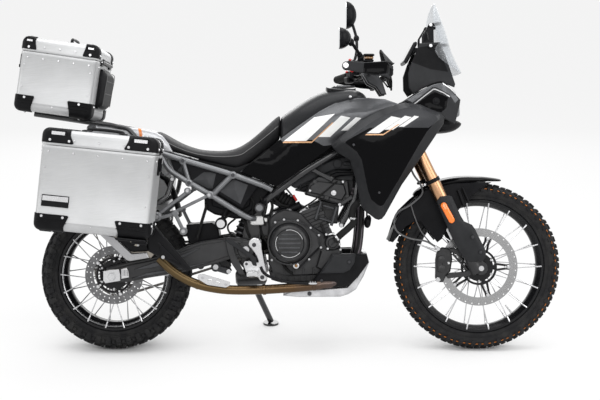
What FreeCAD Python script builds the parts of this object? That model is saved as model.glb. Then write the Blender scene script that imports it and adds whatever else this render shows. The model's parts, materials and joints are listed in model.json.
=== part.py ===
"""Adventure motorcycle with two side boxes and a top box, leaning on its side stand.

Modelled upright first: +X forward, +Y to the rider's left, +Z up, millimetres, with the
rear axle above X = 0 and the ground at Z = 0.  Every sub-part is then set down by one
Placement, the lean onto the side stand, and written to parts/.
"""
import FreeCAD, Part
import math
import os

V = FreeCAD.Vector
doc = FreeCAD.newDocument("adventure_motorcycle")
sheet = doc.addObject("Spreadsheet::Sheet", "Dimensions")

# alias, value (mm or degrees), what it is
DIMENSIONS = [
    ("lean_angle", 10.5, "lean to the left onto the side stand"),
    ("origin_forward", 739.3, "origin of the parked machine, ahead of the rear axle"),
    ("origin_left", 154.5, "origin of the parked machine, left of the tyres' line"),
    ("wheelbase", 1505.0, "between the axles"),
    ("rear_radius", 315.0, "rear tyre over the lugs"),
    ("rear_width", 140.0, "rear tyre section"),
    ("rear_bead", 228.0, "rear tyre bead seat"),
    ("front_radius", 347.0, "front tyre over the lugs"),
    ("front_width", 90.0, "front tyre section"),
    ("front_bead", 269.0, "front tyre bead seat"),
    ("rear_crown", 80.0, "radius across the rear tread"),
    ("front_crown", 51.0, "radius across the front tread"),
    ("spoke_radius", 2.0, "wire spoke"),
    ("spoke_count", 36.0, "spokes in each wheel"),
    ("axle_radius", 12.5, "hollow axles outside"),
    ("axle_bore", 8.0, "hollow axles inside"),
    ("running_fit", 0.05, "radial play of every turning fit"),
    ("front_disc_radius", 160.0, "front brake disc"),
    ("rear_disc_radius", 120.0, "rear brake disc"),
    ("fork_rake", 26.0, "steering axis from the vertical"),
    ("fork_half_track", 105.0, "fork leg from the middle plane"),
    ("leg_offset", 30.0, "fork legs ahead of the steering axis"),
    ("tube_radius", 25.5, "gold outer fork tube"),
    ("slider_radius", 20.5, "inner fork tube"),
    ("stem_radius", 15.0, "steering stem"),
    ("head_radius", 30.0, "steering head tube"),
    ("frame_tube", 16.5, "main frame tube radius"),
    ("rail_tube", 11.5, "seat rail tube radius"),
    ("brace_tube", 9.5, "seat rail brace radius"),
    ("bar_tube", 11.0, "handlebar tube radius"),
    ("grip_radius", 17.0, "handlebar grip radius"),
    ("pipe_radius", 19.0, "exhaust pipe radius"),
    ("silencer_radius", 56.0, "silencer radius"),
    ("box_wall", 8.0, "wall of the side boxes and top box"),
    ("pannier_tilt", 5.8, "side boxes, front end lower"),
    ("top_tilt", 8.0, "top box, front end lower"),
    ("hinge_pin", 4.0, "lid hinge pin radius"),
    ("stand_tube", 13.0, "side stand leg radius"),
]
for row, (alias, value, note) in enumerate(DIMENSIONS, start=1):
    sheet.set("A%d" % row, alias)
    sheet.set("B%d" % row, str(value))
    sheet.set("C%d" % row, note)
    sheet.setAlias("B%d" % row, alias)
doc.recompute()
SIZE = {alias: value for alias, value, note in DIMENSIONS}
NODES = []


# ---------------------------------------------------------------- placements

def lean():
    """The parked pose: wheels' line turned about X, then moved to the part's origin."""
    angle = math.radians(SIZE["lean_angle"])
    crown_drop = SIZE["rear_crown"] * (1 - math.cos(angle))
    tipped = FreeCAD.Rotation(V(1, 0, 0), -SIZE["lean_angle"])
    return FreeCAD.Placement(V(-SIZE["origin_forward"], -SIZE["origin_left"], crown_drop), tipped)


LEAN = lean()
REAR_AXLE = V(0, 0, SIZE["rear_radius"])
# the narrower front tyre rolls further onto its crown, so its axle is set a hair lower
FRONT_SINK = (SIZE["rear_crown"] - SIZE["front_crown"]) * (1 - math.cos(math.radians(SIZE["lean_angle"])))
FRONT_AXLE = V(SIZE["wheelbase"], 0, SIZE["front_radius"] - FRONT_SINK)
RAKE = math.radians(SIZE["fork_rake"])
STEER_UP = V(-math.sin(RAKE), 0, math.cos(RAKE))
STEER_AHEAD = V(math.cos(RAKE), 0, math.sin(RAKE))
LEG_FOOT = V(1484.4, 0, 347)


def on_leg(up, ahead=0.0, side=0.0):
    """A point `up` along the fork leg line from axle height, `ahead` of it, at y = side."""
    return LEG_FOOT + STEER_UP * up + STEER_AHEAD * ahead + V(0, side, 0)


def on_steering(up, ahead=0.0, side=0.0):
    """The same, measured from the steering axis."""
    return on_leg(up, ahead - SIZE["leg_offset"], side)


def node(name, thing, at=None):
    """Names a sub-part and gives it its parked Placement."""
    thing.Label = name
    local = at if at else FreeCAD.Placement()
    thing.Placement = LEAN.multiply(local)
    NODES.append((name, thing))
    return thing


def bind(thing, **cells):
    """Binds properties to cells: Radius='frame_tube' or any expression of aliases."""
    for prop, expression in cells.items():
        for alias in sorted(SIZE, key=len, reverse=True):
            expression = expression.replace(alias, "Dimensions." + alias) \
                if "Dimensions." + alias not in expression else expression
        thing.setExpression(prop, expression)
    return thing


# ---------------------------------------------------------------- builders

def origin_plane(body, role):
    return next(f for f in body.Origin.OriginFeatures if f.Role == role)


def sketch_on(body, role, name, offset=0.0):
    sketch = body.newObject("Sketcher::SketchObject", name)
    sketch.AttachmentSupport = [(origin_plane(body, role), "")]
    sketch.MapMode = "FlatFace"
    sketch.AttachmentOffset = FreeCAD.Placement(V(0, 0, offset), FreeCAD.Rotation())
    return sketch


def draw(sketch, points):
    """Closed outline; a point of three numbers (x, y, 'arc') is the middle of an arc."""
    count = len(points)
    index = 0
    while index < count:
        here = points[index]
        after = points[(index + 1) % count]
        if len(after) == 3:
            end = points[(index + 2) % count]
            arc = Part.Arc(V(*here[:2]), V(*after[:2]), V(*end[:2]))
            sketch.addGeometry(arc, False)
            index += 2
        else:
            sketch.addGeometry(Part.LineSegment(V(*here[:2]), V(*after[:2])), False)
            index += 1


def slab(name, outline, y_low, y_high):
    """A side-view outline (X, Z) padded across the machine from y_low to y_high."""
    body = doc.addObject("PartDesign::Body", name)
    sketch = sketch_on(body, "XZ_Plane", name + "_outline", -y_high)
    draw(sketch, outline)
    pad = body.newObject("PartDesign::Pad", name + "_pad")
    pad.Profile = sketch
    pad.Length = y_high - y_low
    return body


def turned(name, profile):
    """A profile (y, radius) turned about the Y axis through the origin."""
    body = doc.addObject("PartDesign::Body", name)
    sketch = sketch_on(body, "YZ_Plane", name + "_profile")
    draw(sketch, profile)
    revolution = body.newObject("PartDesign::Revolution", name + "_turn")
    revolution.Profile = sketch
    revolution.ReferenceAxis = (sketch, ["H_Axis"])
    revolution.Angle = 360
    return body


def crowned(half_low, z_low, half_high, z_high, z_crown):
    """Cross-section (Y, Z): flat bottom, straight sides, arched top."""
    return [(-half_low, z_low), (half_low, z_low), (half_high, z_high), (0, z_crown, "arc"),
            (-half_high, z_high)]


def lofted(name, sections, ruled=False):
    """A loft along X through (x, outline) sections."""
    body = doc.addObject("PartDesign::Body", name)
    sketches = []
    for number, (x, outline) in enumerate(sections):
        sketch = sketch_on(body, "YZ_Plane", "%s_section%d" % (name, number), x)
        draw(sketch, outline)
        sketches.append(sketch)
    loft = body.newObject("PartDesign::AdditiveLoft", name + "_loft")
    loft.Profile = sketches[0]
    loft.Sections = sketches[1:]
    loft.Ruled = ruled
    return body


def side_loft(name, sections):
    """A loft across the machine through (y, outline in X and Z) sections, flat between."""
    body = doc.addObject("PartDesign::Body", name)
    sketches = []
    for number, (y, outline) in enumerate(sections):
        sketch = sketch_on(body, "XZ_Plane", "%s_section%d" % (name, number), -y)
        draw(sketch, outline)
        sketches.append(sketch)
    loft = body.newObject("PartDesign::AdditiveLoft", name + "_loft")
    loft.Profile = sketches[0]
    loft.Sections = sketches[1:]
    loft.Ruled = True
    return body


def rod(name, start, end, radius):
    """A round bar between two points; radius is a cell's alias or an expression."""
    bar = doc.addObject("Part::Cylinder", name)
    bind(bar, Radius=radius) if isinstance(radius, str) else setattr(bar, "Radius", radius)
    bar.Height = (end - start).Length
    bar.Placement = FreeCAD.Placement(start, FreeCAD.Rotation(V(0, 0, 1), end - start))
    return bar


def route(points, bend):
    """Straight runs joined by tangent arcs, each as large as its runs allow up to `bend`."""
    edges = []
    start = points[0]
    for before, corner, after in zip(points, points[1:], points[2:]):
        inward = (before - corner).normalize()
        outward = (after - corner).normalize()
        turn = math.pi - inward.getAngle(outward)
        room = 0.45 * min((before - corner).Length, (after - corner).Length)
        radius = min(bend, room / math.tan(turn / 2))
        reach = radius * math.tan(turn / 2)
        first = corner + inward * reach
        last = corner + outward * reach
        middle_way = (inward + outward).normalize()
        middle = corner + middle_way * (radius / math.cos(turn / 2) - radius)
        edges.append(Part.LineSegment(start, first).toShape())
        edges.append(Part.Arc(first, middle, last).toShape())
        start = last
    edges.append(Part.LineSegment(start, points[-1]).toShape())
    return Part.Wire(edges)


def pipe(name, points, radius, bend=60.0):
    """A round tube swept along a route."""
    points = [V(*p) for p in points]
    spine = doc.addObject("Part::Feature", name + "_route")
    spine.Shape = route(points, bend)
    section = doc.addObject("Part::Circle", name + "_section")
    bind(section, Radius=radius) if isinstance(radius, str) else setattr(section, "Radius", radius)
    section.Placement = FreeCAD.Placement(points[0], FreeCAD.Rotation(V(0, 0, 1), points[1] - points[0]))
    sweep = doc.addObject("Part::Sweep", name)
    sweep.Sections = [section]
    sweep.Spine = (spine, [])
    sweep.Solid = True
    sweep.Frenet = False
    return sweep


def block(name, size, centre, turn=0.0):
    """A box of (length, width, height) about its centre, turned about Y."""
    box = doc.addObject("Part::Box", name)
    box.Length, box.Width, box.Height = size
    spin = FreeCAD.Rotation(V(0, 1, 0), turn)
    corner = V(*centre) - spin.multVec(V(*size) / 2)
    box.Placement = FreeCAD.Placement(corner, spin)
    return box


def fuse(name, pieces):
    joined = doc.addObject("Part::MultiFuse", name)
    joined.Shapes = pieces
    return joined


def cut(name, base, tool):
    left = doc.addObject("Part::Cut", name)
    left.Base = base
    left.Tool = tool
    return left


def both_sides(points):
    """A route on the right (negative Y) and its mirror on the left."""
    return [("right", points), ("left", [(x, -y, z) for x, y, z in points])]


def collect(name, pieces):
    """Solids that don't touch, kept together as one sub-part."""
    group = doc.addObject("Part::Compound", name)
    group.Links = pieces
    return group


# ---------------------------------------------------------------- wheels

def tyre(name, radius, width, crown, bead, rim_half, axle):
    """Bead between the rim's flanges, bulging sidewalls and an arched tread."""
    half, foot, seat, lip = width / 2, rim_half - 5.5, bead + 0.5, bead + 9
    shoulder = 0.93 * half
    edge = radius - crown + math.sqrt(crown ** 2 - shoulder ** 2)
    belly = (lip + edge) / 2
    profile = [(-foot, seat), (foot, seat), (foot, lip), (half, belly, "arc"), (shoulder, edge),
               (0, radius, "arc"), (-shoulder, edge), (-half, belly, "arc"), (-foot, lip)]
    node(name, turned(name, profile), FreeCAD.Placement(axle, FreeCAD.Rotation()))


def wheel(name, bead, rim_half, hub_flange, hub_half, axle, extras):
    """Rim, wire spokes and hub; `extras` are further turned profiles on the hub."""
    well = bead - 18
    rim = turned(name + "_rim", [
        (-rim_half, bead - 4), (-rim_half * 0.5, well - 6), (rim_half * 0.5, well - 6), (rim_half, bead - 4),
        (rim_half, bead + 8), (rim_half - 5, bead + 8), (rim_half - 5, bead), (rim_half * 0.62, bead),
        (rim_half * 0.4, well), (-rim_half * 0.4, well), (-rim_half * 0.62, bead), (-rim_half + 5, bead),
        (-rim_half + 5, bead + 8), (-rim_half, bead + 8)])
    bore = SIZE["axle_radius"] + SIZE["running_fit"]
    hub = turned(name + "_hub", [
        (-hub_half, bore), (hub_half, bore), (hub_half, hub_flange), (hub_half - 8, hub_flange),
        (hub_half - 14, hub_flange * 0.62), (-hub_half + 14, hub_flange * 0.62),
        (-hub_half + 8, hub_flange), (-hub_half, hub_flange)])
    spokes = []
    count = int(SIZE["spoke_count"])
    for number in range(count):
        side = 1 if number % 2 else -1
        sweep = 0.42 if (number // 2) % 2 else -0.42
        angle = 2 * math.pi * number / count
        root = V(math.cos(angle + sweep) * (hub_flange - 6), side * (hub_half - 4),
                 math.sin(angle + sweep) * (hub_flange - 6))
        tip = V(math.cos(angle) * (well - 2), side * 6, math.sin(angle) * (well - 2))
        spokes.append(rod("%s_spoke%d" % (name, number), root, tip, "spoke_radius"))
    pieces = [rim, hub] + spokes + [turned(name + "_part%d" % i, p) for i, p in enumerate(extras)]
    node(name, fuse(name, pieces), FreeCAD.Placement(axle, FreeCAD.Rotation()))


def brake_disc(name, radius, inner, bolt_circle, y_low, y_high, axle):
    ring = turned(name + "_ring", [(y_low, inner), (y_high, inner), (y_high, radius), (y_low, radius)])
    arms = []
    for number in range(6):
        arm = doc.addObject("Part::Box", "%s_arm%d" % (name, number))
        arm.Length, arm.Width, arm.Height = (inner + 6 - bolt_circle, y_high - y_low - 1, 22)
        turn = FreeCAD.Rotation(V(0, 1, 0), 60 * number)
        arm.Placement = FreeCAD.Placement(turn.multVec(V(bolt_circle, y_low + 0.5, -11)), turn)
        arms.append(arm)
    collar = turned(name + "_collar", [(y_low, bolt_circle - 12), (y_high, bolt_circle - 12),
                                       (y_high, bolt_circle + 8), (y_low, bolt_circle + 8)])
    node(name, fuse(name, [ring, collar] + arms), FreeCAD.Placement(axle, FreeCAD.Rotation()))


def axle_shaft(name, half, axle):
    """A hollow axle through both sides of what carries it."""
    shaft = rod(name + "_shaft", axle - V(0, half, 0), axle + V(0, half, 0), "axle_radius")
    hole = rod(name + "_hole", axle - V(0, half + 1, 0), axle + V(0, half + 1, 0), "axle_bore")
    return shaft, hole


def wheels():
    tyre("rear_tyre", SIZE["rear_radius"], SIZE["rear_width"], SIZE["rear_crown"], SIZE["rear_bead"], 58, REAR_AXLE)
    tyre("front_tyre", SIZE["front_radius"], SIZE["front_width"], SIZE["front_crown"], SIZE["front_bead"], 36,
         FRONT_AXLE)
    bore = SIZE["axle_radius"] + SIZE["running_fit"]
    wheel("rear_wheel_rim", SIZE["rear_bead"], 58, 62, 50, REAR_AXLE,
          [[(-76, bore), (-50, bore), (-50, 44), (-76, 44)], [(50, bore), (84, bore), (84, 60), (50, 60)]])
    wheel("front_wheel_rim", SIZE["front_bead"], 36, 34, 44, FRONT_AXLE,
          [[(-62, bore), (-44, bore), (-44, 44), (-62, 44)], [(44, bore), (62, bore), (62, 26), (44, 26)]])
    brake_disc("front_brake_disc", SIZE["front_disc_radius"], 128, 57, -68, -63, FRONT_AXLE)
    brake_disc("rear_brake_disc", SIZE["rear_disc_radius"], 88, 57, -82, -77, REAR_AXLE)
    sprocket = turned("rear_sprocket_body", [(85, 46), (92, 46), (92, 95), (85, 95)])
    node("rear_sprocket", sprocket, FreeCAD.Placement(REAR_AXLE, FreeCAD.Rotation()))


# ---------------------------------------------------------------- frame

def frame():
    head = rod("head_tube", on_steering(580), on_steering(760), "head_radius")
    tubes = [head]
    for side, points in both_sides([(600, -76, 600), (640, -120, 632), (806, -135, 757), (960, -110, 850),
                                    (1122, -30, 955), (1138, -16, 964)]):
        tubes.append(pipe("spar_" + side, points, "frame_tube"))
    for side, points in both_sides([(1166, -12, 892), (1140, -32, 868), (1014, -122, 740), (990, -146, 640), (930, -146, 520)]):
        tubes.append(pipe("down_tube_" + side, points, "rail_tube"))
    for side, sign in (("right", -1), ("left", 1)):
        plate = [(520, 380), (545, 300), (600, 296), (620, 350), (604, 470), (632, 600), (622, 640), (572, 624),
                 (552, 560), (530, 500)]
        low, high = sorted((sign * 52, sign * 80))
        tubes.append(slab("pivot_plate_" + side, plate, low, high))
    tubes.append(rod("shock_beam", V(600, -80, 612), V(600, 80, 612), "frame_tube"))
    tubes.append(rod("lower_beam", V(585, -80, 312), V(585, 80, 312), 12.0))
    body = fuse("main_frame_body", tubes)
    stem = rod("stem_hole", on_steering(570), on_steering(770), "stem_radius + running_fit")
    pivot = rod("pivot_hole", V(545, -100, 425), V(545, 100, 425), 14.1)
    node("main_frame", cut("main_frame_cut", body, fuse("main_frame_holes", [stem, pivot])))


def subframe():
    """Seat rails: two tubes a side, joined by braces and cross tubes."""
    tubes = []
    rails = [  # name, radius alias, route on the right
        ("upper_rail", "rail_tube", [(120, -120, 838), (202, -150, 815), (360, -152, 769), (603, -152, 690),
                                     (650, -142, 668)]),
        ("lower_rail", "rail_tube", [(202, -150, 806), (246, -152, 738), (400, -152, 648), (540, -140, 562),
                                     (580, -112, 548)]),
        ("rear_brace", "brace_tube", [(290, -152, 780), (315, -152, 699)]),
        ("middle_brace", "rail_tube", [(493, -152, 727), (408, -152, 646)]),
    ]
    for name, radius, points in rails:
        for side, line in both_sides(points):
            tubes.append(pipe("%s_%s" % (name, side), line, radius, 40))
    for name, x, y, z in (("rear_cross", 135, 124, 834), ("middle_cross", 400, 152, 757), ("low_cross", 400, 152, 648)):
        tubes.append(rod(name, V(x, -y, z), V(x, y, z), "brace_tube"))
    node("subframe", fuse("subframe_body", tubes))


def seat_rail_panels():
    """Flat black covers that close the seat rail's triangles."""
    outlines = [
        ("rear", 134.4, [(240, 800), (288, 788), (313, 702), (256, 738)]),
        ("centre", 136.2, [(294, 786), (364, 766), (386, 746), (414, 746), (430, 744), (488, 727), (410, 662),
                           (392, 662), (318, 700)]),
        ("front", 136.2, [(498, 724), (598, 690), (528, 594), (420, 660)]),
    ]
    panels = []
    for name, low, outline in outlines:
        for side, sign in (("right", -1), ("left", 1)):
            panels.append(slab("infill_%s_%s" % (name, side), outline, *sorted((sign * low, sign * (low + 4)))))
    node("seat_rail_panels", collect("seat_rail_panels_group", panels))


# ---------------------------------------------------------------- engine

def engine():
    case = slab("crankcase_body", [
        (634, 440), (640, 556), (700, 590), (770, 575), (820, 520), (880, 480), (930, 440), (945, 380),
        (930, 340), (870, 318), (720, 312), (655, 326), (636, 360)], -128, 80)
    left_case = slab("left_case", [(676, 380), (700, 586), (770, 570), (820, 520), (880, 480), (925, 440),
                                   (938, 380), (900, 330), (720, 316)], 78, 128)
    alternator = rod("alternator_cover", V(790, 120, 430), V(790, 178, 430), 82.0)
    cylinder = slab("cylinder_body", [(800, 540), (890, 462), (948, 601), (852, 633)], -112, 112)
    head = slab("cylinder_head_body", [(780, 654), (852, 633), (948, 601), (974, 640), (964, 712), (840, 735),
                                       (788, 700)], -132, 132)
    disc = turned("clutch_cover_body", [(-205, 0), (-126, 0), (-126, 80), (-178, 80), (-190, 62), (-205, 56)])
    disc.Placement = FreeCAD.Placement(V(722, 0, 452), FreeCAD.Rotation())
    sprocket_cover = slab("sprocket_cover", [(592, 384), (690, 372), (700, 430), (690, 488), (600, 478)], 110, 140)
    node("engine", fuse("engine_body", [case, left_case, alternator, cylinder, head, disc, sprocket_cover]))
    core = slab("radiator_body", [(1062, 570), (1100, 566), (1128, 774), (1094, 780)], -150, 150)
    hose = pipe("radiator_hose", [(1070, -138, 612), (1010, -150, 600), (984, -156, 540), (938, -158, 470),
                                  (908, -158, 446), (908, -128.5, 446)], 13.0, 40)
    node("radiator", fuse("radiator_fused", [core, hose]))
    airbox = slab("airbox_body", [(690, 706), (770, 748), (975, 745), (985, 835), (900, 842), (780, 846),
                                  (700, 852), (672, 770)], -94, 94)
    node("airbox", airbox)
    belly = slab("skid_belly", [
        (766, 238), (800, 262), (945, 256), (1004, 300), (1026, 400), (1046, 400), (1030, 316), (992, 262),
        (930, 227), (790, 227)], -120, 120)
    guard = [(826, 318), (853, 353), (890, 404), (990, 411), (981, 369), (958, 340), (926, 322)]
    pieces = [belly]
    for side, sign in (("right", -1), ("left", 1)):
        pieces.append(slab("skid_side_" + side, guard, *sorted((sign * 172, sign * 178))))
        pieces.append(rod("skid_post_" + side, V(830, sign * 60, 245), V(830, sign * 60, 315.8), 8.0))
        pieces.append(rod("skid_arm_" + side, V(1032, sign * 112, 366), V(978, sign * 174, 366), 7.0))
    node("skid_plate", fuse("skid_plate_body", pieces))


def exhaust():
    headers = []
    for side, y, bend_y in (("right", -52, -90), ("left", 52, -20)):
        headers.append(pipe("header_" + side, [
            (992, y, 652), (1012, y, 625), (1012, y, 520), (978, bend_y, 350), (925, -138, 292),
            (820, -150, 282)], 19.0, 70))
    main = pipe("link_pipe", [(830, -150, 282), (700, -152, 268), (480, -152, 258), (350, -155, 282),
                              (252, -160, 340), (196, -160, 388)], "pipe_radius", 90)
    node("exhaust_pipe", fuse("exhaust_pipe_body", headers + [main]))
    start, end = V(175, -160, 402), V(-112, -160, 652)
    along = (end - start).normalize()
    cone = doc.addObject("Part::Cone", "silencer_cone")
    bind(cone, Radius1="pipe_radius + 2", Radius2="silencer_radius")
    cone.Height = 70
    cone.Placement = FreeCAD.Placement(start + along * 4, FreeCAD.Rotation(V(0, 0, 1), along))
    can = rod("silencer_can", start + along * 73, end, "silencer_radius")
    tail = rod("silencer_tail", end - along * 2, end + along * 26, 24.0)
    node("silencer", fuse("silencer_body", [cone, can, tail]))
    shield = slab("heat_shield", [(338, 282), (362, 298), (480, 262), (462, 240), (352, 268)],
                  -182, -178)
    guard = slab("silencer_guard", [
        (152, 530), (186, 524), (222, 480), (282, 412), (330, 350), (312, 344), (250, 376), (196, 404),
        (156, 424)], -226, -218)
    shield_pin = rod("shield_pin", V(410, -179, 270), V(410, -173.2, 270), 6.0)
    guard_pin = rod("guard_pin", V(205, -219, 392), V(205, -178.5, 392), 7.0)
    upper_pin = rod("upper_guard_pin", V(160, -219, 470), V(160, -194, 470), 7.0)
    node("exhaust_guards", collect("exhaust_guards_group", [
        fuse("shield_body", [shield, shield_pin]), fuse("guard_body", [guard, guard_pin, upper_pin])]))


# ---------------------------------------------------------------- running gear

def swingarm():
    arm = [(-28, 286), (70, 292), (135, 306), (298, 334), (400, 360), (500, 392), (545, 385), (584, 425),
           (545, 465), (480, 474), (359, 456), (270, 424), (156, 392), (66, 374), (-28, 352)]
    pieces = [slab("arm_right", arm, -140, -106), slab("arm_left", arm, 106, 140)]
    pieces.append(block("arm_bridge", (52, 230, 44), (380, 0, 404)))
    pieces.append(rod("arm_pivot", V(545, -120, 425), V(545, 120, 425), 14.0))
    link = [(364, 400), (402, 400), (474, 362), (476, 342), (460, 334), (444, 340), (372, 378)]
    for side, low in (("right", -24), ("left", 16)):
        pieces.append(slab("shock_clevis_" + side, link, low, low + 8))
    shaft, hole = axle_shaft("rear_axle", 152, REAR_AXLE)
    node("swingarm", cut("swingarm_cut", fuse("swingarm_body", pieces + [shaft]), hole))
    top, bottom = V(569.6, 0, 592.4), V(458, 0, 352)
    spring = rod("spring", bottom + V(14, 0, 30), top - V(20, 0, 44), 30.0)
    damper = rod("damper", bottom, top, 12.0)
    eye = rod("damper_eye", V(458, -15.8, 352), V(458, 15.8, 352), 14.0)
    reservoir = rod("shock_reservoir", V(443, -150, 530), V(443, -100, 530), 24.0)
    strut = rod("reservoir_strut", V(446, -132, 545), V(466, -140, 590), 7.0)
    node("rear_shock", collect("rear_shock_group", [
        fuse("rear_shock_body", [spring, damper, eye]), fuse("reservoir_body", [reservoir, strut])]))


def chain_drive():
    """Chain, as one closed band around both sprockets, and the front sprocket's cover."""
    rear, front = REAR_AXLE, V(618, 0, 428)
    big, small, depth = 113.0, 36.0, 13.0
    axis_turn = math.atan2(front.z - rear.z, front.x - rear.x)
    spread = math.acos((big - small) / (front - rear).Length)

    def loop(extra):
        out = []
        up, down = axis_turn + spread, axis_turn - spread
        for centre, radius, first, mid, last in (
                (front, small + extra, down, axis_turn, up),
                (rear, big + extra, up, axis_turn + math.pi, down + 2 * math.pi)):
            for angle, mark in ((first, None), (mid, "arc"), (last, None)):
                point = (centre.x + radius * math.cos(angle), centre.z + radius * math.sin(angle))
                out.append(point + ("arc",) if mark else point)
        return out

    band = slab("chain_outer", loop(0), 88, 104)
    hole = slab("chain_inner", loop(-depth), 86, 106)
    node("chain", cut("chain_cut", band, hole))


def front_end():
    """Fork, clamps and stem turn together about the steering axis."""
    half = SIZE["fork_half_track"]
    pieces = []
    for side, y in (("right", -half), ("left", half)):
        pieces.append(rod("tube_" + side, on_leg(262, 0, y), on_leg(818, 0, y), "tube_radius"))
        pieces.append(rod("slider_" + side, on_leg(20, 0, y), on_leg(300, 0, y), "slider_radius"))
        foot = rod("foot_" + side, FRONT_AXLE + V(0, y - 24, 0), FRONT_AXLE + V(0, y + 24, 0), 26.0)
        lug = block("lug_" + side, (54, 44, 90), tuple(on_leg(34, 0, y)), -SIZE["fork_rake"])
        pieces += [foot, lug]
    for name, up in (("lower_clamp", 556), ("upper_clamp", 783)):
        pieces.append(block(name, (56, 2 * half + 54, 30), tuple(on_leg(up, -4, 0)), -SIZE["fork_rake"]))
        pieces.append(block(name + "_middle", (60, 124, 28), tuple(on_leg(up, -30, 0)), -SIZE["fork_rake"]))
    pieces.append(rod("steering_stem", on_steering(560), on_steering(775), "stem_radius"))
    shaft, hole = axle_shaft("front_axle", 128, FRONT_AXLE)
    node("fork", cut("fork_cut", fuse("fork_body", pieces + [shaft]), hole))


def fork_guards():
    outline = [(1318, 612), (1371, 650), (1440, 540), (1468, 528), (1512, 446), (1513, 382), (1450, 380),
               (1395, 440), (1380, 482)]
    guards = [slab("guard_" + s, outline, low, low + 14) for s, low in (("right", -150), ("left", 136))]
    for number, sign in enumerate((-1, 1)):
        pins = [rod("guard_pin%d_%d" % (number, k), V(x, sign * 137, z), V(x, sign * reach, z), 8.0)
                for k, (x, z, reach) in enumerate(((1351, 620, 130.9), (1420, 478, 125.9)))]
        guards[number] = fuse("fork_guard_%d" % number, [guards[number]] + pins)
    node("fork_guards", collect("fork_guards_group", guards))


def front_fender():
    blade = lofted("fender_blade", [
        (1236, crowned(40, 640, 52, 640.5, 652)), (1330, crowned(52, 688, 70, 682, 704)),
        (1440, crowned(52, 706, 70, 700, 722)), (1609, crowned(10, 700, 14, 701, 710))])
    side_web = [(1135, 452), (1166, 534), (1212, 584), (1290, 668), (1400, 694), (1556, 700), (1508, 666), (1468, 636),
                (1428, 590), (1396, 548), (1352, 462), (1334, 450), (1262, 536), (1240, 534), (1202, 514), (1158, 466)]
    web = slab("fender_web", side_web, -66, -60)
    web_left = slab("fender_web_left", side_web, 60, 66)
    bridge = slab("fender_bridge", [(1135, 452), (1166, 534), (1212, 584), (1290, 668), (1312, 690), (1290, 676),
                                    (1204, 590), (1158, 538), (1127, 452)], -66, 66)
    stays = [rod("fender_stay_" + s, V(1338, sign * 62, 655), V(1338, sign * 79, 655), 9.0)
             for s, sign in (("right", -1), ("left", 1))]
    node("front_fender", fuse("front_fender_body", [blade, web, web_left, bridge] + stays))


def brakes():
    front = slab("front_caliper_body", [(1322, 300), (1352, 286), (1380, 330), (1386, 425), (1350, 428),
                                        (1326, 380)], -96, -55)
    slot = slab("front_caliper_slot", [(1364, 200), (1500, 200), (1500, 500), (1338, 500), (1338, 280)], -73.5, -57.5)
    node("front_caliper", cut("front_caliper_cut", front, slot))
    rear = slab("rear_caliper_body", [(92, 372), (150, 402), (128, 440), (70, 414)], -104, -66)
    slot = slab("rear_caliper_slot", [(60, 340), (125, 340), (125, 425), (40, 425)], -87.5, -71.5)
    node("rear_caliper", cut("rear_caliper_cut", rear, slot))


MIRRORS = {  # back plane and height of the head, its half height and half width, route of the stem
    "right": ((914, 1262), 44, 66, [(1004, 262, 1200), (984, 296, 1226), (962, 330, 1250), (940, 356, 1262)]),
    "left": ((978, 1439), 66, 50, [(1004, 262, 1204), (1020, 288, 1262), (1022, 322, 1330), (1006, 350, 1398)]),
}


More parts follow.
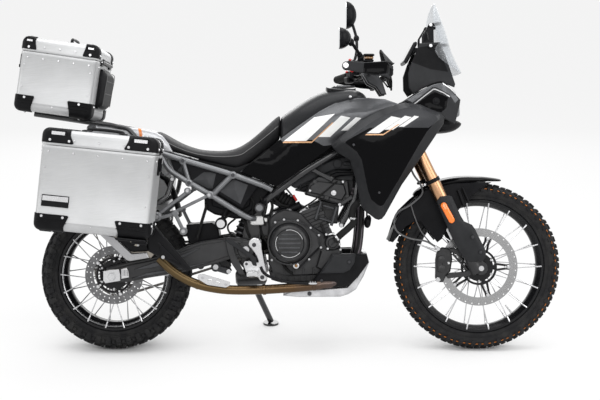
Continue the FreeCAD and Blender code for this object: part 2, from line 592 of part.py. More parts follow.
def controls():
    grip_y = 300
    bar = [(938, -420, 1150), (985, -300, 1160), (1036, -150, 1166), (1050, -80, 1148), (1050, 80, 1148),
           (1036, 150, 1166), (985, 300, 1160), (938, 420, 1150)]
    tube = pipe("bar_tube_body", bar, "bar_tube", 80)
    pieces = [tube]
    for side, sign in (("right", -1), ("left", 1)):
        inner, outer = V(985, sign * grip_y, 1160), V(938, sign * 420, 1150.4)
        pieces.append(rod("grip_" + side, inner, outer, "grip_radius"))
        riser = [(1030, 1160), (1070, 1158), (1104, 1120), (1122, 1058.5), (1102, 1049.5), (1074, 1084), (1036, 1098),
                 (1026, 1140)]
        pieces.append(slab("riser_" + side, riser, *sorted((sign * 36, sign * 60))))
        pieces.append(block("switch_" + side, (38, 56, 40), (1000, sign * 262, 1164)))
    node("handlebar", fuse("handlebar_body", pieces))
    guards, levers, mirrors = [], [], []
    for side, sign in (("right", -1), ("left", 1)):
        outline = [(934, 1136), (938, 1172), (1010, 1170), (1098, 1168), (1121, 1150), (1118, 1115), (1098, 1098),
                   (1050, 1112), (1000, 1124)]
        low, high = sorted((sign * 427, sign * 436))
        body = slab("handguard_outer_" + side, outline, low, high)
        front = slab("handguard_front_" + side, [(1070, 1110), (1098, 1100), (1121, 1118), (1119, 1150),
                                                 (1097, 1166), (1080, 1160)], *sorted((sign * 268, sign * 428)))
        end_bolt = rod("handguard_bolt_" + side, V(938, sign * 422.2, 1150.4), V(938, sign * 428, 1150.4), 5.0)
        guards.append(fuse("handguard_" + side, [body, front, end_bolt]))
        lever = pipe("lever_" + side, [(1040, sign * 250, 1160), (1052, sign * 300, 1158),
                                              (1040, sign * 374, 1154)], 7.0, 60)
        perch = rod("perch_" + side, V(1019, sign * 250, 1160), V(1042, sign * 250, 1160), 9.0)
        levers.append(fuse("lever_and_perch_" + side, [lever, perch]))
        (x, z), half_high, half_wide, route_up = MIRRORS[side]
        stem = pipe("mirror_stem_" + side, [(1004, sign * 262, 1184.5)] + [
            (px, sign * py, pz) for px, py, pz in route_up], 6.5, 60)
        head = doc.addObject("Part::Ellipsoid", "mirror_bulge_" + side)
        head.Radius1, head.Radius2, head.Radius3, head.Angle3 = half_high, half_wide, 48, 180
        head.Placement = FreeCAD.Placement(V(x, sign * 365, z), FreeCAD.Rotation(V(0, 0, 1), -90))
        mirrors.append(fuse("mirror_" + side, [stem, head]))
    node("handguards", collect("handguards_group", guards))
    node("levers", collect("levers_group", levers))
    node("mirrors", collect("mirrors_group", mirrors))
    node("front_brake_hose", pipe("front_brake_hose_body", [
        (1262, -44, 690), (1235, -60, 655), (1180, -78, 600), (1146, -82, 545), (1150, -82, 480), (1215, -84, 450),
        (1290, -86, 440), (1334, -84, 418)], 4.0, 60))


# ---------------------------------------------------------------- bodywork

def tank():
    sections = [  # x, half width low, z low, half width at the shoulder, z shoulder, z crown
        (699, 92, 880, 98, 930, 972), (770, 116, 868, 124, 960, 1024), (850, 132, 856, 142, 1000, 1073),
        (960, 130, 878, 140, 1012, 1090), (1034, 100, 930, 106, 976, 1046)]
    shell = lofted("tank_shell", [(x, crowned(a, b, c, d, e)) for x, a, b, c, d, e in sections])
    cap = rod("fuel_cap", V(930, 0, 1076), V(933, 0, 1098), 62.0)
    node("fuel_tank", fuse("fuel_tank_body", [shell, cap]))
    for side, sign in (("right", -1), ("left", 1)):
        outline = [(527, 745), (604, 728), (668, 696), (768, 752), (900, 846), (978, 850), (1010, 890), (1130, 1000),
                   (1168, 1018), (1060, 1040), (970, 1044), (885, 1022), (765, 946), (684, 884), (608, 808)]
        inner = [(540, 750), (604, 734), (664, 704), (764, 760), (895, 850), (970, 862), (1000, 900), (1100, 990),
                 (1120, 1004), (1040, 1022), (964, 1022), (885, 1000), (768, 930), (690, 872), (616, 800)]
        panel = side_loft("side_panel_%s_body" % side, [(sign * 152, outline), (sign * 186, inner)])
        node("side_panel_" + side, panel)


def shrouds():
    rim = [(1332, 970), (1300, 890), (1167, 689), (1086, 548), (1014, 596), (990, 709), (966, 789), (897, 842),
           (1006, 946), (1147, 1014), (1215, 1018)]
    face = [(1272, 917), (1256, 885), (1145, 694), (1082, 607), (1046, 635), (1022, 718), (1006, 790), (954, 849),
            (1034, 917), (1100, 956), (1180, 950)]
    for side, sign in (("right", -1), ("left", 1)):
        body = side_loft("shroud_%s_body" % side, [(sign * 190, rim), (sign * 250, face)])
        node("shroud_" + side, body)


def seat():
    sections = [  # x, half low, z low, half high, z shoulder, z crown
        (170, 118, 842, 128, 880, 911), (240, 128, 822, 138, 850, 876), (320, 134, 800, 142, 824, 841),
        (430, 138, 770, 146, 806, 826), (520, 132, 748, 140, 808, 842), (600, 112, 802, 118, 860, 903),
        (676, 88, 868, 92, 930, 972)]
    node("seat", lofted("seat_body", [(x, crowned(a, b, c, d, e)) for x, a, b, c, d, e in sections]))
    tail = lofted("tail_cover_body", [
        (-118, crowned(70, 902, 84, 916, 941)), (-20, crowned(98, 880, 112, 905, 932)),
        (80, crowned(112, 862, 124, 895, 921)), (168, crowned(118, 846, 128, 881, 912))])
    node("tail_cover", tail)


def nose():
    """Front cowl around the headlamp, beak below it, and what stands above them."""
    cowl = side_loft("cowl_body", [
        (-150, [(1225, 1018), (1310, 1088), (1372, 1062), (1398, 1020), (1404, 912), (1340, 975)]),
        (-96, [(1240, 1018), (1318, 1110), (1400, 1080), (1424, 1030), (1424, 930), (1345, 975)])])
    left = side_loft("cowl_left_body", [
        (150, [(1225, 1018), (1310, 1088), (1372, 1062), (1398, 1020), (1404, 912), (1340, 975)]),
        (96, [(1240, 1018), (1318, 1110), (1400, 1080), (1424, 1030), (1424, 930), (1345, 975)])])
    deck = slab("cowl_deck", [(1262, 1040), (1318, 1112), (1400, 1084), (1412, 1062), (1395, 1060), (1320, 1090),
                              (1275, 1036)], -98, 98)
    node("nose_cowl", fuse("nose_cowl_body", [cowl, left, deck]))
    node("headlamp", slab("headlamp_body", [(1290, 972), (1300, 1036), (1328, 1070), (1394, 1050), (1424, 1018),
                                            (1426, 972)], -92, 92))
    beak = lofted("beak_body", [
        (1337, crowned(120, 906, 135, 925, 971.7)), (1390, crowned(90, 900, 104, 925, 966)),
        (1430, crowned(50, 918, 60, 935, 961)), (1444, crowned(20, 934, 26, 940, 952))])
    node("beak", beak)
    stay = slab("nose_stay_body", [(1174, 936), (1290, 985), (1290, 1028), (1250, 1032), (1158, 986)], -24, 24)
    bore = rod("stay_bore", on_steering(540), on_steering(800), "head_radius")
    node("nose_stay", cut("nose_stay_cut", stay, bore))
    cockpit = [(1318, 1112), (1232, 1062), (1216, 1092), (1216, 1136), (1230, 1180), (1256, 1236), (1262, 1272),
               (1340, 1272), (1368, 1208), (1390, 1140), (1404, 1086)]
    walls = [slab("cockpit_right", cockpit, -112, -100), slab("cockpit_left", cockpit, 100, 112)]
    walls.append(slab("cockpit_floor", [(1244, 1076), (1318, 1118), (1390, 1096), (1392, 1106), (1318, 1128),
                                        (1240, 1086)], -104, 104))
    walls.append(slab("cockpit_front", [(1340, 1262), (1362, 1206), (1384, 1138), (1390, 1100), (1382, 1100),
                                        (1374, 1136), (1352, 1204), (1330, 1260)], -103, 103))
    horns = [slab("bracket_" + s, [(1267, 1270), (1267, 1302), (1291, 1344), (1308, 1360), (1318, 1356),
                                   (1316, 1270)], low, low + 8) for s, low in (("right", -80), ("left", 72))]
    walls.append(slab("cockpit_top", [(1262, 1261), (1262, 1272), (1342, 1272), (1342, 1261)], -104, 104))
    for s, sign in (("right", -1), ("left", 1)):
        horns.append(rod("screen_bolt_high_" + s, V(1303, sign * 76, 1340), V(1303, sign * 112, 1340), 5.0))
        horns.append(rod("screen_bolt_low_" + s, V(1340, sign * 104, 1250), V(1340, sign * 127.5, 1250), 5.0))
    node("cockpit", fuse("cockpit_body", walls + horns))
    screen = slab("dash_screen", [(1195, 1187), (1224, 1275), (1237, 1284), (1249, 1276), (1222, 1192)], -82, 82)
    arm = slab("dash_arm", [(1206, 1190), (1228, 1196), (1264, 1099.4), (1242, 1087.5)], -40, 40)
    node("dash", fuse("dash_body", [screen, arm]))
    windscreen()


def windscreen():
    """A clear sheet bent round the cockpit: an outer loft less an inner one."""
    rows = [  # z, x of the ridge, x of the side edge, half width
        (1150, 1433, 1400, 135), (1250, 1392, 1326, 156), (1350, 1363, 1308, 128), (1440, 1331, 1312, 60)]

    body = doc.addObject("PartDesign::Body", "windscreen_body")
    sketches = []
    for number, (z, x_front, x_side, half) in enumerate(rows):
        sketch = sketch_on(body, "XY_Plane", "screen_row%d" % number, z)
        outer = Part.Arc(V(x_side, -half, 0), V(x_front, 0, 0), V(x_side, half, 0))
        inner = Part.Arc(V(x_side - 4, -half + 2, 0), V(x_front - 4, 0, 0), V(x_side - 4, half - 2, 0))
        sketch.addGeometry(outer, False)
        sketch.addGeometry(Part.LineSegment(V(x_side, half, 0), V(x_side - 4, half - 2, 0)), False)
        sketch.addGeometry(inner, False)
        sketch.addGeometry(Part.LineSegment(V(x_side - 4, -half + 2, 0), V(x_side, -half, 0)), False)
        sketches.append(sketch)
    loft = body.newObject("PartDesign::AdditiveLoft", "screen_loft")
    loft.Profile = sketches[0]
    loft.Sections = sketches[1:]
    loft.Ruled = False
    node("windscreen", body)


# ---------------------------------------------------------------- pegs, stand, tail

def pegs():
    plate = [(558, 470), (582, 476), (606, 462), (620, 400), (634, 324), (622, 304), (598, 312), (560, 346),
             (540, 384), (552, 392), (594, 384), (590, 432), (556, 446)]
    # the left spacers pass under the chain
    spacers = {"right": [(600, 455), (606, 330)], "left": [(560, 348), (606, 332)]}
    truss = [(180, 567), (304, 674), (320, 671), (320, 656), (233, 587), (394, 657), (407, 650), (402, 638),
             (262, 580), (303, 508), (294, 498), (284, 505), (248, 573), (192, 548), (176, 552)]
    brackets, trusses = [], []
    for side, sign in (("right", -1), ("left", 1)):
        low, high = sorted((sign * 150, sign * 162))
        pieces = [slab("peg_plate_" + side, plate, low, high)]
        for number, (x, z) in enumerate(spacers[side]):
            pieces.append(rod("peg_spacer%d_%s" % (number, side), V(x, sign * 80.2, z), V(x, sign * 151, z), 9.0))
        pieces.append(block("peg_" + side, (42, 92, 20), (574, sign * 206, 334)))
        brackets.append(fuse("footpeg_" + side, pieces))
        pieces = [slab("truss_" + side, truss, *sorted((sign * 165, sign * 181)))]
        pieces.append(rod("truss_boss_" + side, V(187, sign * 160, 560), V(187, sign * 196, 560), 20.0))
        for name, x, z in (("up", 310, 665), ("low", 398, 648)):
            pieces.append(rod("truss_bolt_%s_%s" % (name, side), V(x, sign * 163.8, z), V(x, sign * 182, z), 9.0))
        trusses.append(fuse("passenger_" + side, pieces))
    pedal = pipe("brake_pedal", [(606, -156, 360), (640, -180, 322), (720, -184, 296), (826, -184, 291)], 6.0, 60)
    brackets[0] = fuse("footpeg_and_pedal", [brackets[0], pedal])
    node("footpeg_brackets", collect("footpeg_group", brackets))
    node("passenger_brackets", collect("passenger_group", trusses))


STAND_PIVOT = V(560, 170, 262)
STAND_GROUND = V(640 - SIZE["origin_forward"], 313 - SIZE["origin_left"], 0)
STAND_FOOT = LEAN.inverse().multVec(STAND_GROUND)
STAND_FOLDED = V(-285, 30, -10)
STAND_AXIS = (STAND_FOOT - STAND_PIVOT).cross(STAND_FOLDED).normalize()


def side_stand():
    """The leg swings back and up about an inclined pin, held in a forked mount."""
    axis = STAND_AXIS
    boss = rod("stand_boss", STAND_PIVOT - axis * 16, STAND_PIVOT + axis * 16, 20.0)
    leg = rod("stand_leg", STAND_PIVOT, STAND_FOOT + V(0, -6, 14), "stand_tube")
    up = LEAN.Rotation.inverted().multVec(V(0, 0, 1))
    foot = rod("stand_foot", STAND_FOOT, STAND_FOOT + up * 9, 34.0)
    pin_hole = rod("stand_pin_hole", STAND_PIVOT - axis * 40, STAND_PIVOT + axis * 40, 8.0 + SIZE["running_fit"])
    node("side_stand", cut("side_stand_cut", fuse("side_stand_body", [boss, leg, foot]), pin_hole))
    away = ((STAND_FOOT - STAND_PIVOT).normalize() + V(*STAND_FOLDED).normalize()).normalize() * -42
    pieces = [rod("stand_pin", STAND_PIVOT - axis * 34, STAND_PIVOT + axis * 34, 8.0)]
    for number, (a, b) in enumerate(((-30, -21), (21, 30))):
        pieces.append(rod("stand_ear%d" % number, STAND_PIVOT + axis * a, STAND_PIVOT + axis * b, 18.0))
        middle = STAND_PIVOT + axis * ((a + b) / 2)
        pieces.append(rod("stand_fork%d" % number, middle, middle + away, 4.0))
    yoke = STAND_PIVOT + away
    pieces.append(rod("stand_yoke", yoke - axis * 32, yoke + axis * 32, 9.0))
    pieces.append(rod("stand_arm", yoke, V(yoke.x, 82.4, 302), 11.0))
    node("stand_mount", fuse("stand_mount_body", pieces))


def tail():
    tubes = []
    for side, line in both_sides([(120, -142, 852), (70, -142, 915), (-30, -122, 935.4), (-320, -118, 976.1)]):
        tubes.append(pipe("rack_rail_" + side, line, "brace_tube", 60))
    for number, x in enumerate((-290, -210, -132)):
        z = 935.4 - (x + 30) * 0.1403
        tubes.append(rod("rack_cross%d" % number, V(x, -119, z), V(x, 119, z), "brace_tube"))
    node("top_rack", fuse("top_rack_body", tubes))
    racks = []
    for side, sign in (("right", -1), ("left", 1)):
        loop = [(170, -174, 806), (110, -227, 780), (-150, -227, 806), (-172, -227, 640), (140, -227, 600),
                (226, -227, 640), (250, -176, 712)]
        line = [(x, -sign * y, z) for x, y, z in loop]
        racks.append(pipe("pannier_rack_" + side, line, "brace_tube", 40))
    node("pannier_racks", collect("pannier_racks_group", racks))
    holder = slab("plate_holder_blade", [(-140, 870), (-60, 862), (-66, 848), (-100, 842), (-152, 700), (-236, 600), (-250, 612), (-166, 712),
                                         (-126, 842)],
                  -60, 60)
    lamp = slab("tail_lamp", [(-146, 866), (-119.5, 866), (-121, 914), (-142, 912)], -60, 60)
    node("plate_holder", fuse("plate_holder_body", [holder, lamp]))
    node("rear_mudguard", slab("rear_mudguard_body", [
        (129, 824), (141, 824), (162, 744), (208, 716), (238, 668), (262, 560), (256, 545), (230, 640), (204, 700),
        (150, 728)], -60, 60))


# ---------------------------------------------------------------- boxes

def hollow_case(name, length, width, height, centre, tilt):
    """A box open at the top, with walls of box_wall, turned about Y."""
    wall = SIZE["box_wall"]
    spin = FreeCAD.Rotation(V(0, 1, 0), tilt)
    outer = block(name + "_outer", (length, width, height), centre, tilt)
    shift = spin.multVec(V(0, 0, wall))
    inner = block(name + "_inner", (length - 2 * wall, width - 2 * wall, height), tuple(V(*centre) + shift), tilt)
    return cut(name + "_shell", outer, inner)


def hollow_lid(name, length, width, height, centre, tilt):
    wall = SIZE["box_wall"]
    spin = FreeCAD.Rotation(V(0, 1, 0), tilt)
    outer = block(name + "_outer", (length, width, height), centre, tilt)
    shift = spin.multVec(V(0, 0, -wall))
    inner = block(name + "_inner", (length - 2 * wall, width - 2 * wall, height), tuple(V(*centre) + shift), tilt)
    return cut(name + "_shell", outer, inner)


LID_GAP = 1.0
# lid hinges lie just outside the wall that `hinge` names: to the bike's middle, or in front
CASES = [  # name, length, width, body height, lid height, centre of the whole, tilt, hinge
    ("pannier_right", 436, 226, 322, 62, (-14, -352, 700), "pannier_tilt", "left"),
    ("pannier_left", 436, 226, 322, 62, (-14, 352, 700), "pannier_tilt", "right"),
    ("top_box", 308, 396, 238, 58, (-215.92, 0, 1121.11), "top_tilt", "front"),
]
KNUCKLE = 7.0
HINGE_OUT = 7.6
LEAF = 14.0


def cases():
    for name, length, width, low, high, centre, tilt_cell, hinge_side in CASES:
        tilt = SIZE[tilt_cell]
        spin = FreeCAD.Rotation(V(0, 1, 0), tilt)
        total = low + high + LID_GAP
        middle = V(*centre)

        def inside(x, y, z):
            return middle + spin.multVec(V(x, y, z))

        body = hollow_case(name, length, width, low, tuple(inside(0, 0, (low - total) / 2)), tilt)
        lid = hollow_lid(name + "_lid", length, width, high, tuple(inside(0, 0, (total - high) / 2)), tilt)
        seam = total / 2 - high - LID_GAP / 2
        along = V(0, 1, 0) if hinge_side == "front" else spin.multVec(V(1, 0, 0))
        out = {"front": (length / 2, 0), "left": (0, width / 2), "right": (0, -width / 2)}[hinge_side]
        step = V(out[0], out[1], 0).normalize()
        root = inside(out[0] + step.x * HINGE_OUT, out[1] + step.y * HINGE_OUT, seam)
        leaf_centre = V(out[0] + step.x * HINGE_OUT / 2, out[1] + step.y * HINGE_OUT / 2, seam)
        body_parts, lid_parts = [body], [lid]
        for number, (start, end, owner) in enumerate(((-120, -80, 0), (-78, 78, 1), (80, 120, 0))):
            parts = lid_parts if owner else body_parts
            parts.append(rod("%s_knuckle%d" % (name, number), root + along * start, root + along * end, KNUCKLE))
            rise = LEAF / 2 if owner else -LEAF / 2
            spot = inside(leaf_centre.x, leaf_centre.y, leaf_centre.z + rise) + along * ((start + end) / 2)
            span = end - start
            size = (HINGE_OUT, span, LEAF) if hinge_side == "front" else (span, HINGE_OUT, LEAF)
            parts.append(block("%s_leaf%d" % (name, number), size, tuple(spot), tilt))
        body_parts.append(rod(name + "_pin", root - along * 119, root + along * 119, "hinge_pin"))
        bore = rod(name + "_lid_bore", root - along * 100, root + along * 100, "hinge_pin + running_fit")
        node(name, fuse(name + "_body", body_parts))
        node(name + "_lid", cut(name + "_lid_cut", fuse(name + "_lid_body", lid_parts), bore))
    spin, middle = FreeCAD.Rotation(V(0, 1, 0), SIZE["top_tilt"]), V(*CASES[2][5])
    pad = [middle + spin.multVec(V(u, 0, h)) for u, h in (
        (154.3, 62), (170, 60), (186, 44), (183, -84), (168, -98), (154.3, -98))]
    node("backrest_pad", slab("backrest_pad_body", [(p.x, p.z) for p in pad], -100, 100))



def build():
    wheels()
    frame()
    subframe()
    seat_rail_panels()
    engine()
    exhaust()
    swingarm()
    chain_drive()
    front_end()
    fork_guards()
    front_fender()
    brakes()
    controls()
    tank()
    shrouds()
    seat()
    nose()
    pegs()
    side_stand()
    tail()
    cases()


def check_and_write():
    doc.recompute()
    for thing in doc.Objects:
        if "Invalid" in thing.State or "Error" in thing.State:
            raise RuntimeError("%s failed: %s" % (thing.Label, thing.State))
    for name, thing in NODES:
        if thing.Shape.isNull() or not thing.Shape.isValid():
            raise RuntimeError("%s has no valid shape" % name)
    os.makedirs("parts", exist_ok=True)
    whole = FreeCAD.BoundBox()
    for name, thing in NODES:
        thing.Shape.exportStep("parts/%s.step" % name)
        whole.add(thing.Shape.BoundBox)
    print("%d sub-parts, box %s" % (len(NODES), whole))


build()
check_and_write()
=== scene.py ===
"""Adventure motorcycle with side boxes and a top box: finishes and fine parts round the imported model.

Sizes are in millimetres on the upright machine: +X forward, +Y to the rider's left, +Z up,
the rear axle above X = 0 and the ground at Z = 0.  PARKED carries them into the row frame.
"""
import json
import math
from collections import namedtuple

import bmesh
import bpy
from bpy.props import FloatProperty, FloatVectorProperty, IntProperty, PointerProperty
from mathutils import Matrix, Vector, noise


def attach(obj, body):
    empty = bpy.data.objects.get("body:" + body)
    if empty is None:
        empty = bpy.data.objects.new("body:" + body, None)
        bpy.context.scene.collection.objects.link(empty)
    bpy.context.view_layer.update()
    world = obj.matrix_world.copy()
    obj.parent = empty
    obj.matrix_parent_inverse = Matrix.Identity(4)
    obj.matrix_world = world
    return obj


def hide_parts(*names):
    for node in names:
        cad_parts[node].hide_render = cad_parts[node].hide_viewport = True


bl_info = {
    "name": "Adventure motorcycle",
    "version": (1, 0, 0),
    "blender": (4, 5, 0),
    "location": "View3D > Sidebar > Motorcycle",
    "description": "Builds the finishes and fine parts of a travel motorcycle with three cases",
    "category": "Object",
}

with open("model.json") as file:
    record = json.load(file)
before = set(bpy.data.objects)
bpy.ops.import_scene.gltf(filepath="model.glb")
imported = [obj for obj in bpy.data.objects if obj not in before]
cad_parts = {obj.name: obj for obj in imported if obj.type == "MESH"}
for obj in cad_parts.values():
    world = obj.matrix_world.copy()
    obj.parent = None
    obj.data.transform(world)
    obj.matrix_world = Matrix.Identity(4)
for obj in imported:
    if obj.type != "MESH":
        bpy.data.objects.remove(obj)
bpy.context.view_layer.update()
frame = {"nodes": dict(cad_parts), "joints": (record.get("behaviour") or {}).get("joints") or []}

MM = 0.001
REAR_AXLE = Vector((0, 0, 315))
FRONT_AXLE = Vector((1505, 0, 346.5))
RAKE = math.radians(26)
STEER_UP = Vector((-math.sin(RAKE), 0, math.cos(RAKE)))
STEER_AHEAD = Vector((math.cos(RAKE), 0, math.sin(RAKE)))
LEG_FOOT = Vector((1484.4, 0, 347))
LEG_OUT = 105  # from the middle to each fork leg
SWING_PIVOT = (545, 0, 425)
SIDES = (("right", -1), ("left", 1))


def joint(name):
    """A joint of the frame, by its name."""
    return next(j for j in frame["joints"] if j["name"] == name)


def parked():
    """The lean on the side stand, read from the rear wheel's axle."""
    spin = joint("rear_wheel_spin")
    axis = Vector(spin["axis"])
    turn = Matrix.Rotation(math.atan2(axis.z, axis.y), 4, "X")
    return Matrix.Translation(Vector(spin["pos_m"]) - turn @ (REAR_AXLE * MM)) @ turn


PARKED = parked()
PLACE = PARKED @ Matrix.Scale(MM, 4)


def on_leg(up, ahead=0.0, side=0.0):
    """A point `up` along the fork leg from axle height."""
    return LEG_FOOT + STEER_UP * up + STEER_AHEAD * ahead + Vector((0, side, 0))


# ---------------------------------------------------------------- materials

class Value:
    """One value inside a material; arithmetic on it adds Math nodes."""

    def __init__(self, finish, socket):
        self.finish = finish
        self.socket = socket

    def math(self, operation, *values):
        """A Math node over the given values or numbers."""
        return self.finish.node("ShaderNodeMath", {"operation": operation}, dict(enumerate(values))).value()

    def __add__(self, other):
        return self.math("ADD", self, other)

    def __sub__(self, other):
        return self.math("SUBTRACT", self, other)

    def __rsub__(self, other):
        return self.math("SUBTRACT", other, self)

    def __mul__(self, other):
        return self.math("MULTIPLY", self, other)

    __radd__ = __add__
    __rmul__ = __mul__


class Node:
    """A node just added; value() gives one of its outputs."""

    def __init__(self, finish, made):
        self.finish = finish
        self.made = made

    def value(self, output=0):
        """One output, by its number or its name."""
        return Value(self.finish, self.made.outputs[output])


class Finish:
    """The node tree of a material, or of the world, in the making."""

    def __init__(self, owner):
        self.owner = owner
        owner.use_nodes = True
        self.tree = owner.node_tree
        self.tree.nodes.clear()
        self._place = None

    def node(self, kind, settings=None, inputs=None):
        """Adds a node: its settings first, then the values or links of its sockets."""
        made = self.tree.nodes.new(kind)
        for key, setting in (settings or {}).items():
            if key == "ramp":
                elements = made.color_ramp.elements
                while len(elements) < len(setting):
                    elements.new(0.5)
                for element, (position, colour) in zip(elements, setting):
                    element.position = position
                    element.color = colour if len(colour) == 4 else (*colour, 1)
            else:
                setattr(made, key, setting)
        for key, given in (inputs or {}).items():
            if isinstance(given, Value):
                self.tree.links.new(given.socket, made.inputs[key])
            elif isinstance(given, tuple) and len(given) == 3 and made.inputs[key].type == "RGBA":
                made.inputs[key].default_value = (*given, 1)
            else:
                made.inputs[key].default_value = given
        return Node(self, made)

    def upright(self):
        """The surface point in millimetres on the upright machine."""
        if self._place is None:
            back = PARKED.inverted()
            place = self.node("ShaderNodeTexCoord").value("Object")
            self._place = self.node("ShaderNodeMapping", None, {
                "Vector": place, "Location": back.translation / MM, "Rotation": back.to_euler(),
                "Scale": (1 / MM,) * 3}).value()
        return self._place

    def forward(self):
        """How far forward of the rear axle the surface point lies, in millimetres."""
        return self.node("ShaderNodeSeparateXYZ", None, {"Vector": self.upright()}).value("X")

    def scaled(self, point, scale):
        """A point scaled per axis."""
        return self.node("ShaderNodeVectorMath", {"operation": "MULTIPLY"}, {0: point, 1: scale}).value()

    def stretched(self, scale):
        """The surface point scaled per axis, for a grain with a direction."""
        return self.scaled(self.upright(), scale)

    def noise(self, size, detail=3.0, rough=0.55, stretch=(1, 1, 1)):
        """Noise from 0 to 1 whose features are about `size` millimetres."""
        point = self.stretched(tuple(s / size for s in stretch))
        return self.node("ShaderNodeTexNoise", None, {
            "Vector": point, "Scale": 1.0, "Detail": detail, "Roughness": rough}).value("Fac")

    def cells(self, size):
        """A pattern of small cells, `size` millimetres apart, for grain and prisms."""
        point = self.stretched((1 / size,) * 3)
        return self.node("ShaderNodeTexVoronoi", None, {"Vector": point, "Scale": 1.0}).value("Distance")

    def band(self, value, low, high):
        """0 below `low`, 1 above `high`."""
        return self.node("ShaderNodeMapRange", None, {
            "Value": value, "From Min": low, "From Max": high}).value()

    def mix(self, share, first, second):
        """Colour `first` where share is 0, `second` where it is 1."""
        made = self.node("ShaderNodeMix", {"data_type": "RGBA"}, {"Factor": share})
        for key, given in ((6, first), (7, second)):
            if isinstance(given, Value):
                self.tree.links.new(given.socket, made.made.inputs[key])
            else:
                made.made.inputs[key].default_value = (*given, 1)
        return made.value(2)

    def ramp(self, value, stops):
        """The colour at a value from 0 to 1; stops are (position, colour)."""
        return self.node("ShaderNodeValToRGB", {"ramp": stops}, {"Fac": value}).value()

    def bump(self, height, depth, strength=1.0, normal=None):
        """Relief `depth` millimetres deep from a height of 0 to 1."""
        inputs = {"Height": height, "Distance": depth * MM, "Strength": strength}
        if normal:
            inputs["Normal"] = normal
        return self.node("ShaderNodeBump", None, inputs).value()

    def done(self, colour, roughness, **sockets):
        """Closes the material with one Principled shader."""
        inputs = {"Base Color": colour, "Roughness": roughness}
        inputs.update({key.replace("_", " "): given for key, given in sockets.items()})
        shader = self.node("ShaderNodeBsdfPrincipled", None, inputs).value()
        self.node("ShaderNodeOutputMaterial", None, {"Surface": shader})
        return self.owner


def chosen(colour):
    """A colour given as three numbers, or the name of one of the sidebar's colours."""
    return tuple(getattr(bpy.context.scene.motorcycle_colours, colour)) if isinstance(colour, str) else colour


def size(name):
    """One of the sidebar's sizes, in millimetres."""
    return getattr(bpy.context.scene.motorcycle_sizes, name) / MM


MATERIALS = {}


def finish_named(name):
    """The one material of a name; its recipe makes it when it is first asked for."""
    if name not in MATERIALS:
        MATERIALS[name] = RECIPES[name](Finish(bpy.data.materials.new(name)))
    return MATERIALS[name]


def moulded(colour, roughness=0.55, grain=0.5, size=1.3, shine=0.22):
    """Moulded plastic with a fine leather-like grain."""
    def recipe(f):
        tint = chosen(colour)
        pattern = f.cells(size * 2)
        tone = f.noise(60)
        shade = f.mix(f.band(tone, 0.3, 0.75), tint, tuple(min(1, c * 1.3 + 0.004) for c in tint))
        return f.done(shade, roughness + (tone - 0.5) * 0.16, Normal=f.bump(pattern, 0.1 * grain),
                      Specular_IOR_Level=shine)
    return recipe


def painted(colour, roughness=0.18, flake=0.0, coat=0.6, metallic=0.0, shine=0.3):
    """Lacquered paint: a slight orange peel, and metal flakes where asked for."""
    def recipe(f):
        tint = chosen(colour)
        peel = f.noise(14, 2)
        shade = tint
        if flake:
            spots = f.band(f.noise(0.9, 1), 0.45, 0.75)
            shade = f.mix(spots * flake, tint, tuple(min(1, c * 2.2 + 0.05) for c in tint))
        return f.done(shade, roughness + (f.noise(90) - 0.5) * 0.08, Normal=f.bump(peel, 0.05, 0.4),
                      Coat_Weight=coat, Coat_Roughness=0.06, Metallic=metallic, Specular_IOR_Level=shine)
    return recipe


def metal(colour, roughness=0.3, grain=2.0, depth=0.12, stretch=(1, 1, 1), worn=0.0):
    """Bare metal with a grain; `stretch` draws the grain out into brushing."""
    def recipe(f):
        tint = chosen(colour)
        streaks = f.noise(grain, 4, 0.6, stretch)
        broad = f.noise(70)
        dark = tuple(c * (0.86 - worn * 0.3) for c in tint)
        shade = f.mix(f.band(streaks * 0.5 + broad * 0.5, 0.36, 0.64), dark, tint)
        return f.done(shade, roughness + (streaks - 0.5) * 0.22, Metallic=1.0,
                      Normal=f.bump(streaks, depth, 0.6))
    return recipe


def cast(colour, roughness=0.5, metallic=0.0, size=2.2, depth=0.25):
    """Sand-cast metal under paint or bare."""
    def recipe(f):
        tint = chosen(colour)
        pits = f.noise(size, 4, 0.7)
        broad = f.noise(45)
        shade = f.mix(f.band(broad, 0.35, 0.7), tint, tuple(min(1, c * 1.45 + 0.006) for c in tint))
        return f.done(shade, roughness + (pits - 0.5) * 0.2, Metallic=metallic,
                      Normal=f.bump(pits, depth, 0.7))
    return recipe


def brushed_box(f):
    """Brushed aluminium sheet: long fine streaks along the box, faint cloudiness."""
    tilt = math.radians(6)
    point = f.node("ShaderNodeMapping", None, {"Vector": f.upright(), "Rotation": (0, tilt, 0)}).value()
    point = f.scaled(point, (0.012, 0.6, 0.9))
    streaks = f.node("ShaderNodeTexNoise", None, {"Vector": point, "Scale": 1.0, "Detail": 6.0,
        "Roughness": 0.7}).value("Fac")
    cloud = f.noise(120)
    light = chosen("box")
    dark = tuple(c * 0.76 for c in light)
    shade = f.mix(f.band(streaks * 0.7 + cloud * 0.3, 0.35, 0.65), dark, light)
    return f.done(shade, 0.50 + (streaks - 0.5) * 0.3, Metallic=0.55, Normal=f.bump(streaks, 0.06, 0.5))


def tyre_rubber(f):
    """Dark rubber with a bloom of dust and fine mould lines."""
    grit = f.noise(1.6, 4, 0.7)
    dust = f.band(f.noise(38), 0.42, 0.72)
    shade = f.mix(dust, (0.010, 0.010, 0.011), (0.024, 0.0235, 0.023))
    return f.done(shade, 0.74 + (grit - 0.5) * 0.2, Normal=f.bump(grit, 0.25, 0.6), Specular_IOR_Level=0.22)


def seat_vinyl(f):
    """Grained seat cover, a little lighter where it is sat on."""
    grain = f.cells(3.4)
    worn = f.band(f.noise(110), 0.4, 0.7)
    shade = f.mix(worn, (0.006, 0.006, 0.007), (0.013, 0.013, 0.014))
    return f.done(shade, 0.62 + (grain - 0.5) * 0.12, Normal=f.bump(grain, 0.35, 0.7),
                  Specular_IOR_Level=0.25)


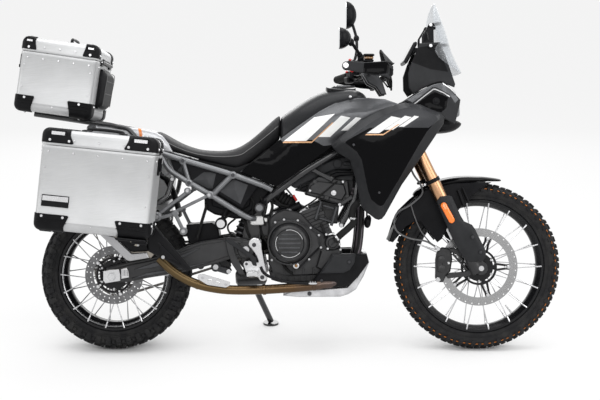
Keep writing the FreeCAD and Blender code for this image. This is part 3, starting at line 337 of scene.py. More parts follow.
def exhaust_bronze(f):
    """Stainless pipe coloured by heat, bluer near the engine."""
    heat = f.band(f.forward() + (f.noise(60) - 0.5) * 160, 150, 1000)
    shade = f.ramp(heat, [(0.0, (0.10, 0.072, 0.036)), (0.35, (0.11, 0.072, 0.034)),
                          (0.7, (0.10, 0.062, 0.034)), (1.0, (0.085, 0.076, 0.085))])
    return f.done(shade, 0.26 + f.noise(5) * 0.16, Metallic=1.0)


def disc_steel(f):
    """Ground disc face: fine rings from the pads."""
    streaks = f.noise(1.4, 3, 0.6)
    shade = f.mix(f.band(streaks, 0.3, 0.7), (0.27, 0.27, 0.275), (0.40, 0.40, 0.40))
    return f.done(shade, 0.27 + (streaks - 0.5) * 0.2, Metallic=0.95)


def clear_screen(f):
    """Clear sheet: nearly all of the light goes through, the rest is a sharp reflection."""
    through = f.node("ShaderNodeBsdfTransparent", None, {"Color": (0.93, 0.94, 0.95, 1)}).value()
    gloss = f.node("ShaderNodeBsdfPrincipled", None, {
        "Base Color": (0.72, 0.74, 0.76), "Roughness": 0.06, "Specular IOR Level": 0.6}).value()
    edge = f.node("ShaderNodeLayerWeight", None, {"Blend": 0.22}).value("Facing")
    both = f.node("ShaderNodeMixShader", None, {"Fac": edge * 0.62 + 0.07, 1: through, 2: gloss}).value()
    f.node("ShaderNodeOutputMaterial", None, {"Surface": both})
    return f.owner


def lamp_glass(f):
    """Dark smoked lens with a faint glow behind it."""
    ribs = f.noise(6, 1, 0.4, (0.4, 1, 3))
    return f.done(f.mix(ribs, (0.05, 0.055, 0.06), (0.16, 0.17, 0.18)), 0.07, Coat_Weight=1.0,
                  Specular_IOR_Level=0.7)


def glow_lens(colour, level=0.25):
    """Coloured lamp or reflector with a prism grid and a faint emission; on a reflector, which is no lamp,
    the emission is a painted glow.
    """
    def recipe(f):
        tint = chosen(colour)
        prisms = f.cells(2.6)
        bright = tuple(min(1, c * 1.1) for c in tint)
        return f.done(f.mix(prisms, bright, tint), 0.16, Coat_Weight=0.8, Normal=f.bump(prisms, 0.3, 0.5),
                      Emission_Color=(*tint, 1), Emission_Strength=level)
    return recipe


def stitched_thread(f):
    """Pale thread of the seams."""
    return f.done(f.mix(f.noise(1.0), (0.10, 0.10, 0.10), (0.16, 0.16, 0.16)), 0.7)


# painted: colour, roughness, flake, coat, metallic, shine; moulded: colour, roughness, grain, size, shine
# cast: colour, roughness, metallic, size, depth; metal: colour, roughness, grain, depth, stretch
RECIPES = {
    "graphite_paint": painted("tank", 0.36, 0.25, 0.05, 0.2, 0.12),
    "gloss_black": painted((0.002, 0.002, 0.0025), 0.12, 0.0, 0.03, 0.0, 0.05),
    "satin_black": painted((0.007, 0.007, 0.008), 0.34, 0.0, 0.02, 0.0, 0.12),
    "panel_silver": painted("panel", 0.32, 0.35, 0.08, 0.4, 0.2),
    "panel_grey": painted((0.034, 0.035, 0.038), 0.34, 0.3, 0.06, 0.3, 0.15),
    "stripe_white": painted("white_band", 0.28, 0.0, 0.5),
    "stripe_tan": painted((0.50, 0.27, 0.13), 0.3, 0.2, 0.4, 0.3),
    "tail_silver": painted("tail", 0.3, 0.3, 0.4, 0.4),
    "stripe_orange": painted("orange_band", 0.32, 0.0, 0.4),
    "grained_black": moulded("black_plastic", 0.5, 0.5, 1.3, 0.09),
    "grained_grey": moulded((0.018, 0.0185, 0.020), 0.48, 0.5, 1.3, 0.14),
    "facet_grey": moulded((0.050, 0.051, 0.054), 0.46, 0.5, 1.3, 0.16),
    "smooth_black": moulded((0.004, 0.004, 0.005), 0.34, 0.2, 1.3, 0.10),
    "hose_grey": moulded((0.09, 0.09, 0.092), 0.45, 0.3, 0.8, 0.3),
    "rubber": moulded((0.008, 0.008, 0.008), 0.7, 0.7, 0.8, 0.16),
    "tyre_rubber": tyre_rubber,
    "seat_vinyl": seat_vinyl,
    "thread": stitched_thread,
    "frame_black": painted((0.016, 0.016, 0.0175), 0.26, 0.0, 0.3, 0.0, 0.45),
    "frame_grey": painted("rear_frame", 0.34, 0.25, 0.25, 0.6),
    "tyre_orange": painted((0.46, 0.15, 0.03), 0.6, 0.0, 0.0),
    "engine_black": cast("engine", 0.42, 0.1),
    "engine_grey": cast((0.042, 0.043, 0.046), 0.40, 0.5),
    "cast_silver": cast((0.46, 0.46, 0.47), 0.36, 0.9, 2.6, 0.15),
    "machined_silver": metal((0.66, 0.66, 0.67), 0.26, 1.6, 0.05),
    "box_aluminium": brushed_box,
    "fork_gold": metal("fork", 0.30, 1.5, 0.01, (1, 1, 0.2)),
    "spoke_steel": metal((0.58, 0.58, 0.59), 0.22, 3.0, 0.02),
    "zinc_bolt": metal((0.52, 0.52, 0.53), 0.3, 1.0, 0.04),
    "black_bolt": metal((0.07, 0.07, 0.075), 0.4, 1.0, 0.05),
    "rim_black": painted("rim", 0.24, 0.0, 0.10, 0.0, 0.2),
    "disc_steel": disc_steel,
    "disc_dark": cast((0.12, 0.12, 0.123), 0.36, 0.9, 1.4, 0.05),
    "chain_steel": metal((0.20, 0.19, 0.18), 0.38, 1.2, 0.08, worn=0.4),
    "exhaust_bronze": exhaust_bronze,
    "exhaust_steel": metal((0.34, 0.31, 0.27), 0.34, 2.0, 0.06),
    "silencer_grey": metal((0.42, 0.42, 0.43), 0.3, 2.0, 0.05, (0.3, 1, 1)),
    "clear_screen": clear_screen,
    "lamp_glass": lamp_glass,
    # the side reflectors are no lamps: their faint emission is a painted glow
    "reflector_orange": glow_lens("reflector", 0.12),
    "lamp_red": glow_lens((0.55, 0.02, 0.015), 0.2),
    "switch_red": painted((0.60, 0.02, 0.015), 0.3, 0.0, 0.5),
    "brown_fluid": painted((0.30, 0.14, 0.03), 0.15, 0.0, 0.8),
    "mirror_glass": metal((0.80, 0.82, 0.84), 0.03, 30, 0.0),
    "screen_dark": painted((0.008, 0.009, 0.012), 0.06, 0.0, 1.0),
}


# ---------------------------------------------------------------- mesh work

def v(x, y, z):
    """A point or direction."""
    return Vector((x, y, z))


def about_y(degrees):
    """A turn about the axis across the machine."""
    return Matrix.Rotation(math.radians(degrees), 3, "Y")


def around(count, first=0.0):
    """The angles of `count` equal steps round a circle, from the step `first`."""
    return [2 * math.pi * (k + first) / count for k in range(count)]


def span(side, inner, outer):
    """Both ends, lower first, of a stretch that is mirrored to one side of the machine."""
    return sorted((side * inner, side * outer))


def pairs(points):
    """Each point of a closed outline with the one after it."""
    return zip(points, points[1:] + points[:1])


def anticlockwise(outline):
    """The outline as a list that runs anticlockwise."""
    points = list(outline)
    if sum(a[0] * b[1] - b[0] * a[1] for a, b in pairs(points)) < 0:
        points.reverse()
    return points


def frame_along(direction, hint=None):
    """Two unit vectors square to a direction."""
    direction = direction.normalized()
    hint = hint or (v(0, 1, 0) if abs(direction.y) < 0.9 else v(1, 0, 0))
    first = direction.cross(hint).normalized()
    return first, direction.cross(first).normalized()


def smooth_line(points, per_run=6):
    """A rounded line through points, as a list of more points."""
    points = [Vector(p) for p in points]
    if len(points) < 3:
        return points
    padded = [points[0] * 2 - points[1]] + points + [points[-1] * 2 - points[-2]]
    out = []
    for a, b, c, d in zip(padded, padded[1:], padded[2:], padded[3:]):
        for step in range(per_run):
            t = step / per_run
            out.append(0.5 * ((2 * b) + (c - a) * t + (2 * a - 5 * b + 4 * c - d) * t * t
                              + (3 * b - a - 3 * c + d) * t ** 3))
    return out + [points[-1]]


class Piece:
    """Gathers faces in upright millimetres and closes as one object on one body."""

    def __init__(self, name, body, *materials, slot=None, replaces=()):
        self.name = name
        self.body = body
        self.materials = materials
        self.record_slot = slot
        self.stands_for = replaces
        self.mesh = bmesh.new()
        self.paint = 0

    def face(self, verts):
        """One face in the paint of the moment."""
        made = self.mesh.faces.new(verts)
        made.material_index = self.paint
        return made

    def loft(self, rings, close_start=True, close_end=True, closed=True):
        """Skins rings of equally many points."""
        made = [[self.mesh.verts.new(p) for p in ring] for ring in rings]
        count = len(made[0])
        span = count if closed else count - 1
        for low, high in zip(made, made[1:]):
            for i in range(span):
                j = (i + 1) % count
                self.face((low[i], low[j], high[j], high[i]))
        if close_start and closed:
            self.face(list(reversed(made[0])))
        if close_end and closed:
            self.face(made[-1])
        return made

    def tube(self, points, radius, sides=12, caps=True):
        """A round tube along points; radius may be one number or one for each point."""
        points = [Vector(p) for p in points]
        radii = radius if isinstance(radius, (list, tuple)) else [radius] * len(points)
        rings = []
        first = None
        for i, (point, r) in enumerate(zip(points, radii)):
            ahead = points[min(i + 1, len(points) - 1)] - points[max(i - 1, 0)]
            ahead.normalize()
            if first is None:
                first, second = frame_along(ahead)
            else:
                first = (first - ahead * first.dot(ahead)).normalized()
                second = ahead.cross(first)
            rings.append([point + (first * math.cos(a) + second * math.sin(a)) * r for a in around(sides)])
        self.loft(rings, caps, caps)

    def bent(self, points, radius, sides=12, per_run=6):
        """A round tube that runs smoothly through a few points."""
        self.tube(smooth_line(points, per_run), radius, sides)

    def rod(self, start, end, radius, sides=16, chamfer=None):
        """A straight bar with chamfered ends."""
        start, end = Vector(start), Vector(end)
        along = (end - start).normalized()
        c = min(radius * 0.18, (end - start).length * 0.2) if chamfer is None else chamfer
        points = [start, start + along * c, end - along * c, end]
        self.tube(points, [radius - c, radius, radius, radius - c], sides)

    def lathe(self, profile, centre, axis="Y", steps=64, closed=False):
        """A profile of (along, radius) turned about an axis through centre."""
        named = {"X": v(1, 0, 0), "Y": v(0, 1, 0), "Z": v(0, 0, 1)}
        direction = named[axis] if isinstance(axis, str) else axis.normalized()
        first, second = frame_along(direction)
        centre = Vector(centre)
        rings = []
        for along, radius in profile:
            rings.append([centre + direction * along + (first * math.cos(a) + second * math.sin(a))
                          * max(radius, 0.01) for a in around(steps)])
        if closed:
            rings.append(rings[0])
        self.loft(rings, not closed, not closed)

    def plate(self, outline, y_low, y_high, bevel=1.5):
        """A side-view outline (X, Z) with thickness across the machine and eased edges."""
        points = anticlockwise(outline)
        bevel = min(bevel, (y_high - y_low) * 0.45)
        rings = [offset(points, bevel), points, points, offset(points, bevel)]
        levels = (y_low, y_low + bevel, y_high - bevel, y_high)
        self.loft([[v(x, y, z) for x, z in ring] for ring, y in zip(rings, levels)])

    def box(self, centre, size, turn=None, bevel=2.0):
        """A block with eased edges, turned by a matrix about its centre."""
        a, b, c = (s / 2 for s in size)
        e = min(bevel, a * 0.9, b * 0.9, c * 0.9)
        spin = turn or Matrix.Identity(3)
        centre = Vector(centre)
        rings = []
        for z, inset in ((-c, e), (-c + e, 0), (c - e, 0), (c, e)):
            x, y = a - inset, b - inset
            ring = [(-x + e, -y), (x - e, -y), (x, -y + e), (x, y - e), (x - e, y), (-x + e, y), (-x, y - e),
                    (-x, -y + e)]
            rings.append([centre + spin @ v(*p, z) for p in ring])
        self.loft(rings)

    def ball(self, centre, radii, rings=10, sides=16):
        """A closed round form with three radii."""
        made = []
        for i in range(rings + 1):
            t = math.pi * i / rings
            s = max(math.sin(t), 0.02)
            made.append([Vector(centre) + v(radii[0] * s * math.cos(a), radii[1] * s * math.sin(a),
                -radii[2] * math.cos(t)) for a in around(sides)])
        self.loft(made)

    def shift(self, by):
        """Moves all that has been built so far."""
        for vert in self.mesh.verts:
            vert.co += by

    def close(self, smooth=35, subdivide=0, solid=0.0, outward=True, weld=0.01):
        """Merges, points faces outwards, sets the piece down and rides it on its body."""
        bmesh.ops.remove_doubles(self.mesh, verts=self.mesh.verts, dist=weld)
        if outward:
            bmesh.ops.recalc_face_normals(self.mesh, faces=self.mesh.faces)
        thing = plain_object(self.name, self.mesh, self.materials)
        if solid:
            thicken(thing, solid).use_even_offset = False
        if subdivide:
            rounding = thing.modifiers.new("round", "SUBSURF")
            rounding.levels = rounding.render_levels = subdivide
        if solid or subdivide:
            apply_modifiers(thing)
        set_down(thing, smooth)
        return settle(thing, self.body, self.stands_for)


def place_in_scene(name, data):
    """A new object that holds the given data."""
    thing = bpy.data.objects.new(name, data)
    bpy.context.scene.collection.objects.link(thing)
    return thing


def plain_object(name, mesh, materials=()):
    """An object made from a bmesh, which is used up."""
    data = bpy.data.meshes.new(name)
    mesh.to_mesh(data)
    mesh.free()
    for material in materials:
        data.materials.append(finish_named(material))
    return place_in_scene(name, data)


def thicken(thing, wall):
    """Turns a sheet into a wall that grows inwards."""
    shell = thing.modifiers.new("wall", "SOLIDIFY")
    shell.thickness = wall
    shell.offset = -1
    return shell


def set_down(thing, smooth):
    """Carries a mesh in upright millimetres into the row frame; edges over `smooth` degrees stay sharp."""
    thing.data.transform(PLACE)
    thing.data.shade_smooth()
    thing.data.set_sharp_from_angle(angle=math.radians(smooth))


def settle(thing, body, replaces=()):
    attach(thing, body)
    if replaces:
        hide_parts(*replaces)
    return thing


def apply_modifiers(thing):
    """Turns the evaluated result into the object's own plain mesh."""
    graph = bpy.context.evaluated_depsgraph_get()
    made = bpy.data.meshes.new_from_object(thing.evaluated_get(graph), depsgraph=graph)
    thing.modifiers.clear()
    old = thing.data
    thing.data = made
    bpy.data.meshes.remove(old)
    thing.data.name = thing.name


def offset(points, inset):
    """Moves a closed outline (anticlockwise) inwards by `inset`."""
    out = []
    count = len(points)
    for i in range(count):
        a, b, c = Vector(points[i - 1]), Vector(points[i]), Vector(points[(i + 1) % count])
        first, second = (b - a).normalized(), (c - b).normalized()
        n1, n2 = Vector((-first.y, first.x)), Vector((-second.y, second.x))
        push = (n1 + n2)
        if push.length < 0.3:
            push = n1
        push.normalize()
        scale = min(1 / max(push.dot(n1), 0.35), 1.8)
        out.append(tuple(b + push * inset * scale))
    return out


def rounded(points, radius, steps=4):
    """Rounds the corners of a closed outline."""
    out = []
    count = len(points)
    for i in range(count):
        a, b, c = Vector(points[i - 1]), Vector(points[i]), Vector(points[(i + 1) % count])
        reach = min(radius, (a - b).length * 0.42, (c - b).length * 0.42)
        start, end = b + (a - b).normalized() * reach, b + (c - b).normalized() * reach
        for s in range(steps + 1):
            t = s / steps
            out.append(tuple(start * (1 - t) ** 2 + b * 2 * t * (1 - t) + end * t ** 2))
    return out


def inside(point, outline):
    """True if a side-view point lies in a closed outline."""
    x, z = point
    odd = False
    for (x1, z1), (x2, z2) in pairs(outline):
        if (z1 > z) != (z2 > z) and x < (x2 - x1) * (z - z1) / (z2 - z1) + x1:
            odd = not odd
    return odd


def edge_distance(point, outline):
    """How far a side-view point lies from the nearest edge of a closed outline."""
    best = math.inf
    p = Vector(point)
    for a, b in pairs(outline):
        a, b = Vector(a), Vector(b)
        d = b - a
        t = max(0, min(1, (p - a).dot(d) / max(d.length_squared, 1e-9)))
        best = min(best, (a + d * t - p).length)
    return best


def panel(name, body, outline, height, materials, regions=(), thickness=3.0, edge=6.0, side=-1, grid=22.0,
          slot=None, replaces=(), smooth=40, creases=()):
    """A moulded side panel: an outline seen from the side, standing out by height(x, z) from the middle.

    `regions` are painted areas (outline, material number) and `creases` are lines where the
    surface may fold.  The outside edge rolls inwards by `edge`.
    """
    mesh = bmesh.new()
    outline = anticlockwise(outline)
    rings = [outline, offset(outline, edge * 0.25), offset(outline, edge * 0.6), offset(outline, edge)]
    made = [[mesh.verts.new((x, 0, z)) for x, z in ring] for ring in rings]
    for low, high in zip(made, made[1:]):
        for i in range(len(low)):
            j = (i + 1) % len(low)
            mesh.faces.new((low[i], low[j], high[j], high[i]))
    mesh.faces.new(made[-1])
    xs, zs = [p[0] for p in outline], [p[1] for p in outline]

    def slice_by(point, normal):
        geometry = mesh.verts[:] + mesh.edges[:] + mesh.faces[:]
        bmesh.ops.bisect_plane(mesh, geom=geometry, plane_co=point, plane_no=normal, dist=0.05)

    for k in range(int(min(xs) // grid), int(max(xs) // grid) + 1):
        slice_by((k * grid, 0, 0), (1, 0, 0))
    for k in range(int(min(zs) // grid), int(max(zs) // grid) + 1):
        slice_by((0, 0, k * grid), (0, 0, 1))
    lines = list(creases)
    for area_outline, _ in regions:
        lines += pairs(area_outline)
    for (x1, z1), (x2, z2) in lines:
        low_x, high_x = min(x1, x2) - grid, max(x1, x2) + grid
        low_z, high_z = min(z1, z2) - grid, max(z1, z2) + grid
        near = [f for f in mesh.faces if any(low_x <= w.co.x <= high_x and low_z <= w.co.z <= high_z
            for w in f.verts)]
        parts = set(near) | {e for f in near for e in f.edges} | {w for f in near for w in f.verts}
        bmesh.ops.bisect_plane(mesh, geom=list(parts), plane_co=(x1, 0, z1), plane_no=(z2 - z1, 0, x1 - x2),
                               dist=0.05)
    bmesh.ops.triangulate(mesh, faces=[f for f in mesh.faces if len(f.verts) > 4])
    for f in mesh.faces:
        centre = f.calc_center_median()
        for area_outline, number in regions:
            if inside((centre.x, centre.z), area_outline):
                f.material_index = number
    for w in mesh.verts:
        near = edge_distance((w.co.x, w.co.z), outline)
        roll = edge * (1 - math.sqrt(max(0.0, 1 - (1 - min(near, edge) / edge) ** 2)))
        w.co.y = side * (height(w.co.x, w.co.z) - roll)
    bmesh.ops.recalc_face_normals(mesh, faces=mesh.faces)
    if side * sum(f.normal.y * f.calc_area() for f in mesh.faces) < 0:
        bmesh.ops.reverse_faces(mesh, faces=mesh.faces)
    thing = plain_object(name, mesh, materials)
    thicken(thing, thickness)
    apply_modifiers(thing)
    set_down(thing, smooth)
    return settle(thing, body, replaces)


# ---------------------------------------------------------------- repeats by geometry nodes

def repeat_tree(name, build):
    """An empty tree with a mesh in and out; `build` adds what lies between and returns the result."""
    tree = bpy.data.node_groups.new(name, "GeometryNodeTree")
    tree.interface.new_socket("Geometry", in_out="INPUT", socket_type="NodeSocketGeometry")
    tree.interface.new_socket("Geometry", in_out="OUTPUT", socket_type="NodeSocketGeometry")
    finish = tree.interface.new_socket("Finish", in_out="INPUT", socket_type="NodeSocketMaterial")
    ends = {"Finish": finish.identifier}
    start = tree.nodes.new("NodeGroupInput")

    def add(kind, settings=None, inputs=None):
        made = tree.nodes.new(kind)
        for key, setting in (settings or {}).items():
            setattr(made, key, setting)
        for key, given in (inputs or {}).items():
            if isinstance(given, bpy.types.NodeSocket):
                tree.links.new(given, made.inputs[key])
            else:
                made.inputs[key].default_value = given
        return made

    def number(label, kind, value):
        socket = tree.interface.new_socket(label, in_out="INPUT", socket_type=kind)
        socket.default_value = value
        ends[label] = socket.identifier

    result = build(add, number, start)
    whole = add("GeometryNodeRealizeInstances", None, {0: result})
    coloured = add("GeometryNodeSetMaterial", None, {"Geometry": whole.outputs[0],
        "Material": start.outputs["Finish"]})
    end = tree.nodes.new("NodeGroupOutput")
    tree.links.new(coloured.outputs[0], end.inputs[0])
    return tree, ends


def round_tree():
    """Copies what comes in round the Y axis."""
    def build(add, number, start):
        number("Count", "NodeSocketInt", 6)
        line = add("GeometryNodeMeshLine", None, {"Count": start.outputs["Count"], "Offset": (0, 0, 0)})
        index = add("GeometryNodeInputIndex")
        step = add("ShaderNodeMath", {"operation": "DIVIDE"}, {0: 2 * math.pi, 1: start.outputs["Count"]})
        angle = add("ShaderNodeMath", {"operation": "MULTIPLY"}, {0: index.outputs[0], 1: step.outputs[0]})
        turn = add("ShaderNodeCombineXYZ", None, {"Y": angle.outputs[0]})
        made = add("GeometryNodeInstanceOnPoints", None, {
            "Points": line.outputs[0], "Instance": start.outputs["Geometry"], "Rotation": turn.outputs[0]})
        return made.outputs[0]
    return repeat_tree("copies_round_axle", build)


def head_tree():
    """A screw head at each point, aimed along the point's own direction and scaled to its own size."""
    def build(add, number, start):
        number("Sides", "NodeSocketInt", 12)
        number("Proud", "NodeSocketFloat", 0.6)
        skirt = add("GeometryNodeMeshCone", None, {"Vertices": start.outputs["Sides"], "Radius Top": 0.82,
            "Radius Bottom": 1.0, "Depth": start.outputs["Proud"]})
        well = add("GeometryNodeMeshCone", None, {
            "Vertices": 6, "Radius Top": 0.45, "Radius Bottom": 0.5, "Depth": 0.22})
        rise = add("ShaderNodeCombineXYZ", None, {"Z": start.outputs["Proud"]})
        lifted = add("GeometryNodeTransform", None,
                     {"Geometry": well.outputs[0], "Translation": rise.outputs[0]})
        head = add("GeometryNodeJoinGeometry")
        head.id_data.links.new(skirt.outputs[0], head.inputs[0])
        head.id_data.links.new(lifted.outputs[0], head.inputs[0])
        aim = add("GeometryNodeInputNamedAttribute", {"data_type": "FLOAT_VECTOR"}, {"Name": "aim"})
        size = add("GeometryNodeInputNamedAttribute", {"data_type": "FLOAT"}, {"Name": "size"})
        turn = add("FunctionNodeAlignRotationToVector", {"axis": "Z"}, {"Vector": aim.outputs[0]})
        points = add("GeometryNodeMeshToPoints", None, {"Mesh": start.outputs["Geometry"]})
        made = add("GeometryNodeInstanceOnPoints", None, {
            "Points": points.outputs[0], "Instance": head.outputs[0], "Rotation": turn.outputs[0],
            "Scale": size.outputs[0]})
        return made.outputs[0]
    return repeat_tree("screw_heads", build)


def link_tree():
    """A chain link at each point, turned in the side plane by the point's own angle."""
    def build(add, number, start):
        number("Pitch", "NodeSocketFloat", 13.0)
        number("Width", "NodeSocketFloat", 13.0)
        long = add("ShaderNodeMath", {"operation": "MULTIPLY"}, {0: start.outputs["Pitch"], 1: 1.3})
        size = add("ShaderNodeCombineXYZ", None, {"X": long.outputs[0], "Y": 1.8, "Z": 9.5})
        plate = add("GeometryNodeMeshCube", None, {"Size": size.outputs[0]})
        roller = add("GeometryNodeMeshCylinder", None, {"Vertices": 10, "Radius": 4.6,
            "Depth": start.outputs["Width"]})
        laid = add("GeometryNodeTransform", None, {"Geometry": roller.outputs[0],
            "Rotation": (math.pi / 2, 0, 0)})
        link = add("GeometryNodeJoinGeometry")
        for share in (0.5, -0.5):
            place = add("ShaderNodeMath", {"operation": "MULTIPLY"}, {0: start.outputs["Width"], 1: share})
            shift = add("ShaderNodeCombineXYZ", None, {"Y": place.outputs[0]})
            moved = add("GeometryNodeTransform", None, {"Geometry": plate.outputs[0],
                "Translation": shift.outputs[0]})
            link.id_data.links.new(moved.outputs[0], link.inputs[0])
        link.id_data.links.new(laid.outputs[0], link.inputs[0])
        angle = add("GeometryNodeInputNamedAttribute", {"data_type": "FLOAT"}, {"Name": "turn"})
        turn = add("ShaderNodeCombineXYZ", None, {"Y": angle.outputs[0]})
        points = add("GeometryNodeMeshToPoints", None, {"Mesh": start.outputs["Geometry"]})
        made = add("GeometryNodeInstanceOnPoints", None, {
            "Points": points.outputs[0], "Instance": link.outputs[0], "Rotation": turn.outputs[0]})
        return made.outputs[0]
    return repeat_tree("chain_links", build)


TREES = {}


def run_tree(kind, thing, material, **inputs):
    """Runs a repeat on an object's plain mesh and keeps the result as its mesh."""
    if kind not in TREES:
        TREES[kind] = {"round": round_tree, "heads": head_tree, "links": link_tree}[kind]()
    tree, ends = TREES[kind]
    modifier = thing.modifiers.new(kind, "NODES")
    modifier.node_group = tree
    modifier[ends["Finish"]] = finish_named(material)
    for label, value in inputs.items():
        modifier[ends[label]] = value
    apply_modifiers(thing)


def round_the_axle(name, body, row, count, axle, material):
    """`row` is a Piece built about the origin; it is copied round the wheel's axle."""
    bmesh.ops.recalc_face_normals(row.mesh, faces=row.mesh.faces)
    thing = plain_object(name, row.mesh)
    run_tree("round", thing, material, Count=count)
    thing.data.transform(Matrix.Translation(axle))
    set_down(thing, 35)
    return settle(thing, body)


def repeat_at(kind, name, points, marks, material, **inputs):
    """Runs a repeat on loose points that carry attributes; marks are (label, type, values)."""
    mesh = bmesh.new()
    for point in points:
        mesh.verts.new(point)
    thing = plain_object(name, mesh)
    for label, sort, values in marks:
        attribute = thing.data.attributes.new(label, sort, "POINT")
        for item, value in zip(attribute.data, values):
            setattr(item, "value" if sort == "FLOAT" else "vector", value)
    run_tree(kind, thing, material, **inputs)
    for label, _, _ in marks:
        if label in thing.data.attributes:
            thing.data.attributes.remove(thing.data.attributes[label])
    set_down(thing, 30)
    return thing


def heads(name, body, places, material="zinc_bolt", sides=14, proud=0.6):
    """Screw and rivet heads: places are (point, direction, radius)."""
    marks = (("aim", "FLOAT_VECTOR", [Vector(aim).normalized() for _, aim, _ in places]),
             ("size", "FLOAT", [radius for _, _, radius in places]))
    thing = repeat_at("heads", name, [point for point, _, _ in places], marks, material, Sides=sides,
                      Proud=proud)
    return settle(thing, body)


def facing(spots, sides=(-1, 1)):
    """Places for heads that look straight out to each side: spots are (x, z, how far out, radius)."""
    return [((x, side * y, z), (0, side, 0), radius) for side in sides for x, z, y, radius in spots]


# ---------------------------------------------------------------- wheels

Tyre = namedtuple("Tyre", "name body axle radius width crown bead rim_half groove")
REAR_TYRE = Tyre("rear_tyre", "rear_wheel", REAR_AXLE, 315, 140, 80, 228, 58, 10)
FRONT_TYRE = Tyre("front_tyre", "front_wheel", FRONT_AXLE, 347, 90, 51, 269, 36, 8)
ROUND_STEPS = 120  # faces round a tyre


def carcass(piece, tyre):
    """Tyre body: beads, bulging sidewalls with a rim guard and a steep arched tread base."""
    half = tyre.width / 2
    foot = tyre.rim_half - 5.5
    base = tyre.radius - tyre.groove
    profile = [(-foot, tyre.bead + 0.6), (foot, tyre.bead + 0.6), (foot + 0.5, tyre.bead + 8),
               (foot + 6, tyre.bead + 11)]
    lip = tyre.bead + 12
    shoulder = 0.90 * half
    edge = base - tyre.crown + math.sqrt(tyre.crown ** 2 - shoulder ** 2)
    for k in range(1, 7):
        t = k / 7
        out = foot + 5 + (half - tyre.groove * 0.5 - foot - 5) * math.sin(math.pi * min(t * 0.62, 0.5))
        profile.append((out, lip + (edge - lip) * t))
    for k in range(-7, 8):
        y = -shoulder * k / 7
        profile.append((y, base - tyre.crown + math.sqrt(tyre.crown ** 2 - y ** 2)))
    for y, r in list(profile[9:3:-1]):
        profile.append((-y, r))
    profile += [(-foot - 6, tyre.bead + 11), (-foot - 0.5, tyre.bead + 8)]
    piece.lathe(profile, (0, 0, 0), steps=ROUND_STEPS, closed=True)


def lug(piece, tyre, turn, y_low, y_high, depth, length, slant=0.0, taper=0.82):
    """One tread block standing on the crowned tread, `length` along the tread."""
    def at(y, angle, r):
        tilt = math.asin(max(-1, min(1, y / tyre.crown)))
        reach = tyre.radius - tyre.crown + (tyre.crown + (r - tyre.radius)) * math.cos(tilt)
        side = (tyre.crown + (r - tyre.radius)) * math.sin(tilt)
        return v(reach * math.cos(angle), side, reach * math.sin(angle))
    radius = tyre.radius
    half = length / 2 / radius
    mid = (y_low + y_high) / 2
    rings = []
    for r, share in ((radius - depth - 1.5, 1.0), (radius - 1.2, taper + 0.06), (radius, taper)):
        a, b = mid + (y_low - mid) * share, mid + (y_high - mid) * share
        lean_low, lean_high = slant * (a - mid) / radius, slant * (b - mid) / radius
        rings.append([at(a, turn - half * share + lean_low, r), at(b, turn - half * share + lean_high, r),
                      at(b, turn + half * share + lean_high, r), at(a, turn + half * share + lean_low, r)])
    piece.loft(rings)


def shoulder_block(piece, tyre, side, turn, out, length, drop):
    """The part of an edge block that runs down the sidewall."""
    half = length / 2 / tyre.radius
    tilt = math.asin(min(0.96, (out - 3) / tyre.crown))
    top = tyre.radius - tyre.crown + tyre.crown * math.cos(tilt)
    rings = []
    for y, grow in ((out - 9, 1.0), (out + 0.5, 0.96), (out + 1.6, 0.84)):
        rings.append([v(r * math.cos(a), side * y, r * math.sin(a)) for r, a in (
            (top - 1, turn - half * grow), (top - 1, turn + half * grow),
            (top - drop * grow, turn + half * grow * 0.8), (top - drop * grow, turn - half * grow * 0.8))])
    piece.loft(rings)


def tyre_casing(tyre, beads):
    """A tyre with raised lines on its sidewalls: beads are (how far out, radius, half width)."""
    body = Piece(tyre.name + "_casing", tyre.body, "tyre_rubber", slot="tyre_rubber", replaces=(tyre.name,))
    carcass(body, tyre)
    for side in (-1, 1):
        for out, radius, half in beads:
            body.lathe([(side * out, radius - half), (side * (out + 1.0), radius),
                        (side * out, radius + half)], (0, 0, 0), steps=ROUND_STEPS, closed=True)
    body.shift(tyre.axle)
    body.close(smooth=50)


def tread_blocks(tyre, count, blocks, edges):
    """One row of tread blocks, copied round the axle.

    blocks are (share of a step, from, to, depth, length, slant, taper) and edges (share of a step,
    how far out, length, drop down the sidewall).
    """
    row = Piece("row", tyre.body)
    step = 2 * math.pi / count
    for side in (-1, 1):
        for turn, inner, outer, depth, length, slant, taper in blocks:
            lug(row, tyre, step * turn, *span(side, inner, outer), depth, length, side * slant, taper)
        for turn, out, length, drop in edges:
            shoulder_block(row, tyre, side, step * turn, out, length, drop)
    round_the_axle(tyre.name + "_lugs", tyre.body, row, count, tyre.axle, "tyre_rubber")


def tyres():
    """Both tyres, and the thin coloured line on the front one."""
    tyre_casing(REAR_TYRE, [(66.6, 250, 0.9), (68.0, 258, 0.9)])
    tread_blocks(REAR_TYRE, 41,
                 [(0.0, 3, 25, 10, 27, 0.25, 0.82), (0.5, 17, 45, 10, 19, 0.35, 0.82),
                  (0.12, 49, 68, 10.5, 25, 0.1, 0.86)],
                 [(0.12, 68.5, 25, 22), (0.62, 66.0, 15, 12)])
    tyre_casing(FRONT_TYRE, [(42.2, 294, 1.0)])
    line = Piece("front_tyre_line", "front_wheel", "tyre_orange")
    for side in (-1, 1):
        line.lathe([(side * 37.2, 321.6), (side * 39.8, 322.4), (side * 39.4, 325.0), (side * 37.0, 325.6)],
                   (0, 0, 0), steps=ROUND_STEPS, closed=True)
    line.shift(FRONT_AXLE)
    line.close()
    tread_blocks(FRONT_TYRE, bpy.context.scene.motorcycle_sizes.front_blocks,
                 [(0.0, 2, 15, 8, 24, 0.3, 0.82), (0.5, 11, 28, 8, 16, 0.4, 0.82),
                  (0.15, 31, 43, 8, 22, 0.1, 0.88), (0.65, 32, 43, 8, 15, 0.1, 0.88)],
                 [(0.15, 43.2, 21, 17), (0.65, 43.0, 13, 11)])


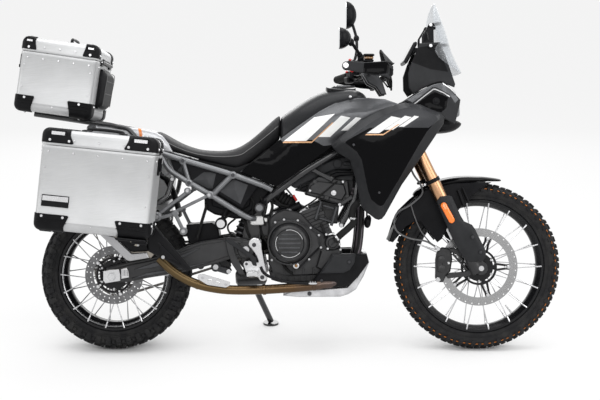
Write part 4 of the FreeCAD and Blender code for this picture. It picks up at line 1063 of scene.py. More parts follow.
def spoked_wheel(tyre, hub_flange, hub_half):
    """Rim with a drop centre and spoke ridge, hub with two flanges, crossed spokes and nipples."""
    name, axle, bead, rim_half = tyre.body, tyre.axle, tyre.bead, tyre.rim_half
    well = bead - (18 if rim_half > 40 else 11)
    rim = Piece(name + "_rim", name, "rim_black", slot="rim_black", replaces=(name + "_rim",))
    rim.lathe([(-rim_half, bead - 4), (-rim_half * 0.78, bead - 9), (-rim_half * 0.5, well - 5),
               (-rim_half * 0.3, well - 9), (0, well - 10), (rim_half * 0.3, well - 9),
               (rim_half * 0.5, well - 5), (rim_half * 0.78, bead - 9), (rim_half, bead - 4),
               (rim_half + 0.4, bead + 5), (rim_half - 2, bead + 8), (rim_half - 5, bead + 7),
               (rim_half - 5, bead), (rim_half * 0.62, bead), (rim_half * 0.4, well), (-rim_half * 0.4, well),
               (-rim_half * 0.62, bead), (-rim_half + 5, bead), (-rim_half + 5, bead + 7),
               (-rim_half + 2, bead + 8), (-rim_half - 0.4, bead + 5)], (0, 0, 0), steps=144, closed=True)
    rim.shift(axle)
    rim.close(smooth=32)
    hub = Piece(name + "_hub", name, "engine_black", slot="rim_black")
    h, f = hub_half, hub_flange
    hub.lathe([(-h, 14), (-h, f * 0.72), (-h + 2, f * 0.9), (-h + 1, f - 1), (-h + 3, f), (-h + 7, f),
               (-h + 8.5, f * 0.86), (-h + 15, f * 0.66), (-h * 0.35, f * 0.58), (h * 0.35, f * 0.58),
               (h - 15, f * 0.66), (h - 8.5, f * 0.86), (h - 7, f), (h - 3, f), (h - 1, f - 1),
               (h - 2, f * 0.9), (h, f * 0.72), (h, 14)], (0, 0, 0), steps=48)
    hub.shift(axle)
    hub.close(smooth=30)
    for number, (side, sweep, turn) in enumerate(((-1, -0.44, 0), (1, 0.44, 0), (-1, 0.44, 2),
        (1, -0.44, 2))):
        angle = turn * 2 * math.pi / 36
        row = Piece("row", name)
        root = v(math.cos(angle + sweep) * (f - 4.5), side * (h - 5), math.sin(angle + sweep) * (f - 4.5))
        tip = v(math.cos(angle) * (bead - 3), side * (rim_half + 1.2), math.sin(angle) * (bead - 3))
        row.tube([root, tip], size("spoke_radius"), 8)
        along = (tip - root).normalized()
        row.tube([tip - along * 24, tip - along * 22, tip], [2.4, 3.4, 3.6], 8)
        round_the_axle("%s_spokes%d" % (name, number), name, row, 9, axle, "spoke_steel")


def holed_ring(piece, outer, y_low, y_high, count, rows, hole):
    """A flat ring with rows of round holes; each cell is eight faces round its hole."""
    for low, high in rows:
        for a0 in around(count):
            a1 = a0 + 2 * math.pi / count
            am, rm = (a0 + a1) / 2, (low + high) / 2
            rim_points = [(low, a0), (low, am), (low, a1), (rm, a1), (high, a1), (high, am), (high, a0),
                          (rm, a0)]
            centre = Vector((rm * math.cos(am), rm * math.sin(am)))
            outside = [Vector((r * math.cos(a), r * math.sin(a))) for r, a in rim_points]
            ring = [centre + (p - centre).normalized() * hole for p in outside]
            verts = {}
            for y in (y_low, y_high):
                verts[y] = ([piece.mesh.verts.new((p.x, y, p.y)) for p in outside],
                            [piece.mesh.verts.new((p.x, y, p.y)) for p in ring])
            for i in range(8):
                j = (i + 1) % 8
                for y in (y_low, y_high):
                    out, inn = verts[y]
                    piece.face((out[i], out[j], inn[j], inn[i]))
                piece.face((verts[y_low][1][i], verts[y_low][1][j], verts[y_high][1][j], verts[y_high][1][i]))
    for r in (rows[0][0], outer):
        steps = count * 2
        for k in range(steps):
            a0, a1 = 2 * math.pi * k / steps, 2 * math.pi * (k + 1) / steps
            corners = [v(r * math.cos(a), y, r * math.sin(a)) for a, y in
                       ((a0, y_low), (a1, y_low), (a1, y_high), (a0, y_high))]
            piece.face([piece.mesh.verts.new(c) for c in corners])


def brake_disc(name, body, axle, inner, outer, y_low, y_high, rows, count, replaced, steel):
    """A drilled ring on a carrier with five arms, its floating bobbins and the bolts in the hub."""
    bolt_circle = 57
    ring = Piece(name + "_face", body, steel, slot="disc_steel", replaces=replaced)
    holed_ring(ring, outer, y_low, y_high, count, rows, 3.0)
    if rows[0][0] > inner:
        ring.lathe([(y_low, inner), (y_low, rows[0][0]), (y_high, rows[0][0]), (y_high, inner)], (0, 0, 0),
                   steps=count * 2, closed=True)
    ring.shift(axle)
    ring.close(smooth=30, weld=0.02)
    arm = Piece("row", body)
    middle = (y_low + y_high) / 2
    root, tip = bolt_circle + 8, inner - 12
    for lean in (-1, 1):
        arm.tube([v(root, middle, lean * 15), v(root + 8, middle, lean * 12), v(tip, middle, lean * 6.5)],
                 [6.5, 5.0, 4.6], 8)
    arm.plate([(tip - 6, -11), (inner - 1, -12), (inner - 1, 12), (tip - 6, 11)], y_low - 1, y_high + 1, 1.5)
    arm.rod((bolt_circle + 6, y_low - 1.6, 0), (bolt_circle + 6, y_high + 1.6, 0), 9.0, 14)
    round_the_axle(name + "_carrier", body, arm, 5, axle, "rim_black")
    bobbin = Piece("row", body)
    for reach, radius in ((inner - 4, 7.5), (inner - 4, 4.5), (tip - 4, 4.5)):
        bobbin.rod((reach, y_low - 7 + radius * 0.6, 0), (reach, y_high + 7 - radius * 0.6, 0), radius, 16)
    round_the_axle(name + "_bobbins", body, bobbin, 5, axle, "machined_silver")
    collar = Piece(name + "_collar", body, "rim_black", slot="disc_steel")
    for low, high in ((bolt_circle - 24, bolt_circle + 2), (bolt_circle + 9, bolt_circle + 18)):
        collar.lathe([(y_low - 1, low), (y_low - 1, high), (y_high + 1, high), (y_high + 1, low)], (0, 0, 0),
                     steps=48, closed=True)
    collar.shift(axle)
    collar.close(smooth=30)
    heads(name + "_bolts", body, [
        (axle + v(bolt_circle * math.cos(a), y_low - 1, bolt_circle * math.sin(a)), (0, -1, 0), 5.0)
        for a in around(6, 0.5)])


def sprocket():
    """The rear sprocket: a plate with lightening holes and a ring of teeth."""
    plate = Piece("rear_sprocket_plate", "rear_wheel", "chain_steel", slot="chain_steel",
                  replaces=("rear_sprocket",))
    holed_ring(plate, 88, 86, 91, 12, [(46, 88)], 9.5)
    plate.shift(REAR_AXLE)
    plate.close(smooth=30, weld=0.02)
    tooth = Piece("row", "rear_wheel")
    tooth.loft([[v(r, y, z) for r, z in ((87, -4.6), (91, -3.4), (95, -1.1), (95, 1.1), (91, 3.4), (87, 4.6))]
                for y in (86.4, 90.6)])
    round_the_axle("rear_sprocket_teeth", "rear_wheel", tooth, 42, REAR_AXLE, "chain_steel")


def axle_ends():
    """Nuts and caps on the ends of both hollow axles."""
    for name, body, axle, half, size in (("front_axle_ends", "steering", FRONT_AXLE, 128, 0.6),
        ("rear_axle_ends", "chassis", REAR_AXLE, 152, 1)):
        piece = Piece(name, body, "machined_silver", slot="bare_aluminium")
        for side in (-1, 1):
            piece.lathe([(side * y, radius * size) for y, radius in ((half - 14, 13), (half - 14, 19),
                (half - 5, 19), (half - 4, 15.5), (half, 14.5), (half, 9), (half - 14, 9))], axle, steps=6
                if body == "chassis" else 24, closed=True)
        piece.close(smooth=25)


def spoked_wheels():
    """Both wheels, with the polished edge on the rear rim and the front valve."""
    spoked_wheel(REAR_TYRE, hub_flange=62, hub_half=50)
    spoked_wheel(FRONT_TYRE, hub_flange=40, hub_half=44)
    edge = Piece("rear_rim_edge", "rear_wheel", "machined_silver", slot="rim_black")
    for side in (-1, 1):
        edge.lathe([(side * 50, 212.5), (side * 53.5, 214.5), (side * 56, 218.5), (side * 54.2, 218.9),
                    (side * 51, 215)], REAR_AXLE, steps=96, closed=True)
    edge.close()
    valve = Piece("front_valve", "front_wheel", "zinc_bolt", slot="rim_black")
    foot, tip = v(146, 0, -196), v(122, 0, -166)
    valve.tube([FRONT_AXLE + foot, FRONT_AXLE + foot.lerp(tip, 0.4), FRONT_AXLE + tip], [5.0, 3.4, 3.0], 10)
    valve.close()


def brake_discs():
    """Front disc with one row of holes near its edge, rear disc with two."""
    brake_disc("front_disc", "front_wheel", FRONT_AXLE, inner=126, outer=160, y_low=-68, y_high=-63,
               rows=[(145, 160)], count=34, replaced=("front_brake_disc",), steel="disc_steel")
    brake_disc("rear_disc", "rear_wheel", REAR_AXLE, inner=86, outer=120, y_low=-82, y_high=-77,
               rows=[(90, 105), (105, 120)], count=30, replaced=("rear_brake_disc",), steel="disc_dark")


# ---------------------------------------------------------------- bodywork

def section(x, half):
    """A closed cross-section from half of it: (y, z) from the top of the middle down to the bottom."""
    right = [(-y, z) for y, z in half if y > 0.01]
    return [v(x, y, z) for y, z in half] + [v(x, y, z) for y, z in reversed(right)]


def between(table, x):
    """Straight-line reading of a short table of (x, value)."""
    if x <= table[0][0]:
        return table[0][1]
    for (x1, a), (x2, b) in zip(table, table[1:]):
        if x <= x2:
            return a + (b - a) * (x - x1) / (x2 - x1)
    return table[-1][1]


def ease(t):
    """A soft step from 0 to 1."""
    t = max(0.0, min(1.0, t))
    return t * t * (3 - 2 * t)


# where the tank cover's lower edge meets the side panel, (X, Z)
GROOVE = [(640, 838), (692, 882), (765, 935), (846, 990), (907, 1022), (956, 1038), (1040, 1042)]


def tank():
    """The painted cover, the filler ledge and the cap with its screws."""
    cover = Piece("tank_cover", "chassis", "graphite_paint", slot="tank_graphite", replaces=("fuel_tank",))
    rings = []
    for x, crown, half, low in ((682, 962, 106, 872), (694, 974, 116, 884), (730, 999, 130, 906),
                                (766, 1025, 139, 932), (808, 1051, 145, 961), (850, 1071, 149, 989),
                                (890, 1081, 152, 1010), (930, 1084, 154, 1027), (970, 1085, 155, 1038),
                                (1010, 1078, 148, 1036), (1034, 1062, 132, 1026), (1042, 1048, 118, 1020)):
        rise = crown - low
        rings.append(section(x, [(0, crown), (half * 0.34, crown - rise * 0.04),
                                 (half * 0.62, crown - rise * 0.16), (half * 0.80, crown - rise * 0.36),
                                 (half * 0.93, crown - rise * 0.66), (half, low), (half - 3, low - 9),
                                 (half * 0.6, low - 20), (0, low - 20)]))
    cover.loft(rings)
    cover.close(subdivide=2, smooth=60)
    ledge = Piece("fuel_filler", "chassis", "smooth_black", slot="tank_graphite")
    outline = [(876, -70), (892, -92), (940, -98), (978, -84), (998, -50), (1000, 50), (978, 84), (940, 98),
               (892, 92), (876, 70)]
    spots = rounded(outline, 22, 3)
    ledge.loft([[v(x, y * s, 1068 + lift + (x - 950) * -0.05 - (y / 98) ** 2 * 10) for x, y in spots]
                for s, lift in ((1.0, 6), (1.0, 17), (0.97, 20), (0.86, 22.5), (0.4, 24))])
    ledge.close(smooth=40)
    cap = Piece("fuel_cap", "chassis", "engine_grey", slot="tank_graphite")
    cap.lathe([(0, 50), (4, 50), (6, 48.5), (6.5, 44), (4.5, 42), (5, 26), (8, 24), (9, 0.5)], (948, 0, 1090),
              v(-0.05, 0, 1), steps=48)
    cap.box((948, 0, 1098), (56, 15, 6), bevel=2)
    cap.close(smooth=30)
    heads("fuel_cap_screws", "chassis", [
        ((948 + 38 * math.cos(a), 38 * math.sin(a), 1095.5), (-0.05, 0, 1), 3.4)
        for a in around(5, 0.5)], "black_bolt")


SIDE_OUTLINE = [(522, 741), (590, 713), (667, 681), (704, 702), (760, 742), (836, 800), (896, 843),
                (960, 846), (1000, 880), (1060, 944), (1126, 998), (1166, 1016), (1110, 1036), (1040, 1042),
                (956, 1038), (907, 1022), (846, 988), (765, 933), (692, 880), (640, 836), (604, 806),
                (560, 773)]
BANDS = [  # paint, outline on the side panel
    ("stripe_white", [(700, 866), (790, 866), (906, 976), (822, 962)]),
    ("stripe_white", [(838, 882), (886, 882), (968, 960), (930, 968)]),
    ("stripe_white", [(930, 908), (957, 908), (1012, 958), (990, 962)]),
    ("stripe_tan", [(694, 858), (806, 858), (812, 864), (700, 864)]),
    ("stripe_tan", [(806, 858), (812, 858), (900, 940), (894, 940)]),
]


def side_panels():
    """The painted panel under the tank cover: silver above, gloss black below, slanted bands."""
    black = [(500, 700), (668, 680), (900, 835), (975, 842), (960, 862), (905, 852), (860, 846), (838, 858),
             (812, 871), (700, 860), (684, 872), (600, 806), (540, 760)]
    paints = ("panel_silver", "gloss_black", "stripe_white", "stripe_tan")
    regions = [(black, 1)] + [(outline, paints.index(paint)) for paint, outline in BANDS]

    def height(x, z):
        top = between(GROOVE, x)
        drop = ease((top - z) / 64)
        low = between([(522, 741), (668, 694), (896, 843), (1000, 880), (1166, 1016)], x)
        tuck = ease(1 - (z - low) / 60)
        nose = ease((x - 1040) / 130)
        back = ease((640 - x) / 120)
        return 151 + 33 * drop - 20 * tuck * drop - 8 * back + 8 * nose
    for name, side in SIDES:
        panel("side_panel_paint_" + name, "chassis", SIDE_OUTLINE, height, paints, regions, 3.0, 5.0, side,
              20, "panel_silver", ("side_panel_" + name,), creases=[((684, 872), (885, 846)),
                  ((640, 742), (860, 846))])
        heads("side_panel_screws_" + name, "chassis",
              [((969, side * 158, 1044), (0.1, side * 0.6, 0.8), 6.5)])


SHROUD = [(1334, 974), (1346, 960), (1342, 934), (1312, 890), (1258, 809), (1174, 689), (1106, 566),
          (1094, 552), (1080, 548), (1066, 553), (1020, 590), (1007, 612), (989, 709), (965, 789), (925, 813),
          (899, 835), (889, 850), (925, 882), (1005, 946), (1085, 990), (1146, 1012), (1186, 1020),
          (1250, 1012)]
SHROUD_FACE = [(1306, 966), (1312, 952), (1269, 902), (1241, 857), (1161, 718), (1097, 612), (1086, 606),
               (1074, 610), (1048, 632), (1034, 670), (1010, 790), (990, 823), (944, 858), (958, 876),
               (1016, 918), (1085, 962), (1150, 988), (1196, 1000), (1240, 996)]


def shrouds():
    """Wing-shaped side covers: a grained border, a gloss black face and a painted top with bands."""
    painted_top = [(930, 862), (951, 867), (1042, 918), (1276, 918), (1320, 950), (1330, 980), (1200, 1020),
                   (1140, 1010), (1000, 950), (920, 880)]
    bands = [([(1030, 896), (1078, 896), (1166, 956), (1128, 964)], 3),
             ([(1100, 910), (1134, 910), (1208, 960), (1182, 966)], 3),
             ([(1156, 922), (1178, 922), (1238, 962), (1220, 966)], 3),
             ([(1023, 888), (1090, 888), (1095, 893), (1028, 893)], 4),
             ([(1088, 888), (1095, 888), (1160, 932), (1153, 932)], 4)]

    def height(x, z):
        inner = edge_distance((x, z), SHROUD_FACE)
        if inside((x, z), SHROUD_FACE):
            return 243 + 8 * ease(inner / 110)
        outer = edge_distance((x, z), SHROUD)
        return 196 + 47 * outer / max(outer + inner, 0.1)
    for name, side in SIDES:
        panel("shroud_cover_" + name, "chassis", SHROUD, height,
              ("grained_grey", "gloss_black", "panel_grey", "stripe_white", "stripe_tan"),
              [(SHROUD_FACE, 1), (painted_top, 2)] + bands, 4.0, 4.0, side, 22, "shroud_black",
              ("shroud_" + name,), smooth=24)
        heads("shroud_screws_" + name, "chassis", [
            ((x, side * 247.5, z), (0, side, 0), 5.5) for x, z in ((977, 850), (1079, 660))], "black_bolt")
        inner = Piece("shroud_inner_" + name, "chassis", "smooth_black", slot="shroud_black")
        rings = []
        for share, y in ((0.985, 193), (0.95, 180), (0.80, 158), (0.74, 150)):
            rings.append([v(1100 + (x - 1100) * share, side * y, 800 + (z - 800) * share) for x, z in SHROUD])
        inner.loft(rings)
        inner.close(smooth=40)


def seat():
    """Padded seat: a dished rider's part that climbs onto the tank, and a flat passenger's part."""
    cushion = Piece("seat_cover", "chassis", "seat_vinyl", slot="seat_vinyl", replaces=("seat",))
    rings = []
    for x, low, wide, shoulder, half, crown in (
            (172, 846, 112, 878, 118, 903), (180, 840, 120, 880, 126, 910), (221, 830, 126, 862, 135, 887),
            (263, 818, 130, 840, 140, 862), (305, 806, 134, 822, 144, 845), (347, 793, 137, 812, 147, 832),
            (389, 782, 140, 806, 149, 828), (431, 772, 142, 802, 149, 826), (473, 762, 141, 800, 147, 828),
            (515, 752, 136, 806, 142, 841), (557, 775, 124, 830, 132, 868), (599, 806, 112, 862, 121, 903),
            (641, 838, 100, 896, 110, 943), (672, 864, 88, 926, 98, 970), (686, 884, 80, 940, 88, 978)):
        rings.append(section(x, [(0, crown), (half * 0.38, crown - 1),
                                 (half * 0.70, crown - (crown - shoulder) * 0.22),
                                 (half * 0.92, crown - (crown - shoulder) * 0.62), (half, shoulder - 4),
                                 ((half + wide) / 2 + 2, (shoulder + low) / 2), (wide, low),
                                 (wide * 0.7, low - 1), (0, low - 1)]))
    cushion.loft(rings)
    thing = cushion.close(subdivide=2, smooth=60)
    pan = Piece("seat_pan", "chassis", "smooth_black", slot="seat_vinyl")
    pan.loft([section(x, [(0, top), (half, top), (half + 2, top - 6), (half, low), (0, low)]) for x, top, low,
              half in ((350, 792, 766, 122), (431, 774, 746, 128), (500, 758, 728, 128), (560, 776, 716, 118),
                       (600, 808, 728, 106), (636, 838, 776, 92))])
    pan.close()
    seam = Piece("seat_seams", "chassis", "thread", slot="seat_vinyl")
    for side in (-1, 1):
        line = []
        for x, half, shoulder in ((190, 128, 882), (263, 141, 843), (347, 148, 815), (431, 150.5, 805),
                                  (515, 143, 810), (557, 133, 834), (599, 122, 866), (641, 111, 900),
                                  (676, 98, 930)):
            line.append((x, side * (half - 1.5), shoulder - 2))
        seam.bent(line, 1.6, 6, per_run=5)
    seam.close()


def tail():
    """The tail cover over the rear frame and its two side wings."""
    cover = Piece("tail_panel", "chassis", "tail_silver", "smooth_black", slot="panel_silver",
                  replaces=("tail_cover",))
    rings = []
    for x, crown, half, low in ((-120, 930, 66, 904), (-112, 938, 76, 898), (-70, 937, 92, 886),
                                (-20, 932, 106, 878), (40, 927, 116, 868), (100, 921, 124, 858),
                                (150, 912, 129, 850), (174, 908, 130, 846)):
        rings.append(section(x, [(0, crown), (half * 0.5, crown - 1), (half * 0.82, crown - 5),
                                 (half * 0.97, crown - 14), (half, (crown + low) / 2 - 4),
                                 (half * 0.97, low + 2), (half * 0.85, low), (0, low)]))
    cover.loft(rings)
    for f in cover.mesh.faces:
        c = f.calc_center_median()
        if c.z < 893 - c.x * 0.05:
            f.material_index = 1
    cover.close(subdivide=2, smooth=60)
    wing = [(-72, 934), (-20, 931), (96, 921), (133, 914), (174, 905), (205, 888), (230, 857), (249, 819),
            (200, 822), (150, 846), (60, 866), (-66, 888)]
    band = [(106, 919), (119, 916), (129, 872), (116, 872)]

    def height(x, z):
        return 120 + 26 * ease((x + 60) / 180) - 6 * ease(1 - edge_distance((x, z), wing) / 12)
    for name, side in SIDES:
        panel("tail_wing_" + name, "chassis", wing, height, ("tail_silver", "stripe_orange"), [(band, 1)],
              4.0, 4.0, side, 14, "panel_silver")


# ---------------------------------------------------------------- nose

def nose():
    """Cowl sides with sunk windows and round knobs, a silver trim strip round each window and a painted
    highlight strip along the top edge, the deck and the headlamp.
    """
    outline = [(1187, 1029), (1212, 1041), (1273, 1081), (1309, 1098), (1342, 1104), (1372, 1086),
               (1398, 1062), (1424, 1036), (1420, 1012), (1404, 950), (1396, 936), (1340, 962), (1290, 978),
               (1225, 1008)]
    window = [(1235, 1013), (1309, 1067), (1369, 1043), (1360, 1000), (1338, 982), (1290, 992)]
    band = [(1196, 1036), (1273, 1081), (1309, 1098), (1342, 1104), (1372, 1086), (1398, 1062), (1414, 1036),
            (1400, 1022), (1375, 1056), (1318, 1086), (1304, 1086), (1222, 1022)]

    def height(x, z):
        nose_in = ease((x - 1330) / 100)
        dish = 6 * ease(edge_distance((x, z), window) / 6) if inside((x, z), window) else 0
        rise = ease((1104 - z) / 60)
        return 136 + 16 * rise - 46 * nose_in - dish
    for name, side in SIDES:
        panel("nose_side_" + name, "chassis", outline, height, ("grained_grey", "gloss_black",
            "panel_silver"), [(window, 1), (band, 2)], 4.0, 5.0, side, 16, "shroud_black", ("nose_cowl",)
            if side < 0 else ())
        # A silver trim strip round the window, and along the cowl's top edge a silver strip that is a painted
        # highlight.
        strip = Piece("nose_strip_" + name, "chassis", "machined_silver", slot="panel_silver")
        for line, wide in (([(1226, 1015), (1268, 1048), (1307, 1077), (1316, 1077), (1348, 1063),
                             (1376, 1047)], 4.5), ([(1346, 1102), (1376, 1085), (1404, 1060)], 5.5)):
            strip.loft([[v(x, side * (height(x, z) + dy), z + dz) for dy,
                         dz in ((-4, -wide), (3.0, -wide * 0.7), (3.4, wide * 0.4), (-4, wide))] for x,
                         z in line])
        strip.close(smooth=50)
        knob = Piece("nose_knob_" + name, "chassis", "smooth_black", slot="shroud_black")
        knob.lathe([(0, 15), (6, 15.5), (8, 14), (8, 8.5), (11, 7.5), (11.5, 1)], (1318, side * 140, 1028),
                   v(0, side, 0), 28)
        knob.close()
    deck = Piece("nose_deck", "chassis", "grained_black", slot="shroud_black")
    rings = []
    for x, z, half in ((1262, 1056, 118), (1300, 1092, 124), (1340, 1106, 122), (1372, 1092, 112),
                       (1400, 1070, 96), (1420, 1046, 80)):
        rings.append(section(x, [(0, z + 6), (half * 0.5, z + 5), (half * 0.85, z + 1), (half, z - 6),
                                 (half - 6, z - 12), (0, z - 10)]))
    deck.loft(rings)
    deck.close(subdivide=1, smooth=50)
    lamp = Piece("headlamp_lens", "chassis", "lamp_glass", slot="lamp_clear", replaces=("headlamp",))
    rings = []
    for x, low, high, half in ((1300, 968, 1040, 88), (1370, 964, 1070, 90), (1408, 962, 1058, 86),
                               (1424, 966, 1040, 76), (1430, 974, 1024, 62)):
        rings.append([v(x, y, z) for y, z in rounded([(-half, low), (half, low), (half * 0.8, high),
            (-half * 0.8, high)], 18, 3)])
    lamp.loft(rings)
    lamp.close(subdivide=1, smooth=60)
    bezel = Piece("headlamp_bezel", "chassis", "smooth_black", slot="lamp_clear")
    for side in (-1, 1):
        for z in (1000, 1030):
            bezel.lathe([(0, 13), (4, 15), (7, 15), (7, 12.5), (3, 11), (2, 1)], (1421, side * 34, z), "X",
                        24)
    bezel.close(smooth=40)


def beak():
    """The short peak under the headlamp."""
    piece = Piece("beak_cover", "chassis", "grained_black", slot="shroud_black", replaces=("beak",))
    rings = []
    for x, crown, half, low in ((1322, 958, 128, 900), (1345, 964, 124, 899), (1380, 962, 104, 902),
                                (1410, 957, 78, 910), (1430, 951, 50, 924), (1441, 944, 26, 934)):
        mid = (crown + low) / 2
        rings.append(section(x, [(0, crown), (half * 0.45, crown - 2), (half * 0.85, crown - 10),
                                 (half, mid + 6), (half * 0.96, low + 8), (half * 0.7, low), (0, low - 2)]))
    piece.loft(rings)
    piece.close(subdivide=2, smooth=60)


def windscreen():
    """A clear bent sheet on two printed-edge brackets."""
    rows = [(1147, 1436, 1411, 136), (1175, 1424, 1372, 145), (1204, 1411, 1326, 152),
            (1236, 1398, 1306, 157), (1252, 1391, 1318, 157), (1269, 1386, 1333, 155),
            (1300, 1377, 1324, 145), (1335, 1367, 1314, 132), (1366, 1356, 1308, 120), (1396, 1346, 1311, 98),
            (1424, 1336, 1318, 66), (1438, 1331, 1323, 38), (1442, 1328, 1325, 16)]
    sheet = Piece("windscreen_sheet", "chassis", "clear_screen", slot="screen_clear",
                  replaces=("windscreen",))
    rings = []
    for z, front, side_x, half in rows:
        ring = []
        for k in range(-8, 9):
            t = k / 8
            ring.append(v(side_x + (front - side_x) * (1 - abs(t) ** 2.2), half * math.sin(t * math.pi / 2),
                          z))
        rings.append(ring)
    sheet.loft(rings, closed=False)
    sheet.close(solid=3.0, subdivide=1, smooth=60)
    for name, side in SIDES:
        bracket = Piece("screen_bracket_" + name, "chassis", "smooth_black", slot="shroud_black")
        outline = rounded([(1268, 1266), (1268, 1300), (1290, 1336), (1298, 1354), (1312, 1352), (1316, 1330),
                           (1318, 1266)], 5, 3)
        hole = [(1277, 1276), (1277, 1300), (1288, 1318), (1294, 1300), (1294, 1276)]
        frame_plate(bracket, outline, hole, side * 72, side * 80)
        bracket.rod((1303, side * 76, 1344), (1303, side * 92, 1344), 8)
        bracket.rod((1306, side * 84, 1345), (1346, side * 84, 1352), 7)
        bracket.rod((1340, side * 84, 1262), (1376, side * 84, 1262), 6)
        bracket.rod((1299, side * 96, 1256), (1299, side * 122, 1256), 9)
        bracket.close(smooth=30)
        heads("screen_bolts_" + name, "chassis", [((1303, side * 92.5, 1344), (0, side, 0), 7.5),
                                                  ((1299, side * 122.5, 1256), (0, side, 0), 7.5)])


def frame_plate(piece, outline, hole, y1, y2):
    """A flat plate with one opening: each corner of the plate looks to the middle for the opening's edge."""
    outer = [Vector(p) for p in outline]
    inner = []
    centre = sum((Vector(p) for p in hole), Vector((0, 0))) / len(hole)
    for p in outer:
        ray = p - centre
        best = 0.5
        for a, b in pairs(hole):
            a, b = Vector(a) - centre, Vector(b) - centre
            d = b - a
            cross = ray.x * d.y - ray.y * d.x
            if abs(cross) > 1e-9:
                t = (a.x * d.y - a.y * d.x) / cross
                s = (a.x * ray.y - a.y * ray.x) / cross
                if t > 0 and -1e-6 <= s <= 1 + 1e-6:
                    best = t
        inner.append(centre + ray * min(best, 0.92))
    rings = [[v(p.x, y, p.y) for p in ring] for ring, y in ((outer, y1), (outer, y2), (inner, y2),
        (inner, y1), (outer, y1))]
    piece.loft(rings, False, False)


def cockpit():
    """Walls round the dash, the dash itself on its arm, and the inner fairing."""
    outline = [(1228, 1057), (1210, 1084), (1208, 1141), (1224, 1190), (1249, 1247), (1257, 1268),
               (1339, 1272), (1363, 1219), (1386, 1150), (1402, 1100), (1398, 1086), (1340, 1108),
               (1309, 1100), (1273, 1084)]

    def height(x, z):
        return 104 + 12 * ease((1200 - z) / 120) + 6 * ease((x - 1230) / 60) - 12 * ease((x - 1330) / 80)
    for name, side in SIDES:
        panel("cockpit_side_" + name, "chassis", outline, height, ("grained_grey", "grained_black"),
              [([(1224, 1190), (1250, 1250), (1330, 1262), (1372, 1150), (1300, 1160)], 1)], 5.0, 5.0, side,
              18, "grey_plastic", ("cockpit",) if side < 0 else (), creases=[((1224, 1190), (1386, 1150))])
    middle = Piece("cockpit_inner", "chassis", "smooth_black", slot="grey_plastic")
    rings = []
    for x, z, half in ((1352, 1262, 92), (1368, 1220, 98), (1388, 1150, 100), (1396, 1104, 102)):
        rings.append([v(x - (y / half) ** 2 * 22, y, z) for y in (-half, -half * 0.5, 0, half * 0.5, half)]
                     + [v(x - 6 - (y / half) ** 2 * 22, y, z) for y in (half, half * 0.5, 0, -half * 0.5,
                         -half)])
    middle.loft(rings)
    middle.box((1318, 0, 1104), (150, 196, 8), about_y(-4))
    middle.rod((1262, -104, 1236), (1262, 104, 1236), 8)
    middle.close(smooth=40)
    dash = Piece("dash_unit", "chassis", "smooth_black", "screen_dark", slot="dash_gloss", replaces=("dash",))
    tilt = about_y(-62)
    dash.box((1222, 0, 1232), (98, 172, 16), tilt, 5)
    dash.paint = 1
    dash.box(v(1222, 0, 1232) + tilt @ v(0, 0, 8.5), (84, 158, 2), tilt, 1)
    dash.paint = 0
    dash.rod((1232, 0, 1196), (1250, 0, 1106), 11)
    dash.box((1236, 0, 1188), (26, 60, 12), tilt, 3)
    dash.close()


# ---------------------------------------------------------------- luggage

class Case:
    """Places on one luggage box: u along it, w across, h up from its middle, in millimetres."""

    def __init__(self, name, size, low, centre, tilt, side):
        self.name, self.size, self.low, self.side = name, size, low, side
        self.centre = Vector(centre)
        self.turn = about_y(tilt)

    def at(self, u, w, h):
        """A place on the box, on the upright machine."""
        return self.centre + self.turn @ v(u, w, h)

    def seam(self):
        """Height of the gap between box and lid."""
        return -self.size[2] / 2 + self.low + 0.5

    def bar(self, piece, centre, size, bevel=2.0):
        """A block that lies square to the box."""
        piece.box(self.at(*centre), size, self.turn, bevel)


CASES = [  # name, size, height of the lower part, middle, tilt, side
    ("pannier_right", (436, 226, 385), 322, (-14, -352, 700), 5.8, -1),
    ("pannier_left", (436, 226, 385), 322, (-14, 352, 700), 5.8, 1),
    ("top_box", (308, 396, 297), 238, (-215.92, 0, 1121.11), 8.0, 0),
]


EDGE = 24.0  # radius of the rounded edges of a box
WALL = 2.6  # thickness of its sheet


def body_of(case, lid):
    """The moving body that a part of a box belongs to."""
    return {"pannier_right": "lid_right", "pannier_left": "lid_left",
            "top_box": "lid_top"}[case.name] if lid else "chassis"


def pressed_shell(case, lid):
    """Sheet walls with rounded edges, a pressed rim at the seam and a hollow inside."""
    length, width, total = case.size
    seam = case.seam()
    low, high = (seam + 1, total / 2) if lid else (-total / 2, seam - 1)
    name = case.name + ("_lid" if lid else "")
    piece = Piece(name + "_shell", body_of(case, lid), "box_aluminium", slot="box_aluminium",
                  replaces=(name,))

    def ring(inset, h, round_by=EDGE):
        a, b = length / 2 - inset, width / 2 - inset
        return [case.at(u, w, h) for u, w in rounded([(-a, -b), (a, -b), (a, b), (-a, b)], round_by, 4)]
    edge = [(EDGE * (1 - math.cos(t)), EDGE * (1 - math.sin(t)))
            for t in (math.pi / 2 * k / 5 for k in range(6))]
    if lid:
        levels = [(WALL, low + 14, 22), (WALL, low, 22), (0, low, EDGE), (-1.6, low + 3, EDGE),
                  (-1.6, low + 11, EDGE), (0, low + 15, EDGE)]
        levels += [(inset, high - drop, EDGE - inset * 0.6) for inset, drop in edge] + [(60, high, 8)]
    else:
        levels = [(60, low, 8)] + [(inset, low + drop, EDGE - inset * 0.6) for inset, drop in reversed(edge)]
        levels += [(0, low + 30, EDGE), (-1.4, low + 33, EDGE), (-1.4, low + 37, EDGE), (0, low + 40, EDGE),
                   (0, high - 15, EDGE), (-1.6, high - 11, EDGE), (-1.6, high - 3, EDGE), (0, high, EDGE),
                   (WALL, high, 22), (WALL, low + 30, 22), (30, low + 6, 10)]
    piece.loft([ring(*level) for level in levels], not lid)
    if lid:
        piece.loft([ring(WALL, low + 14, 22), ring(WALL, high - 26, 22), ring(12, high - 7, 16),
                    ring(60, high - 4, 10)])
    piece.close(smooth=32)


